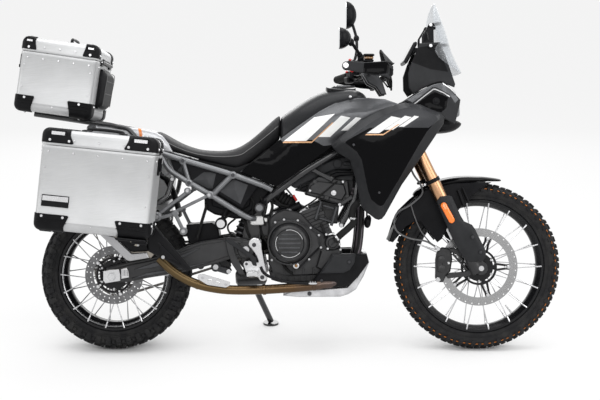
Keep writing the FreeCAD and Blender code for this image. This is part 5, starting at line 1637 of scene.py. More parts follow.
def corner_guard(piece, case, su, sw, sh, wide, deep, high):
    """A moulded guard round one corner: it follows the rounded edges and covers part of three faces."""
    length, width, total = case.size
    a, b, c = length / 2, width / 2, total / 2
    thick = size("guard_wall")

    def path(radius, h, wide_here, deep_here):
        points = [(a - wide_here, b - EDGE + radius), (a - EDGE, b - EDGE + radius)]
        points += [(a - EDGE + radius * math.sin(t), b - EDGE + radius * math.cos(t))
                   for t in (math.pi / 2 * k / 5 for k in range(1, 5))]
        points += [(a - EDGE + radius, b - EDGE), (a - EDGE + radius, b - deep_here)]
        return [case.at(su * u, sw * w, sh * h) for u, w in points]
    rings = []
    for h, turn, share in [(c - high, 0, 0.96), (c - high + 4, 0, 1.0), (c - EDGE, 0, 0.90)] + [
            (c - EDGE, math.pi / 2 * k / 5, 0.88) for k in range(1, 6)]:
        outer, inner = (EDGE + thick) * math.cos(turn), (EDGE + 0.3) * math.cos(turn)
        rings.append(path(outer, h + (EDGE + thick) * math.sin(turn), wide * share, deep * share)
                     + path(inner, h + (EDGE + 0.3) * math.sin(turn), wide * share, deep * share)[::-1])
    piece.loft(rings)
    top = [(a - EDGE, b - EDGE), (a - wide * 0.88, b - EDGE), (a - wide * 0.88, b - deep * 0.60),
           (a - wide * 0.6, b - deep * 0.88), (a - EDGE, b - deep * 0.88)]
    piece.loft([[case.at(su * u, sw * w, sh * h) for u, w in top] for h in (c + 0.3, c + thick)])


def guards(case):
    """Corner guards on the box and its lid: a lashing slot above, ribs below, two rivets each side."""
    length, width, total = case.size
    a, b, c = length / 2, width / 2, total / 2
    small = case.side == 0
    for lid in (False, True):
        body, tag = body_of(case, lid), "upper" if lid else "lower"
        guard = Piece("%s_%s_guards" % (case.name, tag), body, "grained_black", slot="black_plastic")
        slots = Piece("%s_%s_slots" % (case.name, tag), body, "machined_silver",
                      slot="box_aluminium") if lid else None
        rivets = []
        sh = 1 if lid else -1
        for su in (-1, 1):
            wide, deep, high = ((60, 60, 50) if lid
                                else ((78, 74, 62) if su < 0 else (95, 80, 62))) if small else ((122, 84, 53)
                                    if lid else (130, 84, 62))
            for sw in (-1, 1):
                corner_guard(guard, case, su, sw, sh, wide, deep, high)
                if lid:
                    slot = (24 if small else 52, 3.6, 8 if small else 14)
                    middle = su * (a - wide * 0.50)
                    case.bar(slots, (middle, sw * (b + 4.2), c - 15), slot, 0.8)
                    case.bar(guard, (middle, sw * (b + 6.0), c - 5), (slot[0] + 12, 5, 5), 1.2)
                    for end in (-1, 1):
                        case.bar(guard, (middle + end * (slot[0] / 2 + 4), sw * (b + 6.0), c - 13),
                                 (5, 5, 17), 1.2)
                    rows = ((0.26, high - 11), (0.86, high - 11)) if not small else ((0.5, high - 9),)
                else:
                    for drop in (3, 17, 30):
                        case.bar(guard, (su * (a - wide * 0.52), sw * (b + 4.6), -c + high - drop),
                                 (wide * 0.86, 4.4, 3.4), 1)
                    rows = ((0.22, high - 9), (0.84, high - 9)) if not small else ((0.5, high - 9),)
                for share, drop in rows:
                    rivets.append((case.at(su * (a - wide * share), sw * (b + 4.4), sh * (c - drop)),
                                   case.turn @ v(0, sw, 0), size("rivet_radius")))
                rivets.append((case.at(su * (a + 4.4), sw * (b - deep * 0.55), sh * (c - high + 12)),
                               case.turn @ v(su, 0, 0), 5.0))
                rivets.append((case.at(su * (a - wide * 0.5), sw * (b - deep * 0.5), sh * (c + 4.4)),
                               case.turn @ v(0, 0, sh), 5.0))
        guard.close(smooth=30)
        if lid:
            slots.close(smooth=30)
        heads("%s_%s_rivets" % (case.name, tag), body, rivets, "machined_silver")


def seam_rivets(case):
    """Rivet rows round the seam and down the corner folds."""
    length, width, total = case.size
    seam = case.seam()
    upper, lower = [], []
    lid_body = body_of(case, True)
    count = 5
    for sw in (-1, 1):
        for k in range(count):
            u = (k / (count - 1) - 0.5) * (length - 60)
            lower.append((case.at(u, sw * (width / 2 + 0.4), seam - 24), case.turn @ v(0, sw, 0), 4.2))
            if 0 < k < count - 1:
                upper.append((case.at(u, sw * (width / 2 + 0.4), seam + 24), case.turn @ v(0, sw, 0), 4.2))
        for h in (-0.18, 0.12):
            for su in (-1, 1):
                lower.append((case.at(su * (length / 2 - 20), sw * (width / 2 + 0.4), total * h),
                              case.turn @ v(0, sw, 0), 3.6))
        lower.append((case.at(0, sw * (width / 2 + 0.4), -total / 2 + 26), case.turn @ v(0, sw, 0), 4.2))
    for su in (-1, 1):
        for k in (-1, 0, 1):
            lower.append((case.at(su * (length / 2 + 0.4), k * width * 0.36, seam - 24),
                          case.turn @ v(su, 0, 0), 4.2))
    heads(case.name + "_seam_rivets", "chassis", lower, "machined_silver")
    heads(case.name + "_lid_rivets", lid_body, upper, "machined_silver")


def hinge(case, out):
    """Long barrel hinge: knuckles in turn on box and lid, with leaves and a pin."""
    length, width, _ = case.size
    seam = case.seam()
    front = case.side == 0
    root = (length / 2 + out, 0) if front else (0, -case.side * (width / 2 + out))
    along = v(0, 1, 0) if front else v(1, 0, 0)
    lid_body = body_of(case, True)
    for body, runs in (("chassis", ((-120, -80), (80, 120))), (lid_body, ((-78, 78),))):
        piece = Piece(case.name + ("_hinge_lower" if body == "chassis" else "_hinge_upper"), body,
                      "satin_black", slot="black_plastic")
        rise = -1 if body == "chassis" else 1
        for start, end in runs:
            base = v(root[0], root[1], seam)
            piece.rod(case.at(*(base + along * start)), case.at(*(base + along * end)), 7.6, 16, 1)
            middle = base + along * ((start + end) / 2) + v(0, 0, rise * 8)
            if front:
                middle.x -= out / 2
                size = (out + 0.8, end - start, 15)
            else:
                middle.y += case.side * out / 2
                size = (end - start, out + 0.8, 15)
            piece.box(case.at(*middle), size, case.turn, 1.5)
        piece.close(smooth=30)
    pins = [(case.at(*(v(root[0], root[1], seam) + along * (s * 121))), case.turn @ (along * s), 4.4)
            for s in (-1, 1)]
    heads(case.name + "_hinge_pins", "chassis", pins, "machined_silver")


def latch(case, u, w, aim_u, aim_w, tall=92):
    """A fold-down catch: a base on the box, a lever over the seam and a keeper on the lid."""
    seam = case.seam()
    across = abs(aim_u) > 0
    lid_body = body_of(case, True)
    tag = "%s_latch_%d" % (case.name, int(u + w + 900))

    def size(out, wide, high):
        return (out, wide, high) if across else (wide, out, high)

    def place(out, h):
        return (u + aim_u * out, w + aim_w * out, h)
    base = Piece(tag + "_base", "chassis", "smooth_black", "machined_silver", slot="black_plastic")
    case.bar(base, place(3.5, seam - tall * 0.52), size(7, 40, tall * 0.78), 2.5)
    case.bar(base, place(10, seam - tall * 0.42), size(9, 30, tall * 0.62), 3.5)
    case.bar(base, place(15, seam - tall * 0.80), size(5, 22, 14), 2)
    base.paint = 1
    case.bar(base, place(14.8, seam - tall * 0.28), size(2.4, 14, 18), 1)
    base.close(smooth=30)
    keeper = Piece(tag + "_keeper", lid_body, "smooth_black", slot="black_plastic")
    case.bar(keeper, place(3.5, seam + 16), size(7, 40, 26), 2.5)
    case.bar(keeper, place(9, seam + 14), size(6, 24, 9), 2)
    keeper.close(smooth=30)


def handle(case, points, body):
    """A carrying handle on two feet."""
    piece = Piece(case.name + "_handle", body, "satin_black", slot="black_plastic")
    line = smooth_line([case.at(*p) for p in points], 6)
    piece.tube(line, 6.5, 12)
    for p in (points[0], points[-1]):
        case.bar(piece, p, (34, 30, 6), 2.5)
    piece.close()


def blank_plate(case, u, h, w):
    """A small plate of brushed silver on a black backing, left blank."""
    piece = Piece(case.name + "_badge_plate", "chassis", "satin_black", "machined_silver",
                  slot="black_plastic")
    side = -1 if w < 0 else 1
    case.bar(piece, (u, w + side * 1.2, h), (104, 3.4, 44), 1.4)
    piece.paint = 1
    case.bar(piece, (u, w + side * 3.4, h + 9), (98, 1.6, 20), 0.7)
    piece.close(smooth=30)


def mount_brackets(case):
    """Hooks and pads between a side box and its tube rack."""
    piece = Piece(case.name + "_rack_pads", "chassis", "smooth_black", slot="black_plastic")
    length, width, total = case.size
    inner = -case.side * (width / 2)
    for u in (-130, 110):
        for h in (total * 0.22, -total * 0.22):
            case.bar(piece, (u, inner - case.side * 2.6, h), (54, 6, 30), 2)
    outer = case.side * (width / 2)
    case.bar(piece, (length / 2 - 62, outer * 0.80, -total / 2 - 6), (118, 62, 10), 3)
    case.bar(piece, (length / 2 - 30, outer * 0.86, -total / 2 - 14), (60, 40, 10), 3)
    case.bar(piece, (-length / 2 + 60, outer * 0.3, -total / 2 - 5), (90, 80, 8), 3)
    piece.close(smooth=30)


def backrest(case):
    """A padded rest on a moulded back, fixed to the box front."""
    shell = Piece("backrest_shell", "chassis", "smooth_black", slot="seat_vinyl")
    shell.loft([[case.at(u, w, h) for w, h in rounded([(-104, -100), (104, -100), (100, 64), (-100, 64)], 18,
        3)] for u in (154.3, 160, 166)])
    shell.close(smooth=30)
    pad = Piece("backrest_cushion", "chassis", "seat_vinyl", slot="seat_vinyl", replaces=("backrest_pad",))
    outline = rounded([(160, 60), (170, 60), (187, 44), (184, -84), (168, -97), (160, -97)], 9, 3)
    rings = []
    for w, s in ((-102, 0.84), (-97, 0.96), (-70, 1.0), (0, 1.01), (70, 1.0), (97, 0.96), (102, 0.84)):
        rings.append([case.at(168 + (u - 168) * s, w, -18 + (h + 18) * s) for u, h in outline])
    pad.loft(rings)
    pad.close(subdivide=1, smooth=60)
    seam = Piece("backrest_seams", "chassis", "thread", slot="seat_vinyl")
    for w in (-92, 92):
        seam.bent([case.at(172, w, 58), case.at(187, w, 44), case.at(185, w, -20), case.at(183.5, w, -84)],
                  1.4, 6)
    for h in (18, -34):
        seam.tube([case.at(186, w, h) for w in (-92, -40, 0, 40, 92)], 1.3, 6)
    seam.close()


def hard_case(name, sizes, low, centre, tilt, side):
    """One case with its lid, guards, hinge, latches and handle."""
    case = Case(name, sizes, low, centre, tilt, side)
    length, width, total = sizes
    pressed_shell(case, False)
    pressed_shell(case, True)
    guards(case)
    seam_rivets(case)
    hinge(case, 7.6)
    if side:
        latch(case, -length / 2, 0, -1, 0, 86)
        latch(case, length / 2, 0, 1, 0, 86)
        handle(case, [(-70, side * -20, total / 2 + 5), (-60, side * -20, total / 2 + 12),
                      (0, side * -20, total / 2 + 14), (60, side * -20, total / 2 + 12),
                      (70, side * -20, total / 2 + 5)], body_of(case, True))
        blank_plate(case, -144, -80, side * width / 2)
        mount_brackets(case)
    else:
        latch(case, -length / 2, -120, -1, 0, 74)
        latch(case, -length / 2, 120, -1, 0, 74)
        handle(case, [(18, -70, total / 2 + 4), (18, -60, total / 2 + 20), (18, 0, total / 2 + 24),
                      (18, 60, total / 2 + 20), (18, 70, total / 2 + 4)], "lid_top")
        backrest(case)


# ---------------------------------------------------------------- engine and pipes

def ring_bar(piece, centre, inner, outer, y_low, y_high, start, end, steps=18):
    """A curved bar: part of a flat ring facing sideways."""
    turns = [math.radians(start + (end - start) * k / steps) for k in range(steps + 1)]

    def at(radius, turn, y):
        return v(centre[0] + radius * math.cos(turn), y, centre[1] + radius * math.sin(turn))
    piece.loft([[at(inner, t, y_low), at(outer, t, y_low), at(outer, t, y_high), at(inner, t, y_high)]
                for t in turns])


def bar(piece, start, end, wide, y_low, y_high, bevel=1.0):
    """A straight flat bar between two points of the side view."""
    a, b = Vector(start), Vector(end)
    across = Vector((-(b - a).y, (b - a).x)).normalized() * wide / 2
    piece.plate([tuple(a - across), tuple(b - across), tuple(b + across), tuple(a + across)], y_low, y_high,
                bevel)


def crankcase():
    """The case halves, both round covers, their bolts and the sight glass; thin silver arcs on the clutch
    cover's rim are painted highlights.
    """
    case = Piece("crankcase", "chassis", "engine_black", slot="engine_black", replaces=("engine",))
    outline = [(634, 440), (640, 552), (664, 572), (700, 588), (770, 573), (820, 518), (880, 478), (930, 438),
               (945, 380), (930, 342), (870, 320), (720, 314), (655, 328), (636, 362)]
    case.plate(outline, -118, 80, 6)
    flange = [(646, 520), (671, 538), (704, 546), (755, 545), (809, 516), (841, 484), (850, 433), (801, 386),
              (762, 346), (726, 366), (664, 391), (639, 444)]
    case.plate(offset(flange, -6), -126, -112, 3)
    case.plate(flange, -150, -120, 9)
    case.plate([(676, 382), (700, 580), (770, 564), (820, 516), (880, 476), (922, 438), (934, 380),
                (898, 334), (720, 320)], 76, 126, 8)
    case.plate([(640, 470), (652, 556), (640, 566), (606, 548), (600, 480)], -96, 40, 6)
    case.plate([(850, 420), (930, 432), (940, 384), (926, 346), (872, 326), (830, 352)], -134, -110, 6)
    case.plate([(595, 386), (688, 374), (698, 430), (688, 486), (602, 476)], 108, 138, 8)
    for x in (700, 740, 780, 820, 860):
        case.plate([(x - 3, 322), (x + 3, 322), (x + 3, 346), (x - 3, 350)], -130, -112, 1)
    case.close()
    cover = Piece("clutch_cover", "chassis", "engine_black", "engine_grey", slot="engine_black")
    cover.lathe([(-146, 84), (-158, 83), (-170, 79), (-182, 74), (-190, 66), (-192, 60.5), (-188, 58.5),
                 (-184, 56.5), (-184.5, 40), (-185, 0.5)], (722, 0, 452), "Y", 64)
    cover.lathe([(-150, 90), (-164, 89), (-164, 84), (-150, 84)], (722, 0, 452), "Y", 64, True)
    cover.paint = 1
    for z in (-36, -18, 0, 18, 36):
        half = 0.9 * math.sqrt(52 ** 2 - z ** 2)
        bar(cover, (722 - half, 452 + z), (722 + half, 452 + z), 8, -188.5, -183, 1.6)
    cover.close(smooth=30)
    # Three short silver arcs on the rim of the clutch cover: painted highlights where its round edge catches
    # the lamps.
    arcs = Piece("clutch_cover_edges", "chassis", "machined_silver", slot="engine_black")
    for start, end in ((18, 104), (-126, -40), (150, 212)):
        ring_bar(arcs, (722, 452), 54.5, 56.6, -187, -184.6, start, end)
    arcs.close(smooth=30)
    generator = Piece("generator_cover", "chassis", "engine_black", slot="engine_black")
    generator.lathe([(118, 84), (160, 84), (170, 78), (174, 60), (177, 58), (177, 0.5)], (790, 0, 430), "Y",
                    56)
    ring_bar(generator, (790, 430), 62, 70, 172, 178, 20, 160)
    generator.close(smooth=30)
    heads("case_bolts", "chassis", [((x, y, z), (0, y, 0), 5.2) for x, z,
        y in ((664, 536, -151), (700, 547, -151), (756, 544, -151), (808, 514, -151), (842, 484, -151),
              (850, 434, -151), (802, 386, -151), (728, 366, -151), (664, 390, -151), (638, 444, -151),
              (930, 424, -135), (926, 352, -135), (646, 470, -119), (650, 380, -119), (706, 566, 127),
              (812, 514, 127), (914, 432, 127), (904, 340, 127), (700, 330, 127))], "zinc_bolt")
    sight = Piece("sight_glass", "chassis", "machined_silver", "brown_fluid", slot="engine_black")
    sight.lathe([(-144, 12), (-155, 12), (-156, 10), (-156, 7), (-152, 7)], (749, 0, 360), "Y", 28)
    sight.paint = 1
    sight.lathe([(-150, 6.6), (-154, 6.6), (-155, 4), (-155.5, 0.5)], (749, 0, 360), "Y", 24)
    sight.close(smooth=30)


def cylinder():
    """Upright fins, through-bolt columns and the head with its cover."""
    barrel = Piece("cylinder_barrel", "chassis", "engine_black", slot="engine_black")
    along = Vector((848 - 896, 618 - 497)).normalized()
    for k in range(9):
        base = Vector((845, 500)) - along * (28 - k * 14)
        across = Vector((along.y, -along.x))
        inset = 0 if k % 2 == 0 else 5
        a, b = base - across * (44 - inset), base + across * (46 - inset)
        barrel.plate([tuple(a), tuple(b), tuple(b + along * 14), tuple(a + along * 14)], -110 + inset,
                     110 - inset, 1.2)
    barrel.close(smooth=30)
    columns = Piece("cylinder_columns", "chassis", "engine_grey", slot="engine_black")
    for side in (-1, 1):
        for start, end, wide, inner, outer in (((828, 544), (852, 622), 11, 108, 124),
            ((893, 520), (917, 600), 12, 108, 124), ((842, 552), (896, 536), 10, 106, 118),
            ((858, 604), (906, 590), 9, 106, 118)):
            bar(columns, start, end, wide, *span(side, inner, outer), 3)
    columns.close()
    casting = Piece("intake_casting", "chassis", "engine_black", slot="engine_black")
    casting.plate([(651, 579), (687, 595), (727, 606), (754, 610), (799, 588), (817, 561), (817, 530),
                   (651, 530)], -58, 58, 4)
    casting.plate([(799, 600), (853, 622), (929, 606), (920, 525), (817, 525)], -62, 62, 4)
    casting.plate([(938, 714), (990, 714), (990, 655), (944, 655)], -60, 60, 4)
    casting.close()
    head = Piece("cylinder_head", "chassis", "engine_black", slot="engine_black")
    head.plate([(786, 646), (850, 628), (945, 600), (972, 640), (964, 704), (900, 716), (840, 726),
                (800, 694)], -122, 122, 7)
    head.plate([(800, 656), (870, 640), (936, 622), (955, 654), (945, 690), (838, 704), (806, 684)], -131,
               131, 5)
    head.plate([(860, 628), (884, 622), (892, 668), (868, 676)], -129, 129, 4)
    for x, z in ((806, 664), (826, 700), (940, 700), (958, 640)):
        head.lathe([(-133, 0.5), (-133, 8), (-120, 9)], (x, 0, z), "Y", 18)
    head.close()
    heads("head_bolts", "chassis", [((902, -132, 655), (0, -1, 0), 13), ((806, -133, 664), (0, -1, 0), 5),
        ((940, -133, 700), (0, -1, 0), 5), ((902, 132, 655), (0, 1, 0), 13)], "machined_silver")
    intake = Piece("throttle_bodies", "chassis", "cast_silver", "smooth_black", slot="engine_black")
    for y in (-46, 46):
        intake.lathe([(0, 24), (30, 24), (32, 28), (40, 28), (42, 22), (62, 22)], (800, y, 676),
                     v(-0.86, 0, 0.5), 24)
    intake.box((772, -64, 574), (52, 40, 24), about_y(-28), 4)
    intake.box((664, -96, 560), (30, 26, 34), about_y(14), 5)
    intake.box((720, -88, 574), (26, 26, 30), about_y(-20), 5)
    intake.lathe([(0, 12), (16, 12), (17, 9)], (768, -86, 566), v(0, -1, 0), 20)
    intake.paint = 1
    intake.lathe([(-26, 17), (26, 17), (28, 14)], (744, -78, 592), v(0.85, 0, 0.4), 20)
    intake.lathe([(-20, 13), (20, 13)], (706, -70, 594), v(0.9, 0, 0.1), 18)
    intake.box((690, -60, 580), (60, 50, 20), about_y(-8), 4)
    intake.close()
    pump = Piece("water_pump", "chassis", "engine_black", "engine_grey", slot="engine_black")
    pump.lathe([(-112, 32), (-138, 31), (-144, 27), (-146, 20), (-152, 17)], (898, 0, 452), "Y", 36)
    pump.paint = 1
    bar(pump, (888, 440), (914, 466), 12, -152, -142, 3)
    pump.close()
    heads("pump_bolts", "chassis", [((x, -140, z), (0, -1, 0), 5.4) for x,
        z in ((872, 486), (900, 490), (878, 428), (926, 446))], "machined_silver")


def breathing():
    """Ribbed intake boots, the electrics box under the seat and the sump."""
    boots = Piece("intake_boots", "chassis", "rubber", "engine_black", slot="black_plastic")
    for y in (-50, 50):
        start, end = v(650, y, 652), v(742, y, 598)
        along = (end - start).normalized()
        profile = [(-14, 20)]
        for k in range(7):
            profile += [(k * 14 - 4, 29), (k * 14 + 3, 29), (k * 14 + 7, 24)]
        boots.lathe(profile + [(104, 20)], start, along, 24)
    boots.paint = 1
    boots.box((690, 0, 606), (100, 120, 34), about_y(30), 6)
    boots.bent([(736, -70, 638), (716, -66, 662), (690, -60, 690), (684, -52, 716)], 3.6, 10)
    boots.close(smooth=40)
    box = Piece("electrics_box", "chassis", "smooth_black", slot="black_plastic")
    box.plate([(372, 652), (373, 588), (415, 564), (500, 546), (532, 548), (598, 606), (640, 652), (640, 690),
               (500, 730), (400, 740)], -96, 96, 8)
    box.plate([(400, 640), (404, 600), (500, 566), (560, 600), (566, 650), (480, 700)], -101, 101, 5)
    box.box((560, -92, 566), (56, 14, 24), about_y(-38), 3)
    box.close()
    sump = Piece("oil_sump", "chassis", "engine_black", slot="engine_black")
    sump.plate([(636, 336), (648, 296), (690, 284), (830, 284), (904, 300), (910, 336)], -104, 92, 8)
    for k in range(9):
        x = 668 + k * 24
        sump.plate([(x - 3, 292), (x + 3, 292), (x + 3, 326), (x - 3, 326)], -110, -100, 1)
    sump.lathe([(-60, 20), (-52, 34), (60, 34), (68, 20)], (560, -62, 304), v(1, 0, 0.07), 32)
    sump.close()
    loom = Piece("wiring", "chassis", "rubber", slot="hose_rubber")
    for line, radius in (([(602, -110, 640), (618, -112, 600), (612, -112, 560), (624, -110, 520)], 4.5),
                         ([(560, -112, 640), (576, -116, 610), (570, -116, 570), (584, -112, 536)], 4),
                         ([(640, -96, 640), (652, -96, 600), (644, -98, 560), (652, -98, 520)], 6),
                         ([(520, -104, 560), (540, -110, 530), (548, -110, 500), (560, -106, 470)], 5),
                         ([(500, -100, 548), (470, -96, 520), (476, -92, 490), (500, -92, 470)], 4),
                         ([(343, -104, 462), (352, -104, 500), (370, -104, 560), (384, -104, 606)], 6.5)):
        loom.bent(line, radius, 10, per_run=7)
    loom.close(smooth=60)


def cooling():
    """Radiator, hoses and horn, the airbox with its cover, and the cables beside the engine."""
    flank = Piece("airbox_side", "chassis", "facet_grey", slot="grey_plastic")
    for y_low, y_high in ((-78, -70), (70, 78)):
        flank.plate([(745, 662), (800, 708), (916, 797), (974, 780), (990, 740), (983, 703), (930, 706),
                     (880, 690), (800, 652)], y_low, y_high, 3)
    flank.close(smooth=30)
    core = Piece("radiator_core", "chassis", "smooth_black", slot="black_plastic", replaces=("radiator",))
    core.plate([(1062, 572), (1098, 568), (1126, 772), (1094, 778)], -134, 134, 3)
    for side in (-1, 1):
        core.plate([(1058, 568), (1104, 562), (1132, 776), (1090, 782)], *span(side, 132, 150), 6)
    core.lathe([(-6, 20), (8, 20), (10, 16)], (1106, 110, 786), "Z", 28)
    core.close()
    fins = Piece("radiator_fins", "chassis", "engine_grey", slot="black_plastic")
    for k in range(30):
        t = (k + 0.5) / 30
        x, z = 1062 + 31 * t, 574 + 200 * t
        fins.box((x + 2, 0, z), (8, 258, 2.2), bevel=0.8)
        fins.box((x + 38, 0, z - 4), (6, 258, 2.2), bevel=0.8)
    fins.close()
    hoses = Piece("coolant_hoses", "chassis", "rubber", slot="black_plastic")
    hoses.bent([(1066, -138, 612), (1040, -146, 616), (1006, -152, 616), (984, -156, 598), (976, -157, 566),
                (982, -157, 538), (960, -157, 512), (930, -155, 486), (906, -150, 462)], 14.0, 16, per_run=7)
    hoses.bent([(1040, 130, 760), (1000, 128, 740), (968, 100, 700), (950, 60, 690)], 13.0, 14)
    hoses.bent([(1014, -132, 700), (1014, -134, 574), (1004, -134, 450), (990, -130, 404), (978, -126, 380)],
               6.5, 10)
    hoses.close(smooth=60)
    clamps = Piece("hose_clamps", "chassis", "machined_silver", slot="black_plastic")
    for point, aim in (((1012, -151, 616.5), (1, 0.1, 0)), ((916, -152, 472), (0.8, 0, 0.62)),
                       ((978, -157, 552), (0.1, 0, 1))):
        direction = Vector(aim).normalized()
        clamps.lathe([(-4, 14.4), (-4, 15.6), (4, 15.6), (4, 14.4)], point, direction, 24, True)
        clamps.box(Vector(point) + v(0, -16, 0), (10, 6, 7), bevel=1.5)
    clamps.close()
    horn = Piece("horn", "chassis", "smooth_black", slot="black_plastic")
    horn.lathe([(0, 12), (6, 24), (14, 27), (20, 26), (26, 18), (27, 0.5)], (1030, -96, 538), v(1, 0, -0.15),
               32)
    horn.box((1040, -96, 572), (6, 16, 40), bevel=2)
    horn.close()
    cover = Piece("airbox_cover", "chassis", "grained_grey", "smooth_black", slot="grey_plastic",
                  replaces=("airbox",))
    for side in (-1, 1):
        low, high = span(side, 84, 110)
        cover.paint = 0
        cover.plate([(692, 704), (745, 672), (866, 730), (912, 750), (1000, 752), (1000, 806), (930, 800),
                     (899, 792)], low, high, 6)
        cover.paint = 1
        low, high = span(side, 80, 100)
        cover.plate([(760, 670), (868, 720), (915, 740), (1000, 742), (1000, 726), (930, 724), (880, 706),
                     (780, 658)], low, high, 4)
        cover.paint = 0
        cover.lathe([(side * 108, 19), (side * 114, 19), (side * 115.5, 17), (side * 114, 15.5),
                     (side * 114, 0.5)], (919, 0, 774), "Y", 30)
        cover.box((958, side * 111, 774), (30, 8, 16), bevel=3)
    cover.paint = 1
    cover.plate([(690, 708), (770, 748), (975, 745), (985, 835), (900, 842), (850, 852), (780, 846),
                 (700, 850), (672, 770)], -90, 90, 5)
    cover.close()
    cables = Piece("engine_cables", "chassis", "rubber", "switch_red", slot="hose_rubber")
    for line, radius in (([(751, -104, 572), (780, -120, 596), (812, -130, 616), (862, -138, 656),
                           (917, -128, 702)], 3.4),
                           ([(640, -100, 650), (664, -92, 624), (690, -88, 604), (716, -84, 598)], 5),
                           ([(626, -96, 560), (640, -104, 520), (636, -112, 470), (640, -112, 400)], 4),
                           ([(600, -92, 520), (612, -100, 480), (632, -110, 450), (650, -112, 420)], 5),
                           ([(660, -110, 410), (690, -124, 372), (716, -126, 338), (740, -120, 322)], 6),
                           ([(868, -126, 470), (862, -134, 500), (850, -128, 530)], 5)):
        cables.bent(line, radius, 10, per_run=7)
    cables.paint = 1
    cables.rod((738, -74, 644), (752, -74, 620), 5.0)
    cables.close(smooth=60)
    plug = Piece("white_connector", "chassis", "stripe_white", slot="grey_plastic")
    plug.box((590, -104, 541), (54, 26, 37), bevel=4)
    plug.box((622, -104, 543), (18, 18, 16), bevel=3)
    for x in (576, 590, 604):
        plug.box((x, -118, 541), (5, 3, 24), bevel=1)
    plug.close()


def belly_guard():
    """The formed plate under the engine with its side covers."""
    plate = Piece("skid_shell", "chassis", "cast_silver", slot="bare_aluminium", replaces=("skid_plate",))
    plate.plate([(697, 239), (762, 228), (930, 229), (965, 240), (995, 260), (1027, 316), (1049, 371),
                 (1038, 408), (1026, 404), (1026, 340), (1000, 305), (960, 276), (920, 266), (828, 258),
                 (820, 270), (802, 272), (778, 246)], -118, 118, 5)
    for side in (-1, 1):
        low, high = span(side, 112, 124)
        plate.plate([(700, 240), (762, 229), (930, 231), (992, 258), (1024, 316), (1046, 371), (1036, 404),
                     (1026, 372), (1003, 318), (958, 270), (828, 260), (802, 274)], low, high, 4)
    plate.close(smooth=30)
    wings = Piece("skid_side_covers", "chassis", "grained_black", "grained_grey", slot="black_plastic")
    for side in (-1, 1):
        low, high = span(side, 110, 160)
        wings.paint = 0
        wings.plate([(894, 407), (1036, 407), (1044, 374), (999, 312), (956, 276), (828, 262), (806, 279),
                     (839, 330), (886, 389)], low, high, 6)
        low, high = span(side, 150, 177)
        wings.paint = 1
        wings.plate([(896, 408), (990, 410), (986, 376), (966, 344), (940, 332), (846, 330), (860, 352),
                     (884, 388)], low, high, 8)
        for x in (826, 850, 874, 898):
            wings.box((x, side * 161, 286 + (x - 826) * 0.02), (12, 4, 6), bevel=1.4)
    wings.close()
    heads("skid_bolts", "chassis", facing([(963, 378, 178, 6.5), (852, 301, 161, 6.5), (804, 243, 125, 9)]),
          "black_bolt")


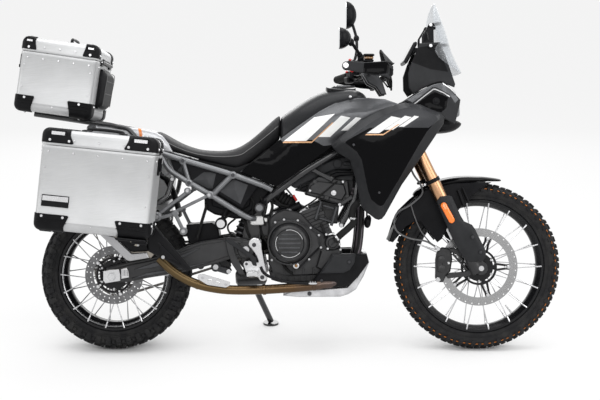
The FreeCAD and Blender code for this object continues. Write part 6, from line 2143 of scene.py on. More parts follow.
def exhaust():
    """Header pipes, the silencer with its guard, and the heat shield."""
    pipes = Piece("header_pipes", "chassis", "exhaust_bronze", slot="exhaust_steel",
                  replaces=("exhaust_pipe",))
    for y, low_y in ((-52, -90), (52, -20)):
        pipes.bent([(975, y, 652), (1004, y, 640), (1014, y, 600), (1014, y, 520),
                    (1002, (y + low_y) / 2, 420), (975, low_y, 345), (925, -132, 294), (840, -149, 282)],
                    18.5, 20, per_run=8)
    pipes.bent([(850, -150, 282), (780, -151, 274), (700, -152, 268), (590, -152, 262), (480, -152, 262),
                (400, -153, 272), (340, -155, 288), (286, -157, 314), (240, -159, 346), (194, -160, 392)], 19,
                24, per_run=8)
    for x, z in ((822, 280), (620, 263), (352, 285)):
        pipes.lathe([(-7, 19), (-6, 21.5), (6, 21.5), (7, 19)], (x, -152, z),
                    Vector((1, 0, 0.1 if x > 400 else -0.45)), 28)
    for y in (-52, 52):
        pipes.lathe([(-4, 28), (4, 28), (5, 22)], (978, y, 650), v(1, 0, -0.35), 28)
    pipes.close(smooth=50)
    can = Piece("silencer_can", "chassis", "exhaust_steel", "smooth_black", slot="exhaust_steel",
                replaces=("silencer",))
    start, end = v(175, -160, 402), v(-112, -160, 652)
    along = (end - start).normalized()
    length = (end - start).length
    can.lathe([(4, 21), (20, 26), (50, 46), (74, 55), (84, 56), (length - 70, 56)], start, along, 48)
    can.paint = 1
    can.lathe([(length - 70, 57.5), (length - 12, 57.5), (length - 2, 52), (length, 40), (length + 26, 26),
               (length + 26, 21), (length - 30, 20)], start, along, 48)
    can.lathe([(86, 56.2), (88, 57.6), (98, 57.6), (100, 56.2)], start, along, 48, True)
    can.close(smooth=40)
    strip = Piece("silencer_strip", "chassis", "silencer_grey", slot="exhaust_steel")
    strip.plate([(-37, 491), (70, 389), (84, 385), (160, 398), (152, 420), (92, 416), (23, 481), (-20, 494)],
                -222, -206, 4)
    strip.close()
    guard = Piece("silencer_guard", "chassis", "satin_black", slot="black_plastic",
                  replaces=("exhaust_guards",))
    guard.plate([(152, 527), (170, 536), (190, 522), (222, 482), (282, 412), (332, 352), (314, 343),
                 (250, 378), (196, 404), (158, 424)], -226, -210, 5)
    guard.plate([(20, 470), (150, 470), (160, 424), (96, 420), (64, 430)], -214, -196, 5)
    guard.plate([(196, 460), (214, 452), (292, 372), (268, 382), (214, 408)], -231, -222, 3)
    guard.rod((205, -218, 440), (205, -178, 440), 8)
    guard.rod((182, -212, 486), (182, -190, 486), 7)
    guard.close()
    heads("silencer_guard_bolt", "chassis", [((218, -232, 402), (0, -1, 0), 8.5),
        ((116, -215, 448), (0, -1, 0), 5), ((60, -207, 452), (0, -1, 0), 5)])
    shield = Piece("heat_shield_plate", "chassis", "machined_silver", slot="bare_aluminium")
    face = rounded([(352, 326), (372, 330), (484, 297), (482, 284), (466, 275), (392, 286), (356, 308)], 5, 2)
    for k, (x, z) in enumerate(((403, 304), (433, 296))):
        hole = [(x + 10 * math.cos(a), z + 8 * math.sin(a)) for a in around(16)]
        frame_plate(shield, slice_outline(face, 418, k == 0), hole, -186, -180)
    shield.plate([(350, 318), (474, 283), (466, 275), (392, 286), (356, 306)], -180, -172, 2)
    shield.rod((410, -178, 290), (410, -168, 286), 6)
    shield.close()
    heads("heat_shield_screws", "chassis", [((x, -186, z), (0, -1, 0), 6) for x,
        z in ((372, 315), (466, 288))])


def slice_outline(outline, x_cut, rear):
    """The part of a closed outline behind or ahead of an upright line."""
    kept = []
    for (x1, z1), (x2, z2) in zip(outline, outline[1:] + outline[:1]):
        first = x1 <= x_cut if rear else x1 >= x_cut
        second = x2 <= x_cut if rear else x2 >= x_cut
        if first:
            kept.append((x1, z1))
        if first != second:
            kept.append((x_cut, z1 + (z2 - z1) * (x_cut - x1) / (x2 - x1)))
    return kept


# ---------------------------------------------------------------- front end

def fork_legs():
    """Both legs with their clamps, bolts and hose clips, and the nut of the stem."""
    legs = Piece("fork_outer_tubes", "steering", "fork_gold", "machined_silver", "cast_silver",
                 slot="fork_gold", replaces=("fork",))
    black = Piece("fork_clamps", "steering", "engine_black", slot="frame_black")
    for y in (-LEG_OUT, LEG_OUT):
        legs.paint = 0
        legs.tube([on_leg(up, 0, y) for up in (300, 306, 308, 420, 424, 700)],
                  [25, 26.5, 26.5, 26.2, 25.2, 25.2], 28)
        legs.paint = 1
        legs.tube([on_leg(60, 0, y), on_leg(302, 0, y)], 20.3, 24)
        legs.paint = 2
        legs.tube([on_leg(700, 0, y), on_leg(704, 0, y), on_leg(708, 0, y)], [25.2, 24, 14], 24)
        black.tube([on_leg(-24, 0, y), on_leg(-20, 0, y), on_leg(30, 0, y), on_leg(66, 0, y),
                    on_leg(70, 0, y)], [18, 26, 27, 24, 21], 20)
        black.lathe([(-24, 26), (-21, 28), (21, 28), (24, 26)], FRONT_AXLE + v(0, y * 0.93, 0), "Y", 28)
        black.box(on_leg(2, 24, y), (30, 34, 46), about_y(-26), 5)
        black.tube([on_leg(300, 0, y), on_leg(312, 0, y)], [26, 28.5], 24)
        for up, thick in ((560, 34), (682, 24)):
            black.tube([on_leg(up - thick / 2, 0, y), on_leg(up - thick / 2 + 3, 0, y),
                        on_leg(up + thick / 2 - 3, 0, y), on_leg(up + thick / 2, 0, y)], [30, 33.5, 33.5, 30],
                        24)
    for up, thick in ((560, 30), (682, 20)):
        half = [(-36, 30), (-30, 78), (6, 86), (22, 78), (26, 30)]
        outline = half + [(a, -w) for a, w in reversed(half)]
        black.loft([[on_leg(up + lift, a * s, w * s) for a, w in outline] for lift,
                    s in ((-thick / 2, 0.94), (-thick / 2 + 3, 1), (thick / 2 - 3, 1), (thick / 2, 0.94))])
    legs.close(smooth=40)
    black.close(smooth=40)
    pinch = []
    for side in (-1, 1):
        for up in (550, 570):
            pinch.append((on_leg(up, -30, side * 118), STEER_AHEAD * -1, 5))
        pinch.append((on_leg(682, -30, side * 112), STEER_AHEAD * -1, 5))
        pinch.append((FRONT_AXLE + v(0, side * 124, 0), (0, side, 0), 13))
    heads("fork_bolts", "steering", pinch, "machined_silver")
    clips = Piece("fork_hose_clips", "steering", "smooth_black", slot="black_plastic")
    for side in (-1, 1):
        clips.lathe([(-8, 25.6), (-8, 30), (8, 30), (8, 25.6)], on_leg(398, 0, side * LEG_OUT), STEER_UP, 28,
                    True)
        clips.box(on_leg(398, -34, side * 108), (22, 14, 12), about_y(-26), 3)
    clips.close()
    heads("fork_clip_bolts", "steering", [(on_leg(398, -38, side * 116), (0, side, 0), 6)
        for side in (-1, 1)], "machined_silver")
    stem = Piece("steering_stem_nut", "steering", "machined_silver", slot="frame_black")
    stem.lathe([(692, 17), (700, 17), (703, 14), (704, 1)], on_leg(0, -30, 0), STEER_UP, 24)
    stem.close()


def guards_and_fender():
    """Fork guards with their reflectors, the fender's blade and its apron."""
    outline = [(1322, 622), (1336, 640), (1371, 645), (1384, 640), (1420, 562), (1434, 539), (1466, 525),
               (1478, 508), (1524, 416), (1521, 392), (1508, 376), (1456, 374), (1430, 391), (1400, 440),
               (1368, 510), (1338, 578)]
    ridge = [(1376, 628), (1412, 553), (1428, 530), (1458, 516), (1508, 412)]

    def height(x, z):
        near = min(abs((z - z1) * (x2 - x1) - (x - x1) * (z2 - z1)) / math.hypot(x2 - x1, z2 - z1)
                   for (x1, z1), (x2, z2) in zip(ridge, ridge[1:]))
        return 137 + 10 * ease(edge_distance((x, z), outline) / 20) + 2 * ease(1 - near / 8)
    for name, side in SIDES:
        panel("fork_guard_cover_" + name, "steering", outline, height, ("grained_grey",), (), 5.0, 4.0, side,
              12, "black_plastic", ("fork_guards",) if side < 0 else (), creases=list(zip(ridge, ridge[1:])))
        bracket = Piece("fork_guard_stays_" + name, "steering", "smooth_black", slot="black_plastic")
        for x, z in ((1351, 620), (1420, 478)):
            bracket.rod((x, side * 126, z), (x, side * 142, z), 8)
        bracket.close()
        # The reflector's lens glows faintly: a painted glow.
        lens = Piece("side_reflector_" + name, "steering", "reflector_orange", slot="black_plastic")
        a, b = Vector((1349, 604)), Vector((1381, 545))
        along = (b - a).normalized()
        across = Vector((along.y, -along.x))
        oval = [tuple(end + along * reach * math.sin(turn) + across * reach * math.cos(turn))
                for end, reach in ((b, 12.5), (a, -12.5)) for turn in (math.pi * k / 8 for k in range(9))]
        lens.plate(oval, *span(side, 144, 152.5), 3.5)
        lens.close(smooth=60)
        heads("fork_guard_bolts_" + name, "steering", facing([(1466, 476, 149.5, 7), (1498, 415, 149.5, 7)],
            [side]), "black_bolt")
    blade = Piece("fender_blade", "steering", "gloss_black", slot="shroud_black", replaces=("front_fender",))
    rings = []
    for x, crown, half, low, under in ((1236, 652, 52, 632, 626), (1283, 686, 62, 664, 655),
        (1337, 706, 70, 684, 674), (1400, 720, 72, 698, 688), (1470, 724, 70, 704, 696),
        (1540, 719, 58, 703, 697), (1590, 712, 34, 701, 697), (1610, 707, 14, 701, 698)):
        rings.append(section(x, [(0, crown), (half * 0.45, crown - 1.5), (half * 0.8, crown - 5),
                                 (half, low + 4), (half + 1, low), (half - 4, under),
                                 (half * 0.6, under + (crown - under) * 0.45), (0, crown - 6)]))
    blade.loft(rings)
    blade.close(subdivide=2, smooth=60)
    apron = Piece("fender_sides", "steering", "smooth_black", "satin_black", slot="shroud_black")
    inner = [(1135, 452), (1150, 448), (1182, 486), (1202, 512), (1240, 534), (1262, 536), (1334, 448),
             (1352, 462), (1396, 548), (1428, 590), (1444, 612), (1468, 636), (1508, 666), (1558, 697),
             (1400, 694), (1290, 668), (1232, 622), (1182, 574), (1161, 534)]
    for side in (-1, 1):
        low, high = span(side, 58, 68)
        apron.paint = 0
        apron.plate(inner, low, high, 3)
        apron.paint = 1
        bar(apron, (1420, 666), (1446, 596), 16, *span(side, 66, 80), 3)
        bar(apron, (1436, 674), (1462, 612), 7, *span(side, 66, 84), 2)
        apron.rod((1338, side * 62, 655), (1338, side * 82, 655), 9)
    apron.paint = 0
    arch = [(1134, 450), (1154, 492), (1176, 534), (1222, 586), (1262, 628), (1306, 676), (1322, 688)]
    rings = []
    for x, z in arch:
        rings.append([v(x, -62, z), v(x - 3, -40, z + 5), v(x - 4, 0, z + 8), v(x - 3, 40, z + 5),
                      v(x, 62, z), v(x + 4, 40, z - 1), v(x + 3, 0, z + 2), v(x + 4, -40, z - 1)])
    apron.loft(rings)
    apron.close()


def front_brake():
    """The front caliper and the hose that follows the steering."""
    caliper = Piece("front_caliper_body", "steering", "engine_black", "machined_silver", slot="engine_black",
                    replaces=("front_caliper",))
    outer = [(1322, 300), (1336, 286), (1354, 286), (1366, 312), (1384, 330), (1392, 380), (1388, 424),
             (1350, 430), (1330, 414), (1322, 380)]
    caliper.plate(outer, -97, -75, 6)
    caliper.plate([(1324, 304), (1340, 290), (1342, 320), (1340, 341), (1344, 372), (1349, 398), (1346, 424),
                   (1328, 400)], -75, -56, 2)
    caliper.plate([(1330, 330), (1352, 330), (1352, 392), (1330, 392)], -102, -95, 4)
    for x, z in ((1346, 342), (1346, 380)):
        caliper.lathe([(-96, 16), (-104, 15), (-106, 11), (-106, 0.5)], (x, 0, z), "Y", 28)
    caliper.plate([(1376, 418), (1380, 428), (1452, 420), (1476, 372), (1466, 360), (1440, 388), (1396, 404)],
                  -104, -92, 3)
    caliper.plate([(1366, 312), (1372, 302), (1460, 312), (1482, 332), (1470, 344), (1440, 330), (1380, 326)],
                  -104, -92, 3)
    bar(caliper, (1392, 404), (1458, 330), 9, -100, -94, 2)
    caliper.paint = 1
    for x, z, r in ((1332, 424, 9), (1332, 298, 10), (1376, 366, 6)):
        caliper.lathe([(-92, r), (-104, r), (-106, r - 2), (-106, 0.5)], (x, 0, z), "Y", 22)
    caliper.close()
    hose = Piece("brake_hose", "steering", "hose_grey", "machined_silver", slot="hose_rubber",
                 replaces=("front_brake_hose",))
    line = [(1216, -70, 772), (1236, -74, 726), (1262, -80, 688), (1268, -88, 650), (1222, -92, 606),
            (1168, -94, 574), (1152, -94, 533), (1166, -94, 494), (1216, -93, 467), (1281, -93, 455),
            (1324, -93, 432)]
    hose.bent(line, 4.0, 10, per_run=8)
    hose.bent([(1222, -88, 606), (1236, -84, 560), (1262, -82, 500), (1300, -88, 450), (1330, -92, 428)], 2.6,
              8, per_run=8)
    hose.paint = 1
    hose.lathe([(-5, 7), (5, 7)], (1324, -93, 430), v(0.6, 0, -0.8), 16)
    hose.close(smooth=50)


def bars():
    """Handlebar with clamps, grips, switches, levers, the brake fluid tank and the cables."""
    tube = Piece("handlebar_tube", "steering", "frame_black", slot="frame_black", replaces=("handlebar",))
    half = [(1050, 0, 1148), (1050, 80, 1148), (1042, 130, 1160), (1030, 170, 1166), (985, 300, 1160),
            (936, 424, 1150)]
    tube.bent([(x, -y, z) for x, y, z in reversed(half[1:])] + half, 11.2, 20)
    tube.close(smooth=60)
    clamp = Piece("bar_clamps", "steering", "engine_grey", slot="frame_grey")
    for side in (-1, 1):
        low, high = span(side, 34, 62)
        clamp.plate([(1028, 1140), (1030, 1162), (1044, 1172), (1062, 1170), (1074, 1158), (1106, 1118),
                     (1124, 1060), (1102, 1056), (1080, 1090), (1048, 1106)], low, high, 5)
    clamp.plate([(1034, 1162), (1044, 1175), (1060, 1173), (1068, 1160)], -66, 66, 5)
    clamp.close()
    heads("bar_clamp_bolts", "steering", [((x, side * 48, 1174), (0, 0, 1), 5) for side in (-1, 1)
        for x in (1042, 1062)], "black_bolt")
    for name, side in SIDES:
        a, b = v(985, side * 300, 1160), v(938, side * 421, 1150.4)
        along = (b - a).normalized()
        length = (b - a).length
        grip = Piece("grip_" + name, "steering", "rubber", slot="black_plastic")
        profile = [(-4, 12), (-4, 19.5), (0, 20), (3, 17)]
        for k in range(15):
            start = 6 + k * (length - 14) / 15
            profile += [(start, 17.2), (start + 4.6, 17.2), (start + 5.2, 16.2), (start + 6.8, 16.2)]
        profile += [(length - 4, 17.4), (length, 16), (length, 8)]
        grip.lathe(profile, a, along, 28)
        grip.close(smooth=40)
        block = Piece("switch_block_" + name, "steering", "smooth_black", "switch_red", slot="black_plastic")
        spin = Matrix.Rotation(math.radians(side * 20), 3, "Z")
        block.box((1000, side * 262, 1162), (40, 58, 44), spin, 8)
        block.box((986, side * 262, 1140), (34, 44, 30), spin, 6)
        block.lathe([(-12, 19), (12, 19)], (1012, side * 238, 1163), v(0.35, side * -0.94, 0), 20)
        block.paint = 1
        block.box((962, side * 268, 1186) if side < 0 else (976, 262, 1176), (12, 14, 9), spin, 3)
        if side < 0:
            block.box((968, -290, 1142), (14, 16, 14), spin, 4)
        block.close(smooth=40)
        lever = Piece("lever_blade_" + name, "steering", "satin_black", slot="black_plastic",
                      replaces=("levers",) if side < 0 else ())
        line = smooth_line([(1040, side * 244, 1160), (1052, side * 300, 1158), (1048, side * 345, 1155),
                            (1036, side * 380, 1152)], 7)
        lever.tube(line, [8] + [6.2] * (len(line) - 3) + [7.4, 6], 12)
        lever.rod((1014, side * 250, 1160), (1044, side * 250, 1160), 10)
        lever.box((1030, side * 240, 1162), (40, 30, 24), spin, 5)
        lever.close(smooth=50)
    tank = Piece("brake_reservoir", "steering", "smooth_black", "brown_fluid", slot="black_plastic")
    tank.box((1038, -222, 1186), (40, 40, 14), bevel=5)
    tank.box((1038, -222, 1208), (46, 46, 10), bevel=4)
    tank.rod((1030, -236, 1150), (1036, -228, 1182), 8)
    tank.paint = 1
    tank.box((1038, -222, 1197), (38, 38, 14), bevel=5)
    tank.close(smooth=40)
    hoses = Piece("bar_cables", "steering", "rubber", slot="hose_rubber")
    for line, radius in (([(1056, -214, 1172), (1096, -184, 1172), (1126, -124, 1152), (1142, -72, 1120),
                           (1146, -40, 1094)], 4.2),
                           ([(1030, -244, 1150), (1082, -206, 1150), (1120, -136, 1130), (1140, -76, 1102),
                             (1146, -34, 1080)], 4.2),
                             ([(1020, -232, 1144), (1072, -190, 1142), (1114, -112, 1120), (1136, -54, 1092)],
                              3.4), ([(1056, 214, 1172), (1098, 176, 1172), (1128, 118, 1152),
                                      (1142, 66, 1120), (1146, 38, 1094)], 4.2),
                                      ([(1030, 244, 1150), (1086, 198, 1148), (1122, 128, 1128),
                                        (1140, 64, 1098)], 3.4),
                                        ([(1056, -60, 1178), (1096, -62, 1180), (1126, -54, 1152),
                                          (1142, -38, 1112)], 3.4)):
        hoses.bent(line, radius, 10, per_run=8)
    hoses.close(smooth=60)


def hand_guards():
    """A shell with a sunk dark face in front of each grip, on its stay."""
    outline = [(932, 1150), (936, 1164), (948, 1170), (1006, 1163), (1090, 1168), (1100, 1160), (1120, 1150),
               (1120, 1118), (1104, 1100), (1084, 1110), (1050, 1113), (1001, 1121), (940, 1134)]
    dark = [(1003, 1122), (1006, 1160), (1096, 1166), (1104, 1150), (1100, 1122), (1050, 1114)]

    def height(x, z):
        dish = 5 * ease(edge_distance((x, z), dark) / 5) if inside((x, z), dark) else 0
        return 437 - dish - 26 * ease((x - 1084) / 40)
    for name, side in SIDES:
        panel("handguard_face_" + name, "steering", outline, height, ("grained_grey", "gloss_black"),
              [(dark, 1)], 5.0, 4.0, side, 12, "black_plastic", ("handguards",) if side < 0 else ())
        shell = Piece("handguard_shell_" + name, "steering", "grained_black", "grained_grey",
                      slot="black_plastic")
        rings = []
        for y, ahead, low, high in ((424, 0, 1102, 1158), (380, 8, 1098, 1170), (330, 10, 1096, 1176),
                                    (280, 2, 1100, 1166), (262, -8, 1110, 1150)):
            rings.append([v(1078 + ahead, side * y, high), v(1104 + ahead, side * y, high - 14),
                          v(1120 + ahead * 0.2, side * y, (low + high) / 2 + 6),
                          v(1114 + ahead * 0.2, side * y, low + 14), v(1090 + ahead, side * y, low),
                          v(1088 + ahead, side * y, low + 8), v(1106, side * y, low + 20),
                          v(1110, side * y, (low + high) / 2 + 6), v(1098 + ahead * 0.5, side * y, high - 18),
                          v(1078 + ahead * 0.5, side * y, high - 8)])
        shell.loft(rings)
        shell.paint = 1
        fin = []
        for y, z, x in ((386, 1170, 1096), (350, 1204, 1088), (310, 1222, 1080), (280, 1214, 1080),
                        (268, 1170, 1090)):
            fin.append([v(x - 4, side * y, z), v(x + 2, side * y, z + 1), v(1128, side * y, 1164),
                        v(1122, side * y, 1158)])
        shell.loft(fin)
        shell.close()
        stay = Piece("handguard_stay_" + name, "steering", "satin_black", slot="black_plastic")
        stay.bent([(938, side * 426, 1150), (980, side * 426, 1142), (1060, side * 420, 1138),
                   (1100, side * 380, 1138), (1104, side * 320, 1140), (1080, side * 250, 1150),
                   (1046, side * 190, 1160)], 6, 10)
        stay.close(smooth=60)
        heads("handguard_bolts_" + name, "steering", facing([(937, 1151, 437, 12)], [side]),
              "machined_silver")


MIRROR_HEADS = {  # middle of the glass, half height, half width, route of the stem above the clamp
    "right": ((914, 1262), 44, 66, [(1004, 262, 1200), (984, 296, 1226), (962, 330, 1250), (940, 356, 1262)]),
    "left": ((978, 1439), 66, 50, [(1004, 262, 1204), (1020, 288, 1262), (1022, 322, 1330),
        (1006, 350, 1398)]),
}


def mirrors():
    """Both mirrors: a squarish shell on a bent stem, and the glass."""
    squash = [tuple(math.copysign(abs(c) ** 0.72, c) for c in (math.cos(a), math.sin(a))) for a in around(28)]
    for name, side in SIDES:
        (x, z), high, wide, route = MIRROR_HEADS[name]
        stem = Piece("mirror_arm_" + name, "steering", "smooth_black", slot="black_plastic",
                     replaces=("mirrors",) if side < 0 else ())
        points = [(1004, side * 262, 1184)] + [(px, side * py, pz) for px, py, pz in route]
        stem.bent(points, 6.6, 14)
        stem.rod((1004, side * 262, 1180), (1004, side * 262, 1206), 13)
        knuckle = Vector(points[-2])
        stem.ball(knuckle, (13, 13, 16))
        stem.rod(points[1], Vector(points[1]) + (Vector(points[2]) - Vector(points[1])) * 0.4, 11)
        stem.close(smooth=50)
        shell = Piece("mirror_shell_" + name, "steering", "smooth_black", slot="black_plastic")
        rings = []
        for t in (0.0, 0.04, 0.25, 0.5, 0.75, 0.92, 0.99):
            s = math.sqrt(1 - t * t) if t > 0.04 else (1 if t == 0.04 else 0.97)
            rings.append([v(x + 47 * t, side * 365 + c * wide * s * 0.94, z + q * high * s * 0.94) for c,
                          q in squash])
        shell.loft(rings)
        shell.close(smooth=60)
        glass = Piece("mirror_glass_" + name, "steering", "mirror_glass", slot="lamp_clear")
        glass.loft([[v(x + d, side * 365 + c * wide * s, z + q * high * s) for c, q in squash] for d,
                    s in ((0.5, 0.88), (-0.8, 0.86), (-1.2, 0.8))])
        glass.close(smooth=50)


# ---------------------------------------------------------------- frame and rear end

def mirrored(points, side):
    """A route given for the right side, on the side asked for."""
    return [(x, -side * y, z) for x, y, z in points]


def main_tubes():
    """The main frame: head, two pairs of tubes, pivot plates and their bolts."""
    tubes = Piece("frame_tubes", "chassis", "frame_black", slot="frame_black", replaces=("main_frame",))
    tubes.rod(on_leg(560, -30, 0) + v(-20, 0, 0), on_leg(690, -30, 0) + v(-20, 0, 0), 26, 28)
    for side in (-1, 1):
        tubes.bent(mirrored([(600, -76, 600), (640, -118, 634), (720, -128, 696), (806, -134, 757),
                             (960, -110, 850), (1060, -66, 916), (1136, -18, 962)], side), 15.5, 20)
        tubes.bent(mirrored([(1160, -14, 890), (1140, -32, 868), (1080, -80, 808), (1014, -122, 740),
                             (996, -142, 672), (984, -146, 620), (932, -146, 522)], side), 11.8, 18)
        plate = rounded([(520, 380), (545, 300), (600, 296), (620, 350), (604, 470), (632, 600), (622, 640),
                         (572, 624), (552, 560), (530, 500)], 10, 3)
        tubes.plate(plate, *span(side, 53, 80), 4)
        tubes.plate(offset(plate, 9), *span(side, 78, 82), 1.5)
        tubes.lathe([(side * 80, 26), (side * 92, 25), (side * 94, 22), (side * 94, 13)], SWING_PIVOT, "Y",
                    32)
        tubes.lathe([(side * 90, 20), (side * 148, 20), (side * 150, 18), (side * 150, 13.5),
                     (side * 144, 13)], (600, 0, 594), "Y", 28)
        bar(tubes, (812, 752), (900, 706), 20, *span(side, 122, 134), 4)
        bar(tubes, (980, 640), (926, 606), 18, *span(side, 132, 142), 4)
    tubes.rod((600, -80, 612), (600, 80, 612), 15, 20)
    tubes.rod((585, -80, 312), (585, 80, 312), 12, 20)
    tubes.close(smooth=40)
    heads("frame_bolts", "chassis", facing([(545, 425, 94, 15), (932, 524, 158, 9), (590, 330, 82, 8),
        (926, 608, 143, 7)]))


def rear_tubes():
    """The rear frame: rails, stays and crossbars, and the faceted covers between them."""
    rails = Piece("rail_tubes", "chassis", "frame_grey", slot="frame_grey", replaces=("subframe",))
    for side in (-1, 1):
        rails.bent(mirrored([(120, -120, 838), (202, -150, 815), (360, -152, 769), (480, -152, 733),
                             (603, -152, 690), (650, -142, 668)], side), 11.8, 18)
        rails.bent(mirrored([(202, -150, 806), (212, -152, 784), (232, -152, 754), (268, -152, 726),
                             (400, -152, 648), (540, -140, 562), (580, -112, 548)], side), 11.8, 18)
        rails.tube(mirrored([(290, -152, 784), (315, -152, 699)], side), 9.6, 16)
        rails.tube(mirrored([(493, -152, 731), (408, -152, 646)], side), 11.6, 16)
        for x, z in ((400, 648), (493, 728), (315, 696), (290, 786)):
            rails.lathe([(side * 140, 15), (side * 166, 15), (side * 167, 13)], (x, 0, z), "Y", 24)
        rails.rod((600, side * 100, 596), (600, side * 150, 596), 17, 24)
    for x, y, z in ((135, 124, 834), (400, 152, 757), (400, 152, 648)):
        rails.rod((x, -y, z), (x, y, z), 9.6, 16)
    rails.close(smooth=40)
    for name, side in SIDES:
        panels = Piece("rail_infill_" + name, "chassis", "facet_grey", "smooth_black", slot="black_plastic",
                       replaces=("seat_rail_panels",) if side < 0 else ())
        low, high = span(side, 134.5, 140.5)
        panels.paint = 1
        for outline in ([(236, 802), (290, 790), (317, 700), (254, 738)],
                        [(292, 788), (364, 768), (488, 729), (410, 660), (392, 660), (316, 700)],
                        [(496, 726), (600, 691), (530, 592), (418, 660)]):
            panels.plate(outline, low, high, 1.5)
        panels.paint = 0
        for corners in ([(318, 704), (372, 744), (404, 742), (428, 736), (412, 668), (392, 668)],
                        [(424, 664), (494, 716), (560, 690), (526, 602)],
                        [(262, 742), (286, 776), (304, 712)]):
            middle_x, middle_z = (sum(values) / len(corners) for values in zip(*corners))
            tip = v(middle_x, side * 152, middle_z)
            rim = [v(x, side * 139, z) for x, z in corners]
            for a, b in pairs(rim):
                verts = [panels.mesh.verts.new(p) for p in ((a, b, tip) if side < 0 else (b, a, tip))]
                panels.face(verts)
        panels.close(smooth=8, outward=False)
    heads("rail_bolts", "chassis", facing([(400, 648, 167, 8), (493, 728, 167, 8), (315, 696, 167, 8),
        (290, 786, 167, 8)]), "black_bolt")


def rear_fork():
    """Swingarm: two cast arms with a ridged outer face, a bridge and axle blocks; the ridges' lighter grey is
    a painted highlight.
    """
    arm = [(-24, 290), (34, 290), (70, 292), (135, 306), (298, 334), (400, 360), (500, 392), (545, 385),
           (570, 394), (584, 425), (570, 454), (545, 465), (480, 474), (359, 456), (270, 424), (156, 392),
           (66, 374), (-24, 350)]
    arms = Piece("rear_arms", "chassis", "engine_black", "engine_grey", slot="bare_aluminium",
                 replaces=("swingarm",))
    for side in (-1, 1):
        arms.paint = 0
        arms.plate(arm, *span(side, 107, 134), 5)
        arms.plate(offset(arm, 12), *span(side, 130, 140), 4)
        # The raised ridges near the top and bottom edges take a lighter grey: painted highlights along the
        # arm.
        arms.paint = 1
        for ridge in ([(90, 344), (170, 372), (280, 402), (360, 430), (300, 396), (170, 350)],
                      [(80, 306), (140, 318), (300, 346), (392, 372), (300, 356), (140, 330)]):
            arms.plate(ridge, *span(side, 138, 144), 2)
        arms.paint = 0
        arms.lathe([(side * 104, 36), (side * 142, 36), (side * 146, 32), (side * 146, 16)], SWING_PIVOT, "Y",
                   36)
    arms.box((380, 0, 404), (54, 216, 44), bevel=8)
    for low in (-24, 16):
        arms.plate([(364, 400), (402, 400), (474, 362), (478, 342), (460, 332), (444, 340), (372, 378)], low,
                   low + 8, 2)
    arms.rod((360, -126, 356), (360, 126, 356), 14, 20)
    arms.close()
    blocks = Piece("axle_blocks", "chassis", "machined_silver", "smooth_black", slot="bare_aluminium")
    for side in (-1, 1):
        low, high = span(side, 140, 148)
        blocks.paint = 0
        blocks.plate([(-36, 336), (-8, 344), (28, 346), (34, 322), (34, 298), (-26, 288), (-36, 300)], low,
                     high, 2)
        blocks.plate([(38, 346), (60, 352), (68, 334), (70, 312), (38, 306)], low, high, 2)
        blocks.paint = 1
        blocks.plate([(-46, 300), (-36, 298), (-36, 338), (-46, 336)], low, high, 2)
        for z in (300, 338):
            blocks.rod((-52, side * 142, z), (-30, side * 142, z + 2), 3.2)
        for k in range(4):
            blocks.box((46 + k * 6, side * 148.4, 330), (1.6, 1.4, 24), bevel=0.4)
    blocks.close()
    heads("rear_axle_nuts", "chassis", [(REAR_AXLE + v(0, side * 148, 0), (0, side, 0), 18)
        for side in (-1, 1)], "machined_silver", 6, 0.55)
    heads("arm_pivot_bolts", "chassis", facing([(545, 425, 146, 17)]))
    rub = Piece("chain_slider", "chassis", "rubber", slot="black_plastic")
    rub.plate([(440, 462), (540, 476), (566, 470), (560, 462), (450, 452)], 78, 106, 3)
    rub.plate([(60, 380), (140, 396), (270, 428), (262, 436), (130, 404), (56, 388)], 80, 88, 2)
    rub.close()


def rear_details():
    """Tyre hugger, linkage and the heel guards."""
    hugger = Piece("tyre_hugger", "chassis", "smooth_black", slot="black_plastic")
    rings = []
    for x, z, half in ((296, 478, 62), (300, 520, 66), (330, 524, 66), (400, 528, 62), (424, 516, 60),
                       (430, 478, 56)):
        rings.append([v(x, -half, z), v(x, half, z), v(x + 3, half, z - 5), v(x + 3, -half, z - 5)])
    hugger.loft(rings)
    for side in (-1, 1):
        low, high = span(side, 62, 70)
        hugger.plate([(308, 446), (296, 480), (296, 521), (400, 529), (424, 517), (432, 470), (420, 452),
                      (340, 446)], low, high, 3)
    hugger.close(smooth=40)
    link = Piece("shock_linkage", "chassis", "engine_grey", "machined_silver", slot="bare_aluminium")
    link.lathe([(-44, 20), (-30, 20), (30, 20), (44, 20)], (416, 0, 344), "Y", 28)
    for low in (-40, 28):
        link.plate([(402, 356), (470, 340), (480, 322), (466, 312), (404, 330)], low, low + 12, 3)
    link.paint = 1
    for x, z, r in ((416, 344, 12), (470, 326, 10)):
        link.lathe([(-46, r), (-50, r - 1), (-50, 0.5)], (x, 0, z), "Y", 18)
    link.close()
    for name, side in SIDES:
        heel = Piece("heel_guard_" + name, "chassis", "grained_grey", "engine_black", slot="black_plastic")
        heel.plate(rounded([(457, 478), (482, 474), (588, 392), (590, 360), (574, 362), (562, 392),
                            (470, 458)], 4, 2), *span(side, 162, 168), 2)
        heel.paint = 1
        heel.plate(rounded([(461, 466), (496, 452), (500, 415), (518, 373), (544, 322), (518, 324),
                            (490, 365), (470, 418)], 5, 2), *span(side, 150, 161), 2.5)
        heel.close()


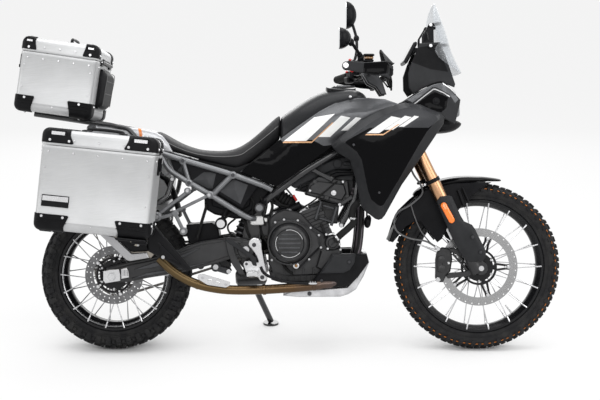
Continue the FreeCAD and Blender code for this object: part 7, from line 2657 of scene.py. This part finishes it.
def shock():
    """Damper with its spring, reservoir and hose."""
    top, bottom = v(569.6, 0, 592.4), v(458, 0, 352)
    along = (top - bottom).normalized()
    length = (top - bottom).length
    damper = Piece("damper_body", "chassis", "smooth_black", "machined_silver", slot="shock_steel",
                   replaces=("rear_shock",))
    damper.lathe([(0, 11), (40, 11), (46, 17), (140, 17), (146, 24), (length - 30, 24), (length - 20, 12),
                  (length, 12)], bottom, along, 28)
    damper.lathe([(28, 28), (34, 31), (40, 31), (42, 18)], bottom, along, 32)
    damper.lathe([(length - 52, 20), (length - 50, 31), (length - 44, 31), (length - 40, 26)], bottom, along,
                 32)
    damper.rod((458, -15, 352), (458, 15, 352), 14, 24)
    damper.lathe([(-146, 22), (-143, 24), (-104, 24), (-101, 22)], (443, 0, 530), "Y", 36)
    damper.rod((446, -132, 545), (466, -140, 590), 7)
    damper.paint = 1
    damper.lathe([(-153, 17), (-149, 19), (-144, 19)], (443, 0, 530), "Y", 12)
    damper.close(smooth=40)
    coil = Piece("spring_coil", "chassis", "frame_grey", slot="shock_steel")
    turns, steps = 7.5, 22
    frame_u = along.orthogonal().normalized()
    frame_w = along.cross(frame_u)
    points = []
    for k in range(int(turns * steps) + 1):
        a = 2 * math.pi * k / steps
        points.append(bottom + along * (44 + (length - 100) * k / (turns * steps))
                      + (frame_u * math.cos(a) + frame_w * math.sin(a)) * 25.5)
    coil.tube(points, 4.4, 10)
    coil.close(smooth=60)
    line = Piece("shock_hose", "chassis", "rubber", slot="shock_steel")
    line.bent([(566, -12, 580), (540, -60, 590), (500, -110, 580), (466, -128, 556), (450, -128, 545)], 4.5,
              10)
    line.close(smooth=60)


def chain_links():
    """A drive chain copied link by link round both sprockets."""
    pitch, width, across = 13.0, 13.0, 96  # the pitch decides how many links there are
    rear, front, big, small = REAR_AXLE, v(618, 0, 428), 106.5, 29.5
    tilt = math.atan2(front.z - rear.z, front.x - rear.x)
    spread = math.acos((big - small) / (front - rear).length)
    reach = math.sqrt((front - rear).length ** 2 - (big - small) ** 2)
    arc_front, arc_rear = small * 2 * spread, big * (2 * math.pi - 2 * spread)
    total = arc_front + arc_rear + 2 * reach
    count = round(total / pitch)
    points, turns = [], []

    def on_circle(centre, radius, angle):
        return v(centre.x + radius * math.cos(angle), across, centre.z + radius * math.sin(angle))
    for k in range(count):
        s = total * k / count
        if s < arc_front:
            angle = tilt - spread + s / small
            point, heading = on_circle(front, small, angle), angle + math.pi / 2
        elif s < arc_front + reach:
            t = (s - arc_front) / reach
            point = on_circle(front, small, tilt + spread).lerp(on_circle(rear, big, tilt + spread), t)
            heading = tilt + spread + math.pi / 2
        elif s < arc_front + reach + arc_rear:
            angle = tilt + spread + (s - arc_front - reach) / big
            point, heading = on_circle(rear, big, angle), angle + math.pi / 2
        else:
            t = (s - arc_front - reach - arc_rear) / reach
            point = on_circle(rear, big, tilt - spread).lerp(on_circle(front, small, tilt - spread), t)
            heading = tilt - spread + math.pi / 2
        points.append(point)
        turns.append(-heading)
    thing = repeat_at("links", "drive_chain", points, [("turn", "FLOAT", turns)], "chain_steel",
                      Pitch=size("chain_pitch"), Width=width)
    settle(thing, "chassis", ("chain",))
    guard = Piece("chain_guard", "chassis", "smooth_black", slot="black_plastic")
    guard.plate([(96, 440), (230, 470), (300, 472), (300, 462), (230, 458), (100, 430)], 84, 110, 2)
    guard.plate([(560, 392), (600, 384), (650, 388), (664, 430), (650, 470), (610, 476), (572, 466)], 104.5,
                108, 1.2)
    guard.close()


def rear_brake():
    """The rear caliper over its disc."""
    caliper = Piece("rear_caliper_body", "chassis", "engine_black", "machined_silver", slot="engine_black",
                    replaces=("rear_caliper",))
    low = -100
    caliper.plate([(60, 392), (96, 430), (150, 432), (166, 404), (150, 380), (96, 374)], low, -87, 4)
    caliper.plate([(84, 418), (96, 432), (150, 432), (166, 404), (152, 384), (126, 398), (104, 412)], -88,
                  -66, 3)
    caliper.plate([(84, 396), (100, 420), (142, 422), (150, 404), (138, 390), (96, 386)], low - 5, low + 2, 3)
    caliper.paint = 1
    for x, z in ((82, 392), (152, 396)):
        caliper.lathe([(low - 2, 6), (low - 8, 6), (low - 9, 4)], (x, 0, z), "Y", 16)
    caliper.close()


def foot_parts():
    """Pegs on their plates, the passenger's brackets and both pedals."""
    plate = [(554, 446), (559, 463), (579, 474), (600, 468), (610, 450), (610, 432), (620, 380), (632, 323),
             (633, 305), (621, 296), (604, 298), (594, 314), (557, 312), (545, 334), (533, 367), (545, 380),
             (566, 379), (590, 372), (597, 376), (590, 399), (572, 424)]
    for name, side in SIDES:
        low, high = span(side, 150, 161)
        peg = Piece("peg_plate_" + name, "chassis", "machined_silver", slot="bare_aluminium",
                    replaces=("footpeg_brackets",) if side < 0 else ())
        peg.plate(rounded(plate, 5, 2), low, high, 2.4)
        for x, z, r in ((579, 445, 17), (612, 314, 15), (548, 368, 12)):
            peg.lathe([(side * 158, r), (side * 164, r - 1), (side * 164, r * 0.55)], (x, 0, z), "Y", 28)
        spots = [(600, 455), (606, 330)] if side < 0 else [(560, 348), (606, 332)]
        for x, z in spots:
            peg.rod((x, side * 82, z), (x, side * 151, z), 9)
        peg.close()
        rest = Piece("peg_tread_" + name, "chassis", "machined_silver", "rubber", slot="bare_aluminium")
        rest.box((556, side * 208, 334), (8, 84, 18), bevel=2)
        rest.box((592, side * 208, 334), (8, 84, 18), bevel=2)
        for k in range(6):
            rest.box((574, side * (170 + k * 15.4), 336), (36, 5, 16), bevel=1)
        rest.paint = 1
        rest.box((574, side * 208, 331), (28, 72, 12), bevel=3)
        rest.close()
        heads("peg_bolts_" + name, "chassis",
              facing([(579, 445, 164, 9), (612, 314, 164, 9), (548, 368, 164, 6)], [side]), "black_bolt")
        truss = Piece("passenger_truss_" + name, "chassis", "frame_grey", slot="frame_grey",
                      replaces=("passenger_brackets",) if side < 0 else ())
        low, high = span(side, 165, 180)
        for a, b, wide in (((180, 560), (314, 664), 14), ((248, 574), (398, 648), 13),
                           ((200, 556), (262, 572), 15), ((258, 576), (294, 502), 14),
                           ((238, 570), (306, 600), 9)):
            bar(truss, a, b, wide, low, high, 3)
        for x, z, r in ((310, 665, 13), (398, 648, 13), (260, 573, 13), (294, 502, 16), (187, 560, 19)):
            truss.lathe([(side * 163, r), (side * 184, r), (side * 186, r - 2)], (x, 0, z), "Y", 28)
        truss.rod((187, side * 182, 560), (187, side * 196, 560), 17)
        truss.close()
        heads("truss_bolts_" + name, "chassis",
              facing([(310, 665, 186, 8), (398, 648, 186, 8), (294, 502, 186, 9), (187, 560, 196.5, 9)],
                     [side]))
    pedal = Piece("brake_pedal", "chassis", "satin_black", "machined_silver", slot="bare_aluminium")
    pedal.bent([(606, -164, 356), (616, -170, 336), (644, -180, 318), (720, -184, 296), (800, -184, 291)], 6,
               12)
    pedal.paint = 1
    pedal.box((816, -184, 293), (34, 26, 10), bevel=3)
    for x in (806, 816, 826):
        pedal.box((x, -184, 299), (4, 24, 4), bevel=1)
    pedal.close(smooth=40)
    lever = Piece("shift_lever", "chassis", "satin_black", "rubber", slot="bare_aluminium")
    lever.bent([(606, 164, 356), (660, 176, 340), (730, 182, 330), (790, 184, 334)], 5, 12)
    lever.paint = 1
    lever.rod((790, 176, 334), (790, 204, 334), 8)
    lever.close(smooth=40)


def racks():
    """Tubes and deck under the top box, and the tube racks of the side boxes."""
    rack = Piece("luggage_rack", "chassis", "frame_black", slot="frame_grey", replaces=("top_rack",))
    for side in (-1, 1):
        rack.bent(mirrored([(120, -142, 852), (84, -142, 896), (62, -140, 916), (20, -132, 926),
                            (-30, -122, 935.4), (-170, -120, 955), (-320, -118, 976)], side), 9.6, 16)
    for x in (-290, -210, -132):
        z = 935.4 - (x + 30) * 0.1403
        rack.rod((x, -119, z), (x, 119, z), 9.4, 16)
    rack.close(smooth=40)
    deck = Piece("rack_deck", "chassis", "engine_grey", slot="frame_grey")
    for side in (-1, 1):
        low, high = span(side, 84, 116)
        deck.plate([(-318, 966), (-318, 980), (-130, 955), (-30, 940), (20, 928), (20, 916), (-40, 924)], low,
                   high, 4)
    for x in (-300, -240, -180, -120, -60, -6):
        z = 937 - (x + 30) * 0.1403
        deck.box((x, 0, z), (26, 200, 8), about_y(8), 2.5)
    deck.close()
    side_rack = Piece("case_rack_tubes", "chassis", "frame_black", slot="frame_grey",
                      replaces=("pannier_racks",))
    for side in (-1, 1):
        side_rack.bent(mirrored([(170, -174, 806), (150, -190, 798), (110, -226, 782), (20, -227, 788),
                                 (-130, -227, 802), (-154, -227, 790), (-160, -227, 760), (-170, -227, 670),
                                 (-162, -227, 646), (-120, -227, 634), (120, -227, 603), (170, -227, 608),
                                 (212, -227, 630), (232, -216, 650), (250, -176, 712)], side), 9.6, 16)
        side_rack.tube(mirrored([(-20, -227, 788), (-36, -227, 622)], side), 8, 14)
        for x, y, z in ((168, 172, 806), (250, 176, 712)):
            side_rack.rod((x, side * (y - 20), z), (x, side * (y + 12), z), 11)
    side_rack.close(smooth=40)
    heads("rack_bolts", "chassis", facing([(168, 806, 185, 8), (250, 712, 189, 8)]))


def rear_guards():
    """Plate carrier with a blank plate, rear lamp, signals and the inner mudguard."""
    holder = Piece("plate_carrier", "chassis", "smooth_black", slot="black_plastic",
                   replaces=("plate_holder",))
    rings = []
    for x, z, half, thick in ((-100, 862, 44, 20), (-104, 842, 46, 16), (-130, 780, 50, 12),
                              (-152, 706, 66, 12), (-170, 690, 92, 10), (-204, 646, 96, 9),
                              (-240, 604, 94, 9)):
        rings.append([v(x - thick / 2, -half, z), v(x - thick / 2, half, z), v(x + thick / 2, half, z - 3),
                      v(x + thick / 2, -half, z - 3)])
    holder.loft(rings)
    holder.plate([(-146, 866), (-60, 862), (-66, 846), (-134, 842)], -58, 58, 3)
    holder.close()
    blank = Piece("number_plate_blank", "chassis", "stripe_white", slot="grey_plastic")
    blank.box((-212, 0, 653), (84, 176, 2.2), about_y(-51), 1)
    blank.close()
    lamp = Piece("tail_lamp_lens", "chassis", "lamp_red", "smooth_black", slot="black_plastic")
    lamp.paint = 1
    lamp.plate([(-140, 866), (-119.5, 866), (-121, 914), (-138, 912)], -60, 60, 3)
    lamp.paint = 0
    lamp.plate([(-147, 870), (-138, 869), (-137, 908), (-144, 906)], -54, 54, 3)
    lamp.close()
    signals = Piece("rear_signals", "chassis", "smooth_black", "reflector_orange", slot="black_plastic")
    for side in (-1, 1):
        signals.paint = 0
        signals.rod((-134, side * 40, 800), (-140, side * 96, 806), 5)
        signals.ball((-142, side * 116, 808), (10, 26, 13), 8, 14)
        signals.paint = 1
        signals.ball((-147, side * 116, 808), (8, 22, 10), 8, 14)
    signals.close(smooth=60)
    guard = Piece("inner_mudguard", "chassis", "grained_black", slot="black_plastic",
                  replaces=("rear_mudguard",))
    rings = []
    for x, z, out in ((128, 822, 10), (136, 786, 10), (152, 742, 12), (176, 728, 14), (206, 708, 12),
                      (234, 652, 12), (252, 594, 12), (262, 552, 8)):
        rings.append([v(x, -62, z - 6), v(x + 2, -58, z), v(x + out, -30, z + 2), v(x + out + 2, 0, z + 3),
                      v(x + out, 30, z + 2), v(x + 2, 58, z), v(x, 62, z - 6), v(x - 3, 56, z - 6),
                      v(x + out - 5, 0, z - 3), v(x - 3, -56, z - 6)])
    guard.loft(rings)
    guard.close(smooth=50)


# ---------------------------------------------------------------- stage

LENS_MM = 68.7
LENS_SHIFT = (0.02, -0.0767)
CAMERA_PLACE = (0.7162, -4.8, 0.8134)  # metres on the upright machine, looking along +Y
FLOOR_HALF = 40  # metres
LAMPS = [  # name, place on the upright machine in metres, size, power
    ("overhead", (0.7, -0.4, 4.2), (5.0, 3.2), 150),
    ("right_side", (0.9, -5.5, 2.6), (4.5, 2.2), 95),
    ("front", (4.6, -2.2, 2.2), (2.4, 2.4), 60),
    ("rear", (-4.0, -1.6, 2.4), (2.4, 2.4), 45),
    ("left_side", (0.6, 4.6, 3.0), (4.0, 2.0), 70),
]


def seen_directly(f):
    """1 for rays from the camera, through clear sheets and off glossy faces, 0 for the rest."""
    rays = f.node("ShaderNodeLightPath")
    camera = rays.value("Is Camera Ray")
    seen = camera.math("MAXIMUM", camera, rays.value("Is Transmission Ray"))
    return seen.math("MAXIMUM", seen, rays.value("Is Glossy Ray"))


def stage():
    """Pale floor with a painted contact shadow, soft lamps and the camera."""
    sizes = bpy.context.scene.motorcycle_sizes
    world = bpy.context.scene.world or bpy.data.worlds.new("studio")
    bpy.context.scene.world = world
    f = Finish(world)
    seen = seen_directly(f)
    level = seen.math("MULTIPLY_ADD", seen, 1 - sizes.world_light, sizes.world_light)
    back = f.node("ShaderNodeBackground", None, {"Color": (1, 1, 1, 1), "Strength": level}).value()
    f.node("ShaderNodeOutputWorld", None, {"Surface": back})
    floor = bmesh.new()
    bmesh.ops.create_grid(floor, x_segments=2, y_segments=2, size=FLOOR_HALF)
    thing = plain_object("floor", floor)
    f = Finish(bpy.data.materials.new("floor_white"))
    lit = f.node("ShaderNodeBsdfDiffuse", None, {"Color": (0.92, 0.92, 0.92, 1)}).value()
    # Ambient occlusion near the machine takes the white glow away, so the darker lit floor shows there: a
    # painted contact shadow added to the shadow the lamps cast.
    near = f.node("ShaderNodeAmbientOcclusion", {"samples": 12}, {"Distance": 0.30}).value("AO")
    open_sky = f.band(near, 0.35, 0.92)
    bright = f.node("ShaderNodeEmission", None, {"Color": (1, 1, 1, 1), "Strength": 1.0}).value()
    both = f.node("ShaderNodeMixShader", None, {
        "Fac": seen_directly(f) * (1 - sizes.shadow_depth) * open_sky, 1: lit, 2: bright}).value()
    f.node("ShaderNodeOutputMaterial", None, {"Surface": both})
    thing.data.materials.append(f.owner)
    middle = PARKED @ v(0.72, 0, 0.7)
    for name, place, (wide, high), power in LAMPS:
        lamp = bpy.data.lights.new(name, "AREA")
        lamp.shape = "RECTANGLE"
        lamp.size, lamp.size_y = wide, high
        lamp.energy = power * sizes.lamp_light
        thing = place_in_scene(name, lamp)
        thing.location = PARKED @ Vector(place)
        thing.rotation_euler = (middle - thing.location).to_track_quat("-Z", "Y").to_euler()
    camera = bpy.data.cameras.new("camera")
    camera.lens = LENS_MM
    camera.sensor_width = 36
    camera.shift_x, camera.shift_y = LENS_SHIFT
    camera.clip_end = 200
    thing = place_in_scene("camera", camera)
    thing.matrix_world = PARKED @ Matrix.Translation(CAMERA_PLACE) @ Matrix.Rotation(math.radians(90), 4, "X")
    bpy.context.scene.camera = thing
    bpy.context.scene.view_settings.view_transform = "Standard"


CAD_FINISH = {
    "engine_black": "engine radiator airbox",
    "frame_black": "main_frame side_stand stand_mount plate_holder rear_mudguard",
    "frame_grey": "subframe pannier_racks top_rack passenger_brackets",
    "cast_silver": "skid_plate swingarm footpeg_brackets front_caliper rear_caliper",
    "exhaust_bronze": "exhaust_pipe",
    "silencer_grey": "silencer",
    "smooth_black": "exhaust_guards seat_rail_panels cockpit dash nose_stay handguards",
    "fork_gold": "fork",
    "gloss_black": "shroud_right shroud_left nose_cowl",
    "graphite_paint": "fuel_tank side_panel_right side_panel_left beak",
    "tail_silver": "tail_cover",
    "seat_vinyl": "seat backrest_pad",
    "lamp_glass": "headlamp",
    "clear_screen": "windscreen",
    "grained_black": "mirrors fork_guards front_fender",
    "satin_black": "handlebar levers",
    "rubber": "front_brake_hose",
    "tyre_rubber": "front_tyre rear_tyre",
    "rim_black": "front_wheel_rim rear_wheel_rim",
    "disc_steel": "front_brake_disc rear_brake_disc",
    "chain_steel": "chain rear_sprocket rear_shock",
    "box_aluminium": "pannier_right pannier_left top_box pannier_right_lid pannier_left_lid top_box_lid",
}


def dress_cad_nodes():
    """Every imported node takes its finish, whether it stays in view or a piece stands for it."""
    for material, names in CAD_FINISH.items():
        for name in names.split():
            slots = frame["nodes"][name].data.materials
            slots.clear()
            slots.append(finish_named(material))


# ---------------------------------------------------------------- add-on

def length(name, text, default, low, high):
    """A size in metres that the sidebar shows with its unit."""
    return FloatProperty(name=name, description=text, default=default, min=low, max=high, unit="LENGTH",
                         precision=5)


def shade(name, text, default):
    """A colour of one of the finishes."""
    return FloatVectorProperty(name=name, description=text, default=default, size=3, min=0, max=1,
                               subtype="COLOR")


class MotorcycleSizes(bpy.types.PropertyGroup):
    """Sizes of the fine parts and the levels of the lamps."""
    spoke_radius: length("Spoke radius", "Half the thickness of a spoke", 0.0023, 0.0015, 0.004)
    rivet_radius: length("Rivet radius", "Half the width of the rivet heads on the case guards", 0.006, 0.003,
                         0.009)
    guard_wall: length("Guard wall", "Thickness of the moulded corner guards on the cases", 0.0042, 0.002,
                       0.006)
    chain_pitch: length("Chain pitch", "Distance from pin to pin of a drawn chain link", 0.013, 0.010, 0.016)
    front_blocks: IntProperty(name="Front tread blocks",
                              description="Rows of tread blocks round the front tyre", default=38, min=24,
                              max=60)
    lamp_light: FloatProperty(name="Lamps", description="Level of all lamps", default=1.0, min=0.2, max=2.0,
                              subtype="FACTOR")
    world_light: FloatProperty(name="Surrounding light", description="Light from all round", default=0.40,
                               min=0, max=1, subtype="FACTOR")
    shadow_depth: FloatProperty(name="Shadow", description="How much of the shadow the floor shows",
                                default=0.16, min=0, max=1, subtype="FACTOR")


class MotorcycleColours(bpy.types.PropertyGroup):
    """Colours of the main finishes."""
    tank: shade("Tank", "Graphite paint of the tank", (0.011, 0.0115, 0.013))
    panel: shade("Side panels", "Silver-grey paint of the side panels", (0.085, 0.087, 0.092))
    white_band: shade("White bands", "Light bands on the side panels and shrouds", (0.78, 0.78, 0.77))
    orange_band: shade("Orange band", "Orange accent on the tail", (0.72, 0.20, 0.03))
    tail: shade("Tail", "Silver paint of the tail", (0.42, 0.425, 0.44))
    box: shade("Cases", "Brushed sheet of the three cases", (0.56, 0.565, 0.57))
    black_plastic: shade("Black plastic", "Grained black mouldings", (0.005, 0.005, 0.0057))
    rear_frame: shade("Rear frame", "Painted tubes of the rear frame", (0.155, 0.158, 0.165))
    engine: shade("Engine", "Painted castings of the engine", (0.010, 0.010, 0.011))
    fork: shade("Fork", "Anodised fork tubes", (0.52, 0.30, 0.17))
    rim: shade("Rims", "Painted rims and hubs", (0.006, 0.006, 0.007))
    reflector: shade("Side reflectors", "Reflectors on the fork guards", (0.95, 0.19, 0.005))


class MOTORCYCLE_OT_stage(bpy.types.Operator):
    """Make the floor, the lamps and the camera"""
    bl_idname = "motorcycle.stage"
    bl_label = "Stage"

    def execute(self, context):
        stage()
        return {"FINISHED"}


class MOTORCYCLE_OT_finishes(bpy.types.Operator):
    """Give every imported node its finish"""
    bl_idname = "motorcycle.finishes"
    bl_label = "Frame finishes"

    def execute(self, context):
        dress_cad_nodes()
        return {"FINISHED"}


class MOTORCYCLE_OT_tyres(bpy.types.Operator):
    """Make both tyres with their tread blocks"""
    bl_idname = "motorcycle.tyres"
    bl_label = "Tyres"

    def execute(self, context):
        tyres()
        return {"FINISHED"}


class MOTORCYCLE_OT_wheels(bpy.types.Operator):
    """Make rims, hubs, spokes and the front valve"""
    bl_idname = "motorcycle.wheels"
    bl_label = "Wheels"

    def execute(self, context):
        spoked_wheels()
        return {"FINISHED"}


class MOTORCYCLE_OT_discs(bpy.types.Operator):
    """Make the drilled discs with their carriers"""
    bl_idname = "motorcycle.discs"
    bl_label = "Brake discs"

    def execute(self, context):
        brake_discs()
        return {"FINISHED"}


class MOTORCYCLE_OT_sprocket(bpy.types.Operator):
    """Make the sprocket and the ends of both axles"""
    bl_idname = "motorcycle.sprocket"
    bl_label = "Rear sprocket"

    def execute(self, context):
        sprocket()
        axle_ends()
        return {"FINISHED"}


class MOTORCYCLE_OT_tank(bpy.types.Operator):
    """Make the tank cover, filler and cap"""
    bl_idname = "motorcycle.tank"
    bl_label = "Tank"

    def execute(self, context):
        tank()
        return {"FINISHED"}


class MOTORCYCLE_OT_side_panels(bpy.types.Operator):
    """Make the painted side panels with their bands"""
    bl_idname = "motorcycle.side_panels"
    bl_label = "Side panels"

    def execute(self, context):
        side_panels()
        return {"FINISHED"}


class MOTORCYCLE_OT_shrouds(bpy.types.Operator):
    """Make the gloss shrouds beside the radiator"""
    bl_idname = "motorcycle.shrouds"
    bl_label = "Shrouds"

    def execute(self, context):
        shrouds()
        return {"FINISHED"}


class MOTORCYCLE_OT_seat(bpy.types.Operator):
    """Make the padded seat and its seams"""
    bl_idname = "motorcycle.seat"
    bl_label = "Seat"

    def execute(self, context):
        seat()
        return {"FINISHED"}


class MOTORCYCLE_OT_tail(bpy.types.Operator):
    """Make the tail cover and its side wings"""
    bl_idname = "motorcycle.tail"
    bl_label = "Tail"

    def execute(self, context):
        tail()
        return {"FINISHED"}


class MOTORCYCLE_OT_nose(bpy.types.Operator):
    """Make the headlamp, cowl and beak"""
    bl_idname = "motorcycle.nose"
    bl_label = "Nose"

    def execute(self, context):
        nose()
        beak()
        return {"FINISHED"}


class MOTORCYCLE_OT_screen(bpy.types.Operator):
    """Make the clear screen, its brackets and the dash"""
    bl_idname = "motorcycle.screen"
    bl_label = "Windscreen"

    def execute(self, context):
        windscreen()
        cockpit()
        return {"FINISHED"}


class MOTORCYCLE_OT_cases(bpy.types.Operator):
    """Make the three hard cases with guards, latches and hinges"""
    bl_idname = "motorcycle.cases"
    bl_label = "Cases"

    def execute(self, context):
        for entry in CASES:
            hard_case(*entry)
        return {"FINISHED"}


class MOTORCYCLE_OT_engine(bpy.types.Operator):
    """Make the crankcase and the cylinder"""
    bl_idname = "motorcycle.engine"
    bl_label = "Engine"

    def execute(self, context):
        crankcase()
        cylinder()
        return {"FINISHED"}


class MOTORCYCLE_OT_breathing(bpy.types.Operator):
    """Make boots, electrics box, sump and wiring"""
    bl_idname = "motorcycle.breathing"
    bl_label = "Intake and oil"

    def execute(self, context):
        breathing()
        return {"FINISHED"}


class MOTORCYCLE_OT_cooling(bpy.types.Operator):
    """Make radiator, hoses, horn and airbox cover"""
    bl_idname = "motorcycle.cooling"
    bl_label = "Cooling"

    def execute(self, context):
        cooling()
        return {"FINISHED"}


class MOTORCYCLE_OT_belly_guard(bpy.types.Operator):
    """Make the guard plate under the engine"""
    bl_idname = "motorcycle.belly_guard"
    bl_label = "Belly guard"

    def execute(self, context):
        belly_guard()
        return {"FINISHED"}


class MOTORCYCLE_OT_exhaust(bpy.types.Operator):
    """Make header pipes, silencer and heat shield"""
    bl_idname = "motorcycle.exhaust"
    bl_label = "Exhaust"

    def execute(self, context):
        exhaust()
        return {"FINISHED"}


class MOTORCYCLE_OT_fork(bpy.types.Operator):
    """Make fork legs and clamps"""
    bl_idname = "motorcycle.fork"
    bl_label = "Fork"

    def execute(self, context):
        fork_legs()
        return {"FINISHED"}


class MOTORCYCLE_OT_fender(bpy.types.Operator):
    """Make fork guards, reflectors and the fender"""
    bl_idname = "motorcycle.fender"
    bl_label = "Front fender"

    def execute(self, context):
        guards_and_fender()
        return {"FINISHED"}


class MOTORCYCLE_OT_front_brake(bpy.types.Operator):
    """Make the front caliper and its hose"""
    bl_idname = "motorcycle.front_brake"
    bl_label = "Front brake"

    def execute(self, context):
        front_brake()
        return {"FINISHED"}


class MOTORCYCLE_OT_bars(bpy.types.Operator):
    """Make bar, clamps, levers, cables and hand guards"""
    bl_idname = "motorcycle.bars"
    bl_label = "Handlebar"

    def execute(self, context):
        bars()
        hand_guards()
        return {"FINISHED"}


class MOTORCYCLE_OT_mirrors(bpy.types.Operator):
    """Make both mirrors and their stems"""
    bl_idname = "motorcycle.mirrors"
    bl_label = "Mirrors"

    def execute(self, context):
        mirrors()
        return {"FINISHED"}


class MOTORCYCLE_OT_frame_tubes(bpy.types.Operator):
    """Make the main frame and the rear frame"""
    bl_idname = "motorcycle.frame_tubes"
    bl_label = "Frame"

    def execute(self, context):
        main_tubes()
        rear_tubes()
        return {"FINISHED"}


class MOTORCYCLE_OT_swingarm(bpy.types.Operator):
    """Make swingarm, hugger, linkage and shock"""
    bl_idname = "motorcycle.swingarm"
    bl_label = "Swingarm"

    def execute(self, context):
        rear_fork()
        rear_details()
        shock()
        return {"FINISHED"}


class MOTORCYCLE_OT_chain(bpy.types.Operator):
    """Make the drive chain and its guard"""
    bl_idname = "motorcycle.chain"
    bl_label = "Chain"

    def execute(self, context):
        chain_links()
        return {"FINISHED"}


class MOTORCYCLE_OT_rear_brake(bpy.types.Operator):
    """Make the rear caliper"""
    bl_idname = "motorcycle.rear_brake"
    bl_label = "Rear brake"

    def execute(self, context):
        rear_brake()
        return {"FINISHED"}


class MOTORCYCLE_OT_foot_parts(bpy.types.Operator):
    """Make pegs, brackets and pedals"""
    bl_idname = "motorcycle.foot_parts"
    bl_label = "Foot parts"

    def execute(self, context):
        foot_parts()
        return {"FINISHED"}


class MOTORCYCLE_OT_racks(bpy.types.Operator):
    """Make the racks, rear mudguard, plate carrier and rear lamps"""
    bl_idname = "motorcycle.racks"
    bl_label = "Racks"

    def execute(self, context):
        racks()
        rear_guards()
        return {"FINISHED"}


OPERATORS = (MOTORCYCLE_OT_stage, MOTORCYCLE_OT_finishes, MOTORCYCLE_OT_tyres, MOTORCYCLE_OT_wheels,
             MOTORCYCLE_OT_discs, MOTORCYCLE_OT_sprocket, MOTORCYCLE_OT_tank, MOTORCYCLE_OT_side_panels,
             MOTORCYCLE_OT_shrouds, MOTORCYCLE_OT_seat, MOTORCYCLE_OT_tail, MOTORCYCLE_OT_nose,
             MOTORCYCLE_OT_screen, MOTORCYCLE_OT_cases, MOTORCYCLE_OT_engine, MOTORCYCLE_OT_breathing,
             MOTORCYCLE_OT_cooling, MOTORCYCLE_OT_belly_guard, MOTORCYCLE_OT_exhaust, MOTORCYCLE_OT_fork,
             MOTORCYCLE_OT_fender, MOTORCYCLE_OT_front_brake, MOTORCYCLE_OT_bars, MOTORCYCLE_OT_mirrors,
             MOTORCYCLE_OT_frame_tubes, MOTORCYCLE_OT_swingarm, MOTORCYCLE_OT_chain, MOTORCYCLE_OT_rear_brake,
             MOTORCYCLE_OT_foot_parts, MOTORCYCLE_OT_racks)


class MOTORCYCLE_PT_sidebar(bpy.types.Panel):
    """Lists the operators, sizes and colours"""
    bl_label = "Motorcycle"
    bl_idname = "MOTORCYCLE_PT_sidebar"
    bl_space_type = "VIEW_3D"
    bl_region_type = "UI"
    bl_category = "Motorcycle"

    def draw(self, context):
        column = self.layout.column(align=True)
        for operator in OPERATORS:
            column.operator(operator.bl_idname)
        scene = context.scene
        for label, group in (("Sizes", scene.motorcycle_sizes), ("Colours", scene.motorcycle_colours)):
            box = self.layout.box()
            box.label(text=label)
            for name in group.__annotations__:
                box.prop(group, name)


CLASSES = (MotorcycleSizes, MotorcycleColours, *OPERATORS, MOTORCYCLE_PT_sidebar)


def register():
    for kind in CLASSES:
        bpy.utils.register_class(kind)
    bpy.types.Scene.motorcycle_sizes = PointerProperty(type=MotorcycleSizes)
    bpy.types.Scene.motorcycle_colours = PointerProperty(type=MotorcycleColours)


def unregister():
    del bpy.types.Scene.motorcycle_colours
    del bpy.types.Scene.motorcycle_sizes
    for kind in reversed(CLASSES):
        bpy.utils.unregister_class(kind)


def main():
    """Builds everything in order."""
    register()
    for operator in OPERATORS:
        group, name = operator.bl_idname.split(".")
        getattr(getattr(bpy.ops, group), name)()


if __name__ == "__main__":
    main()
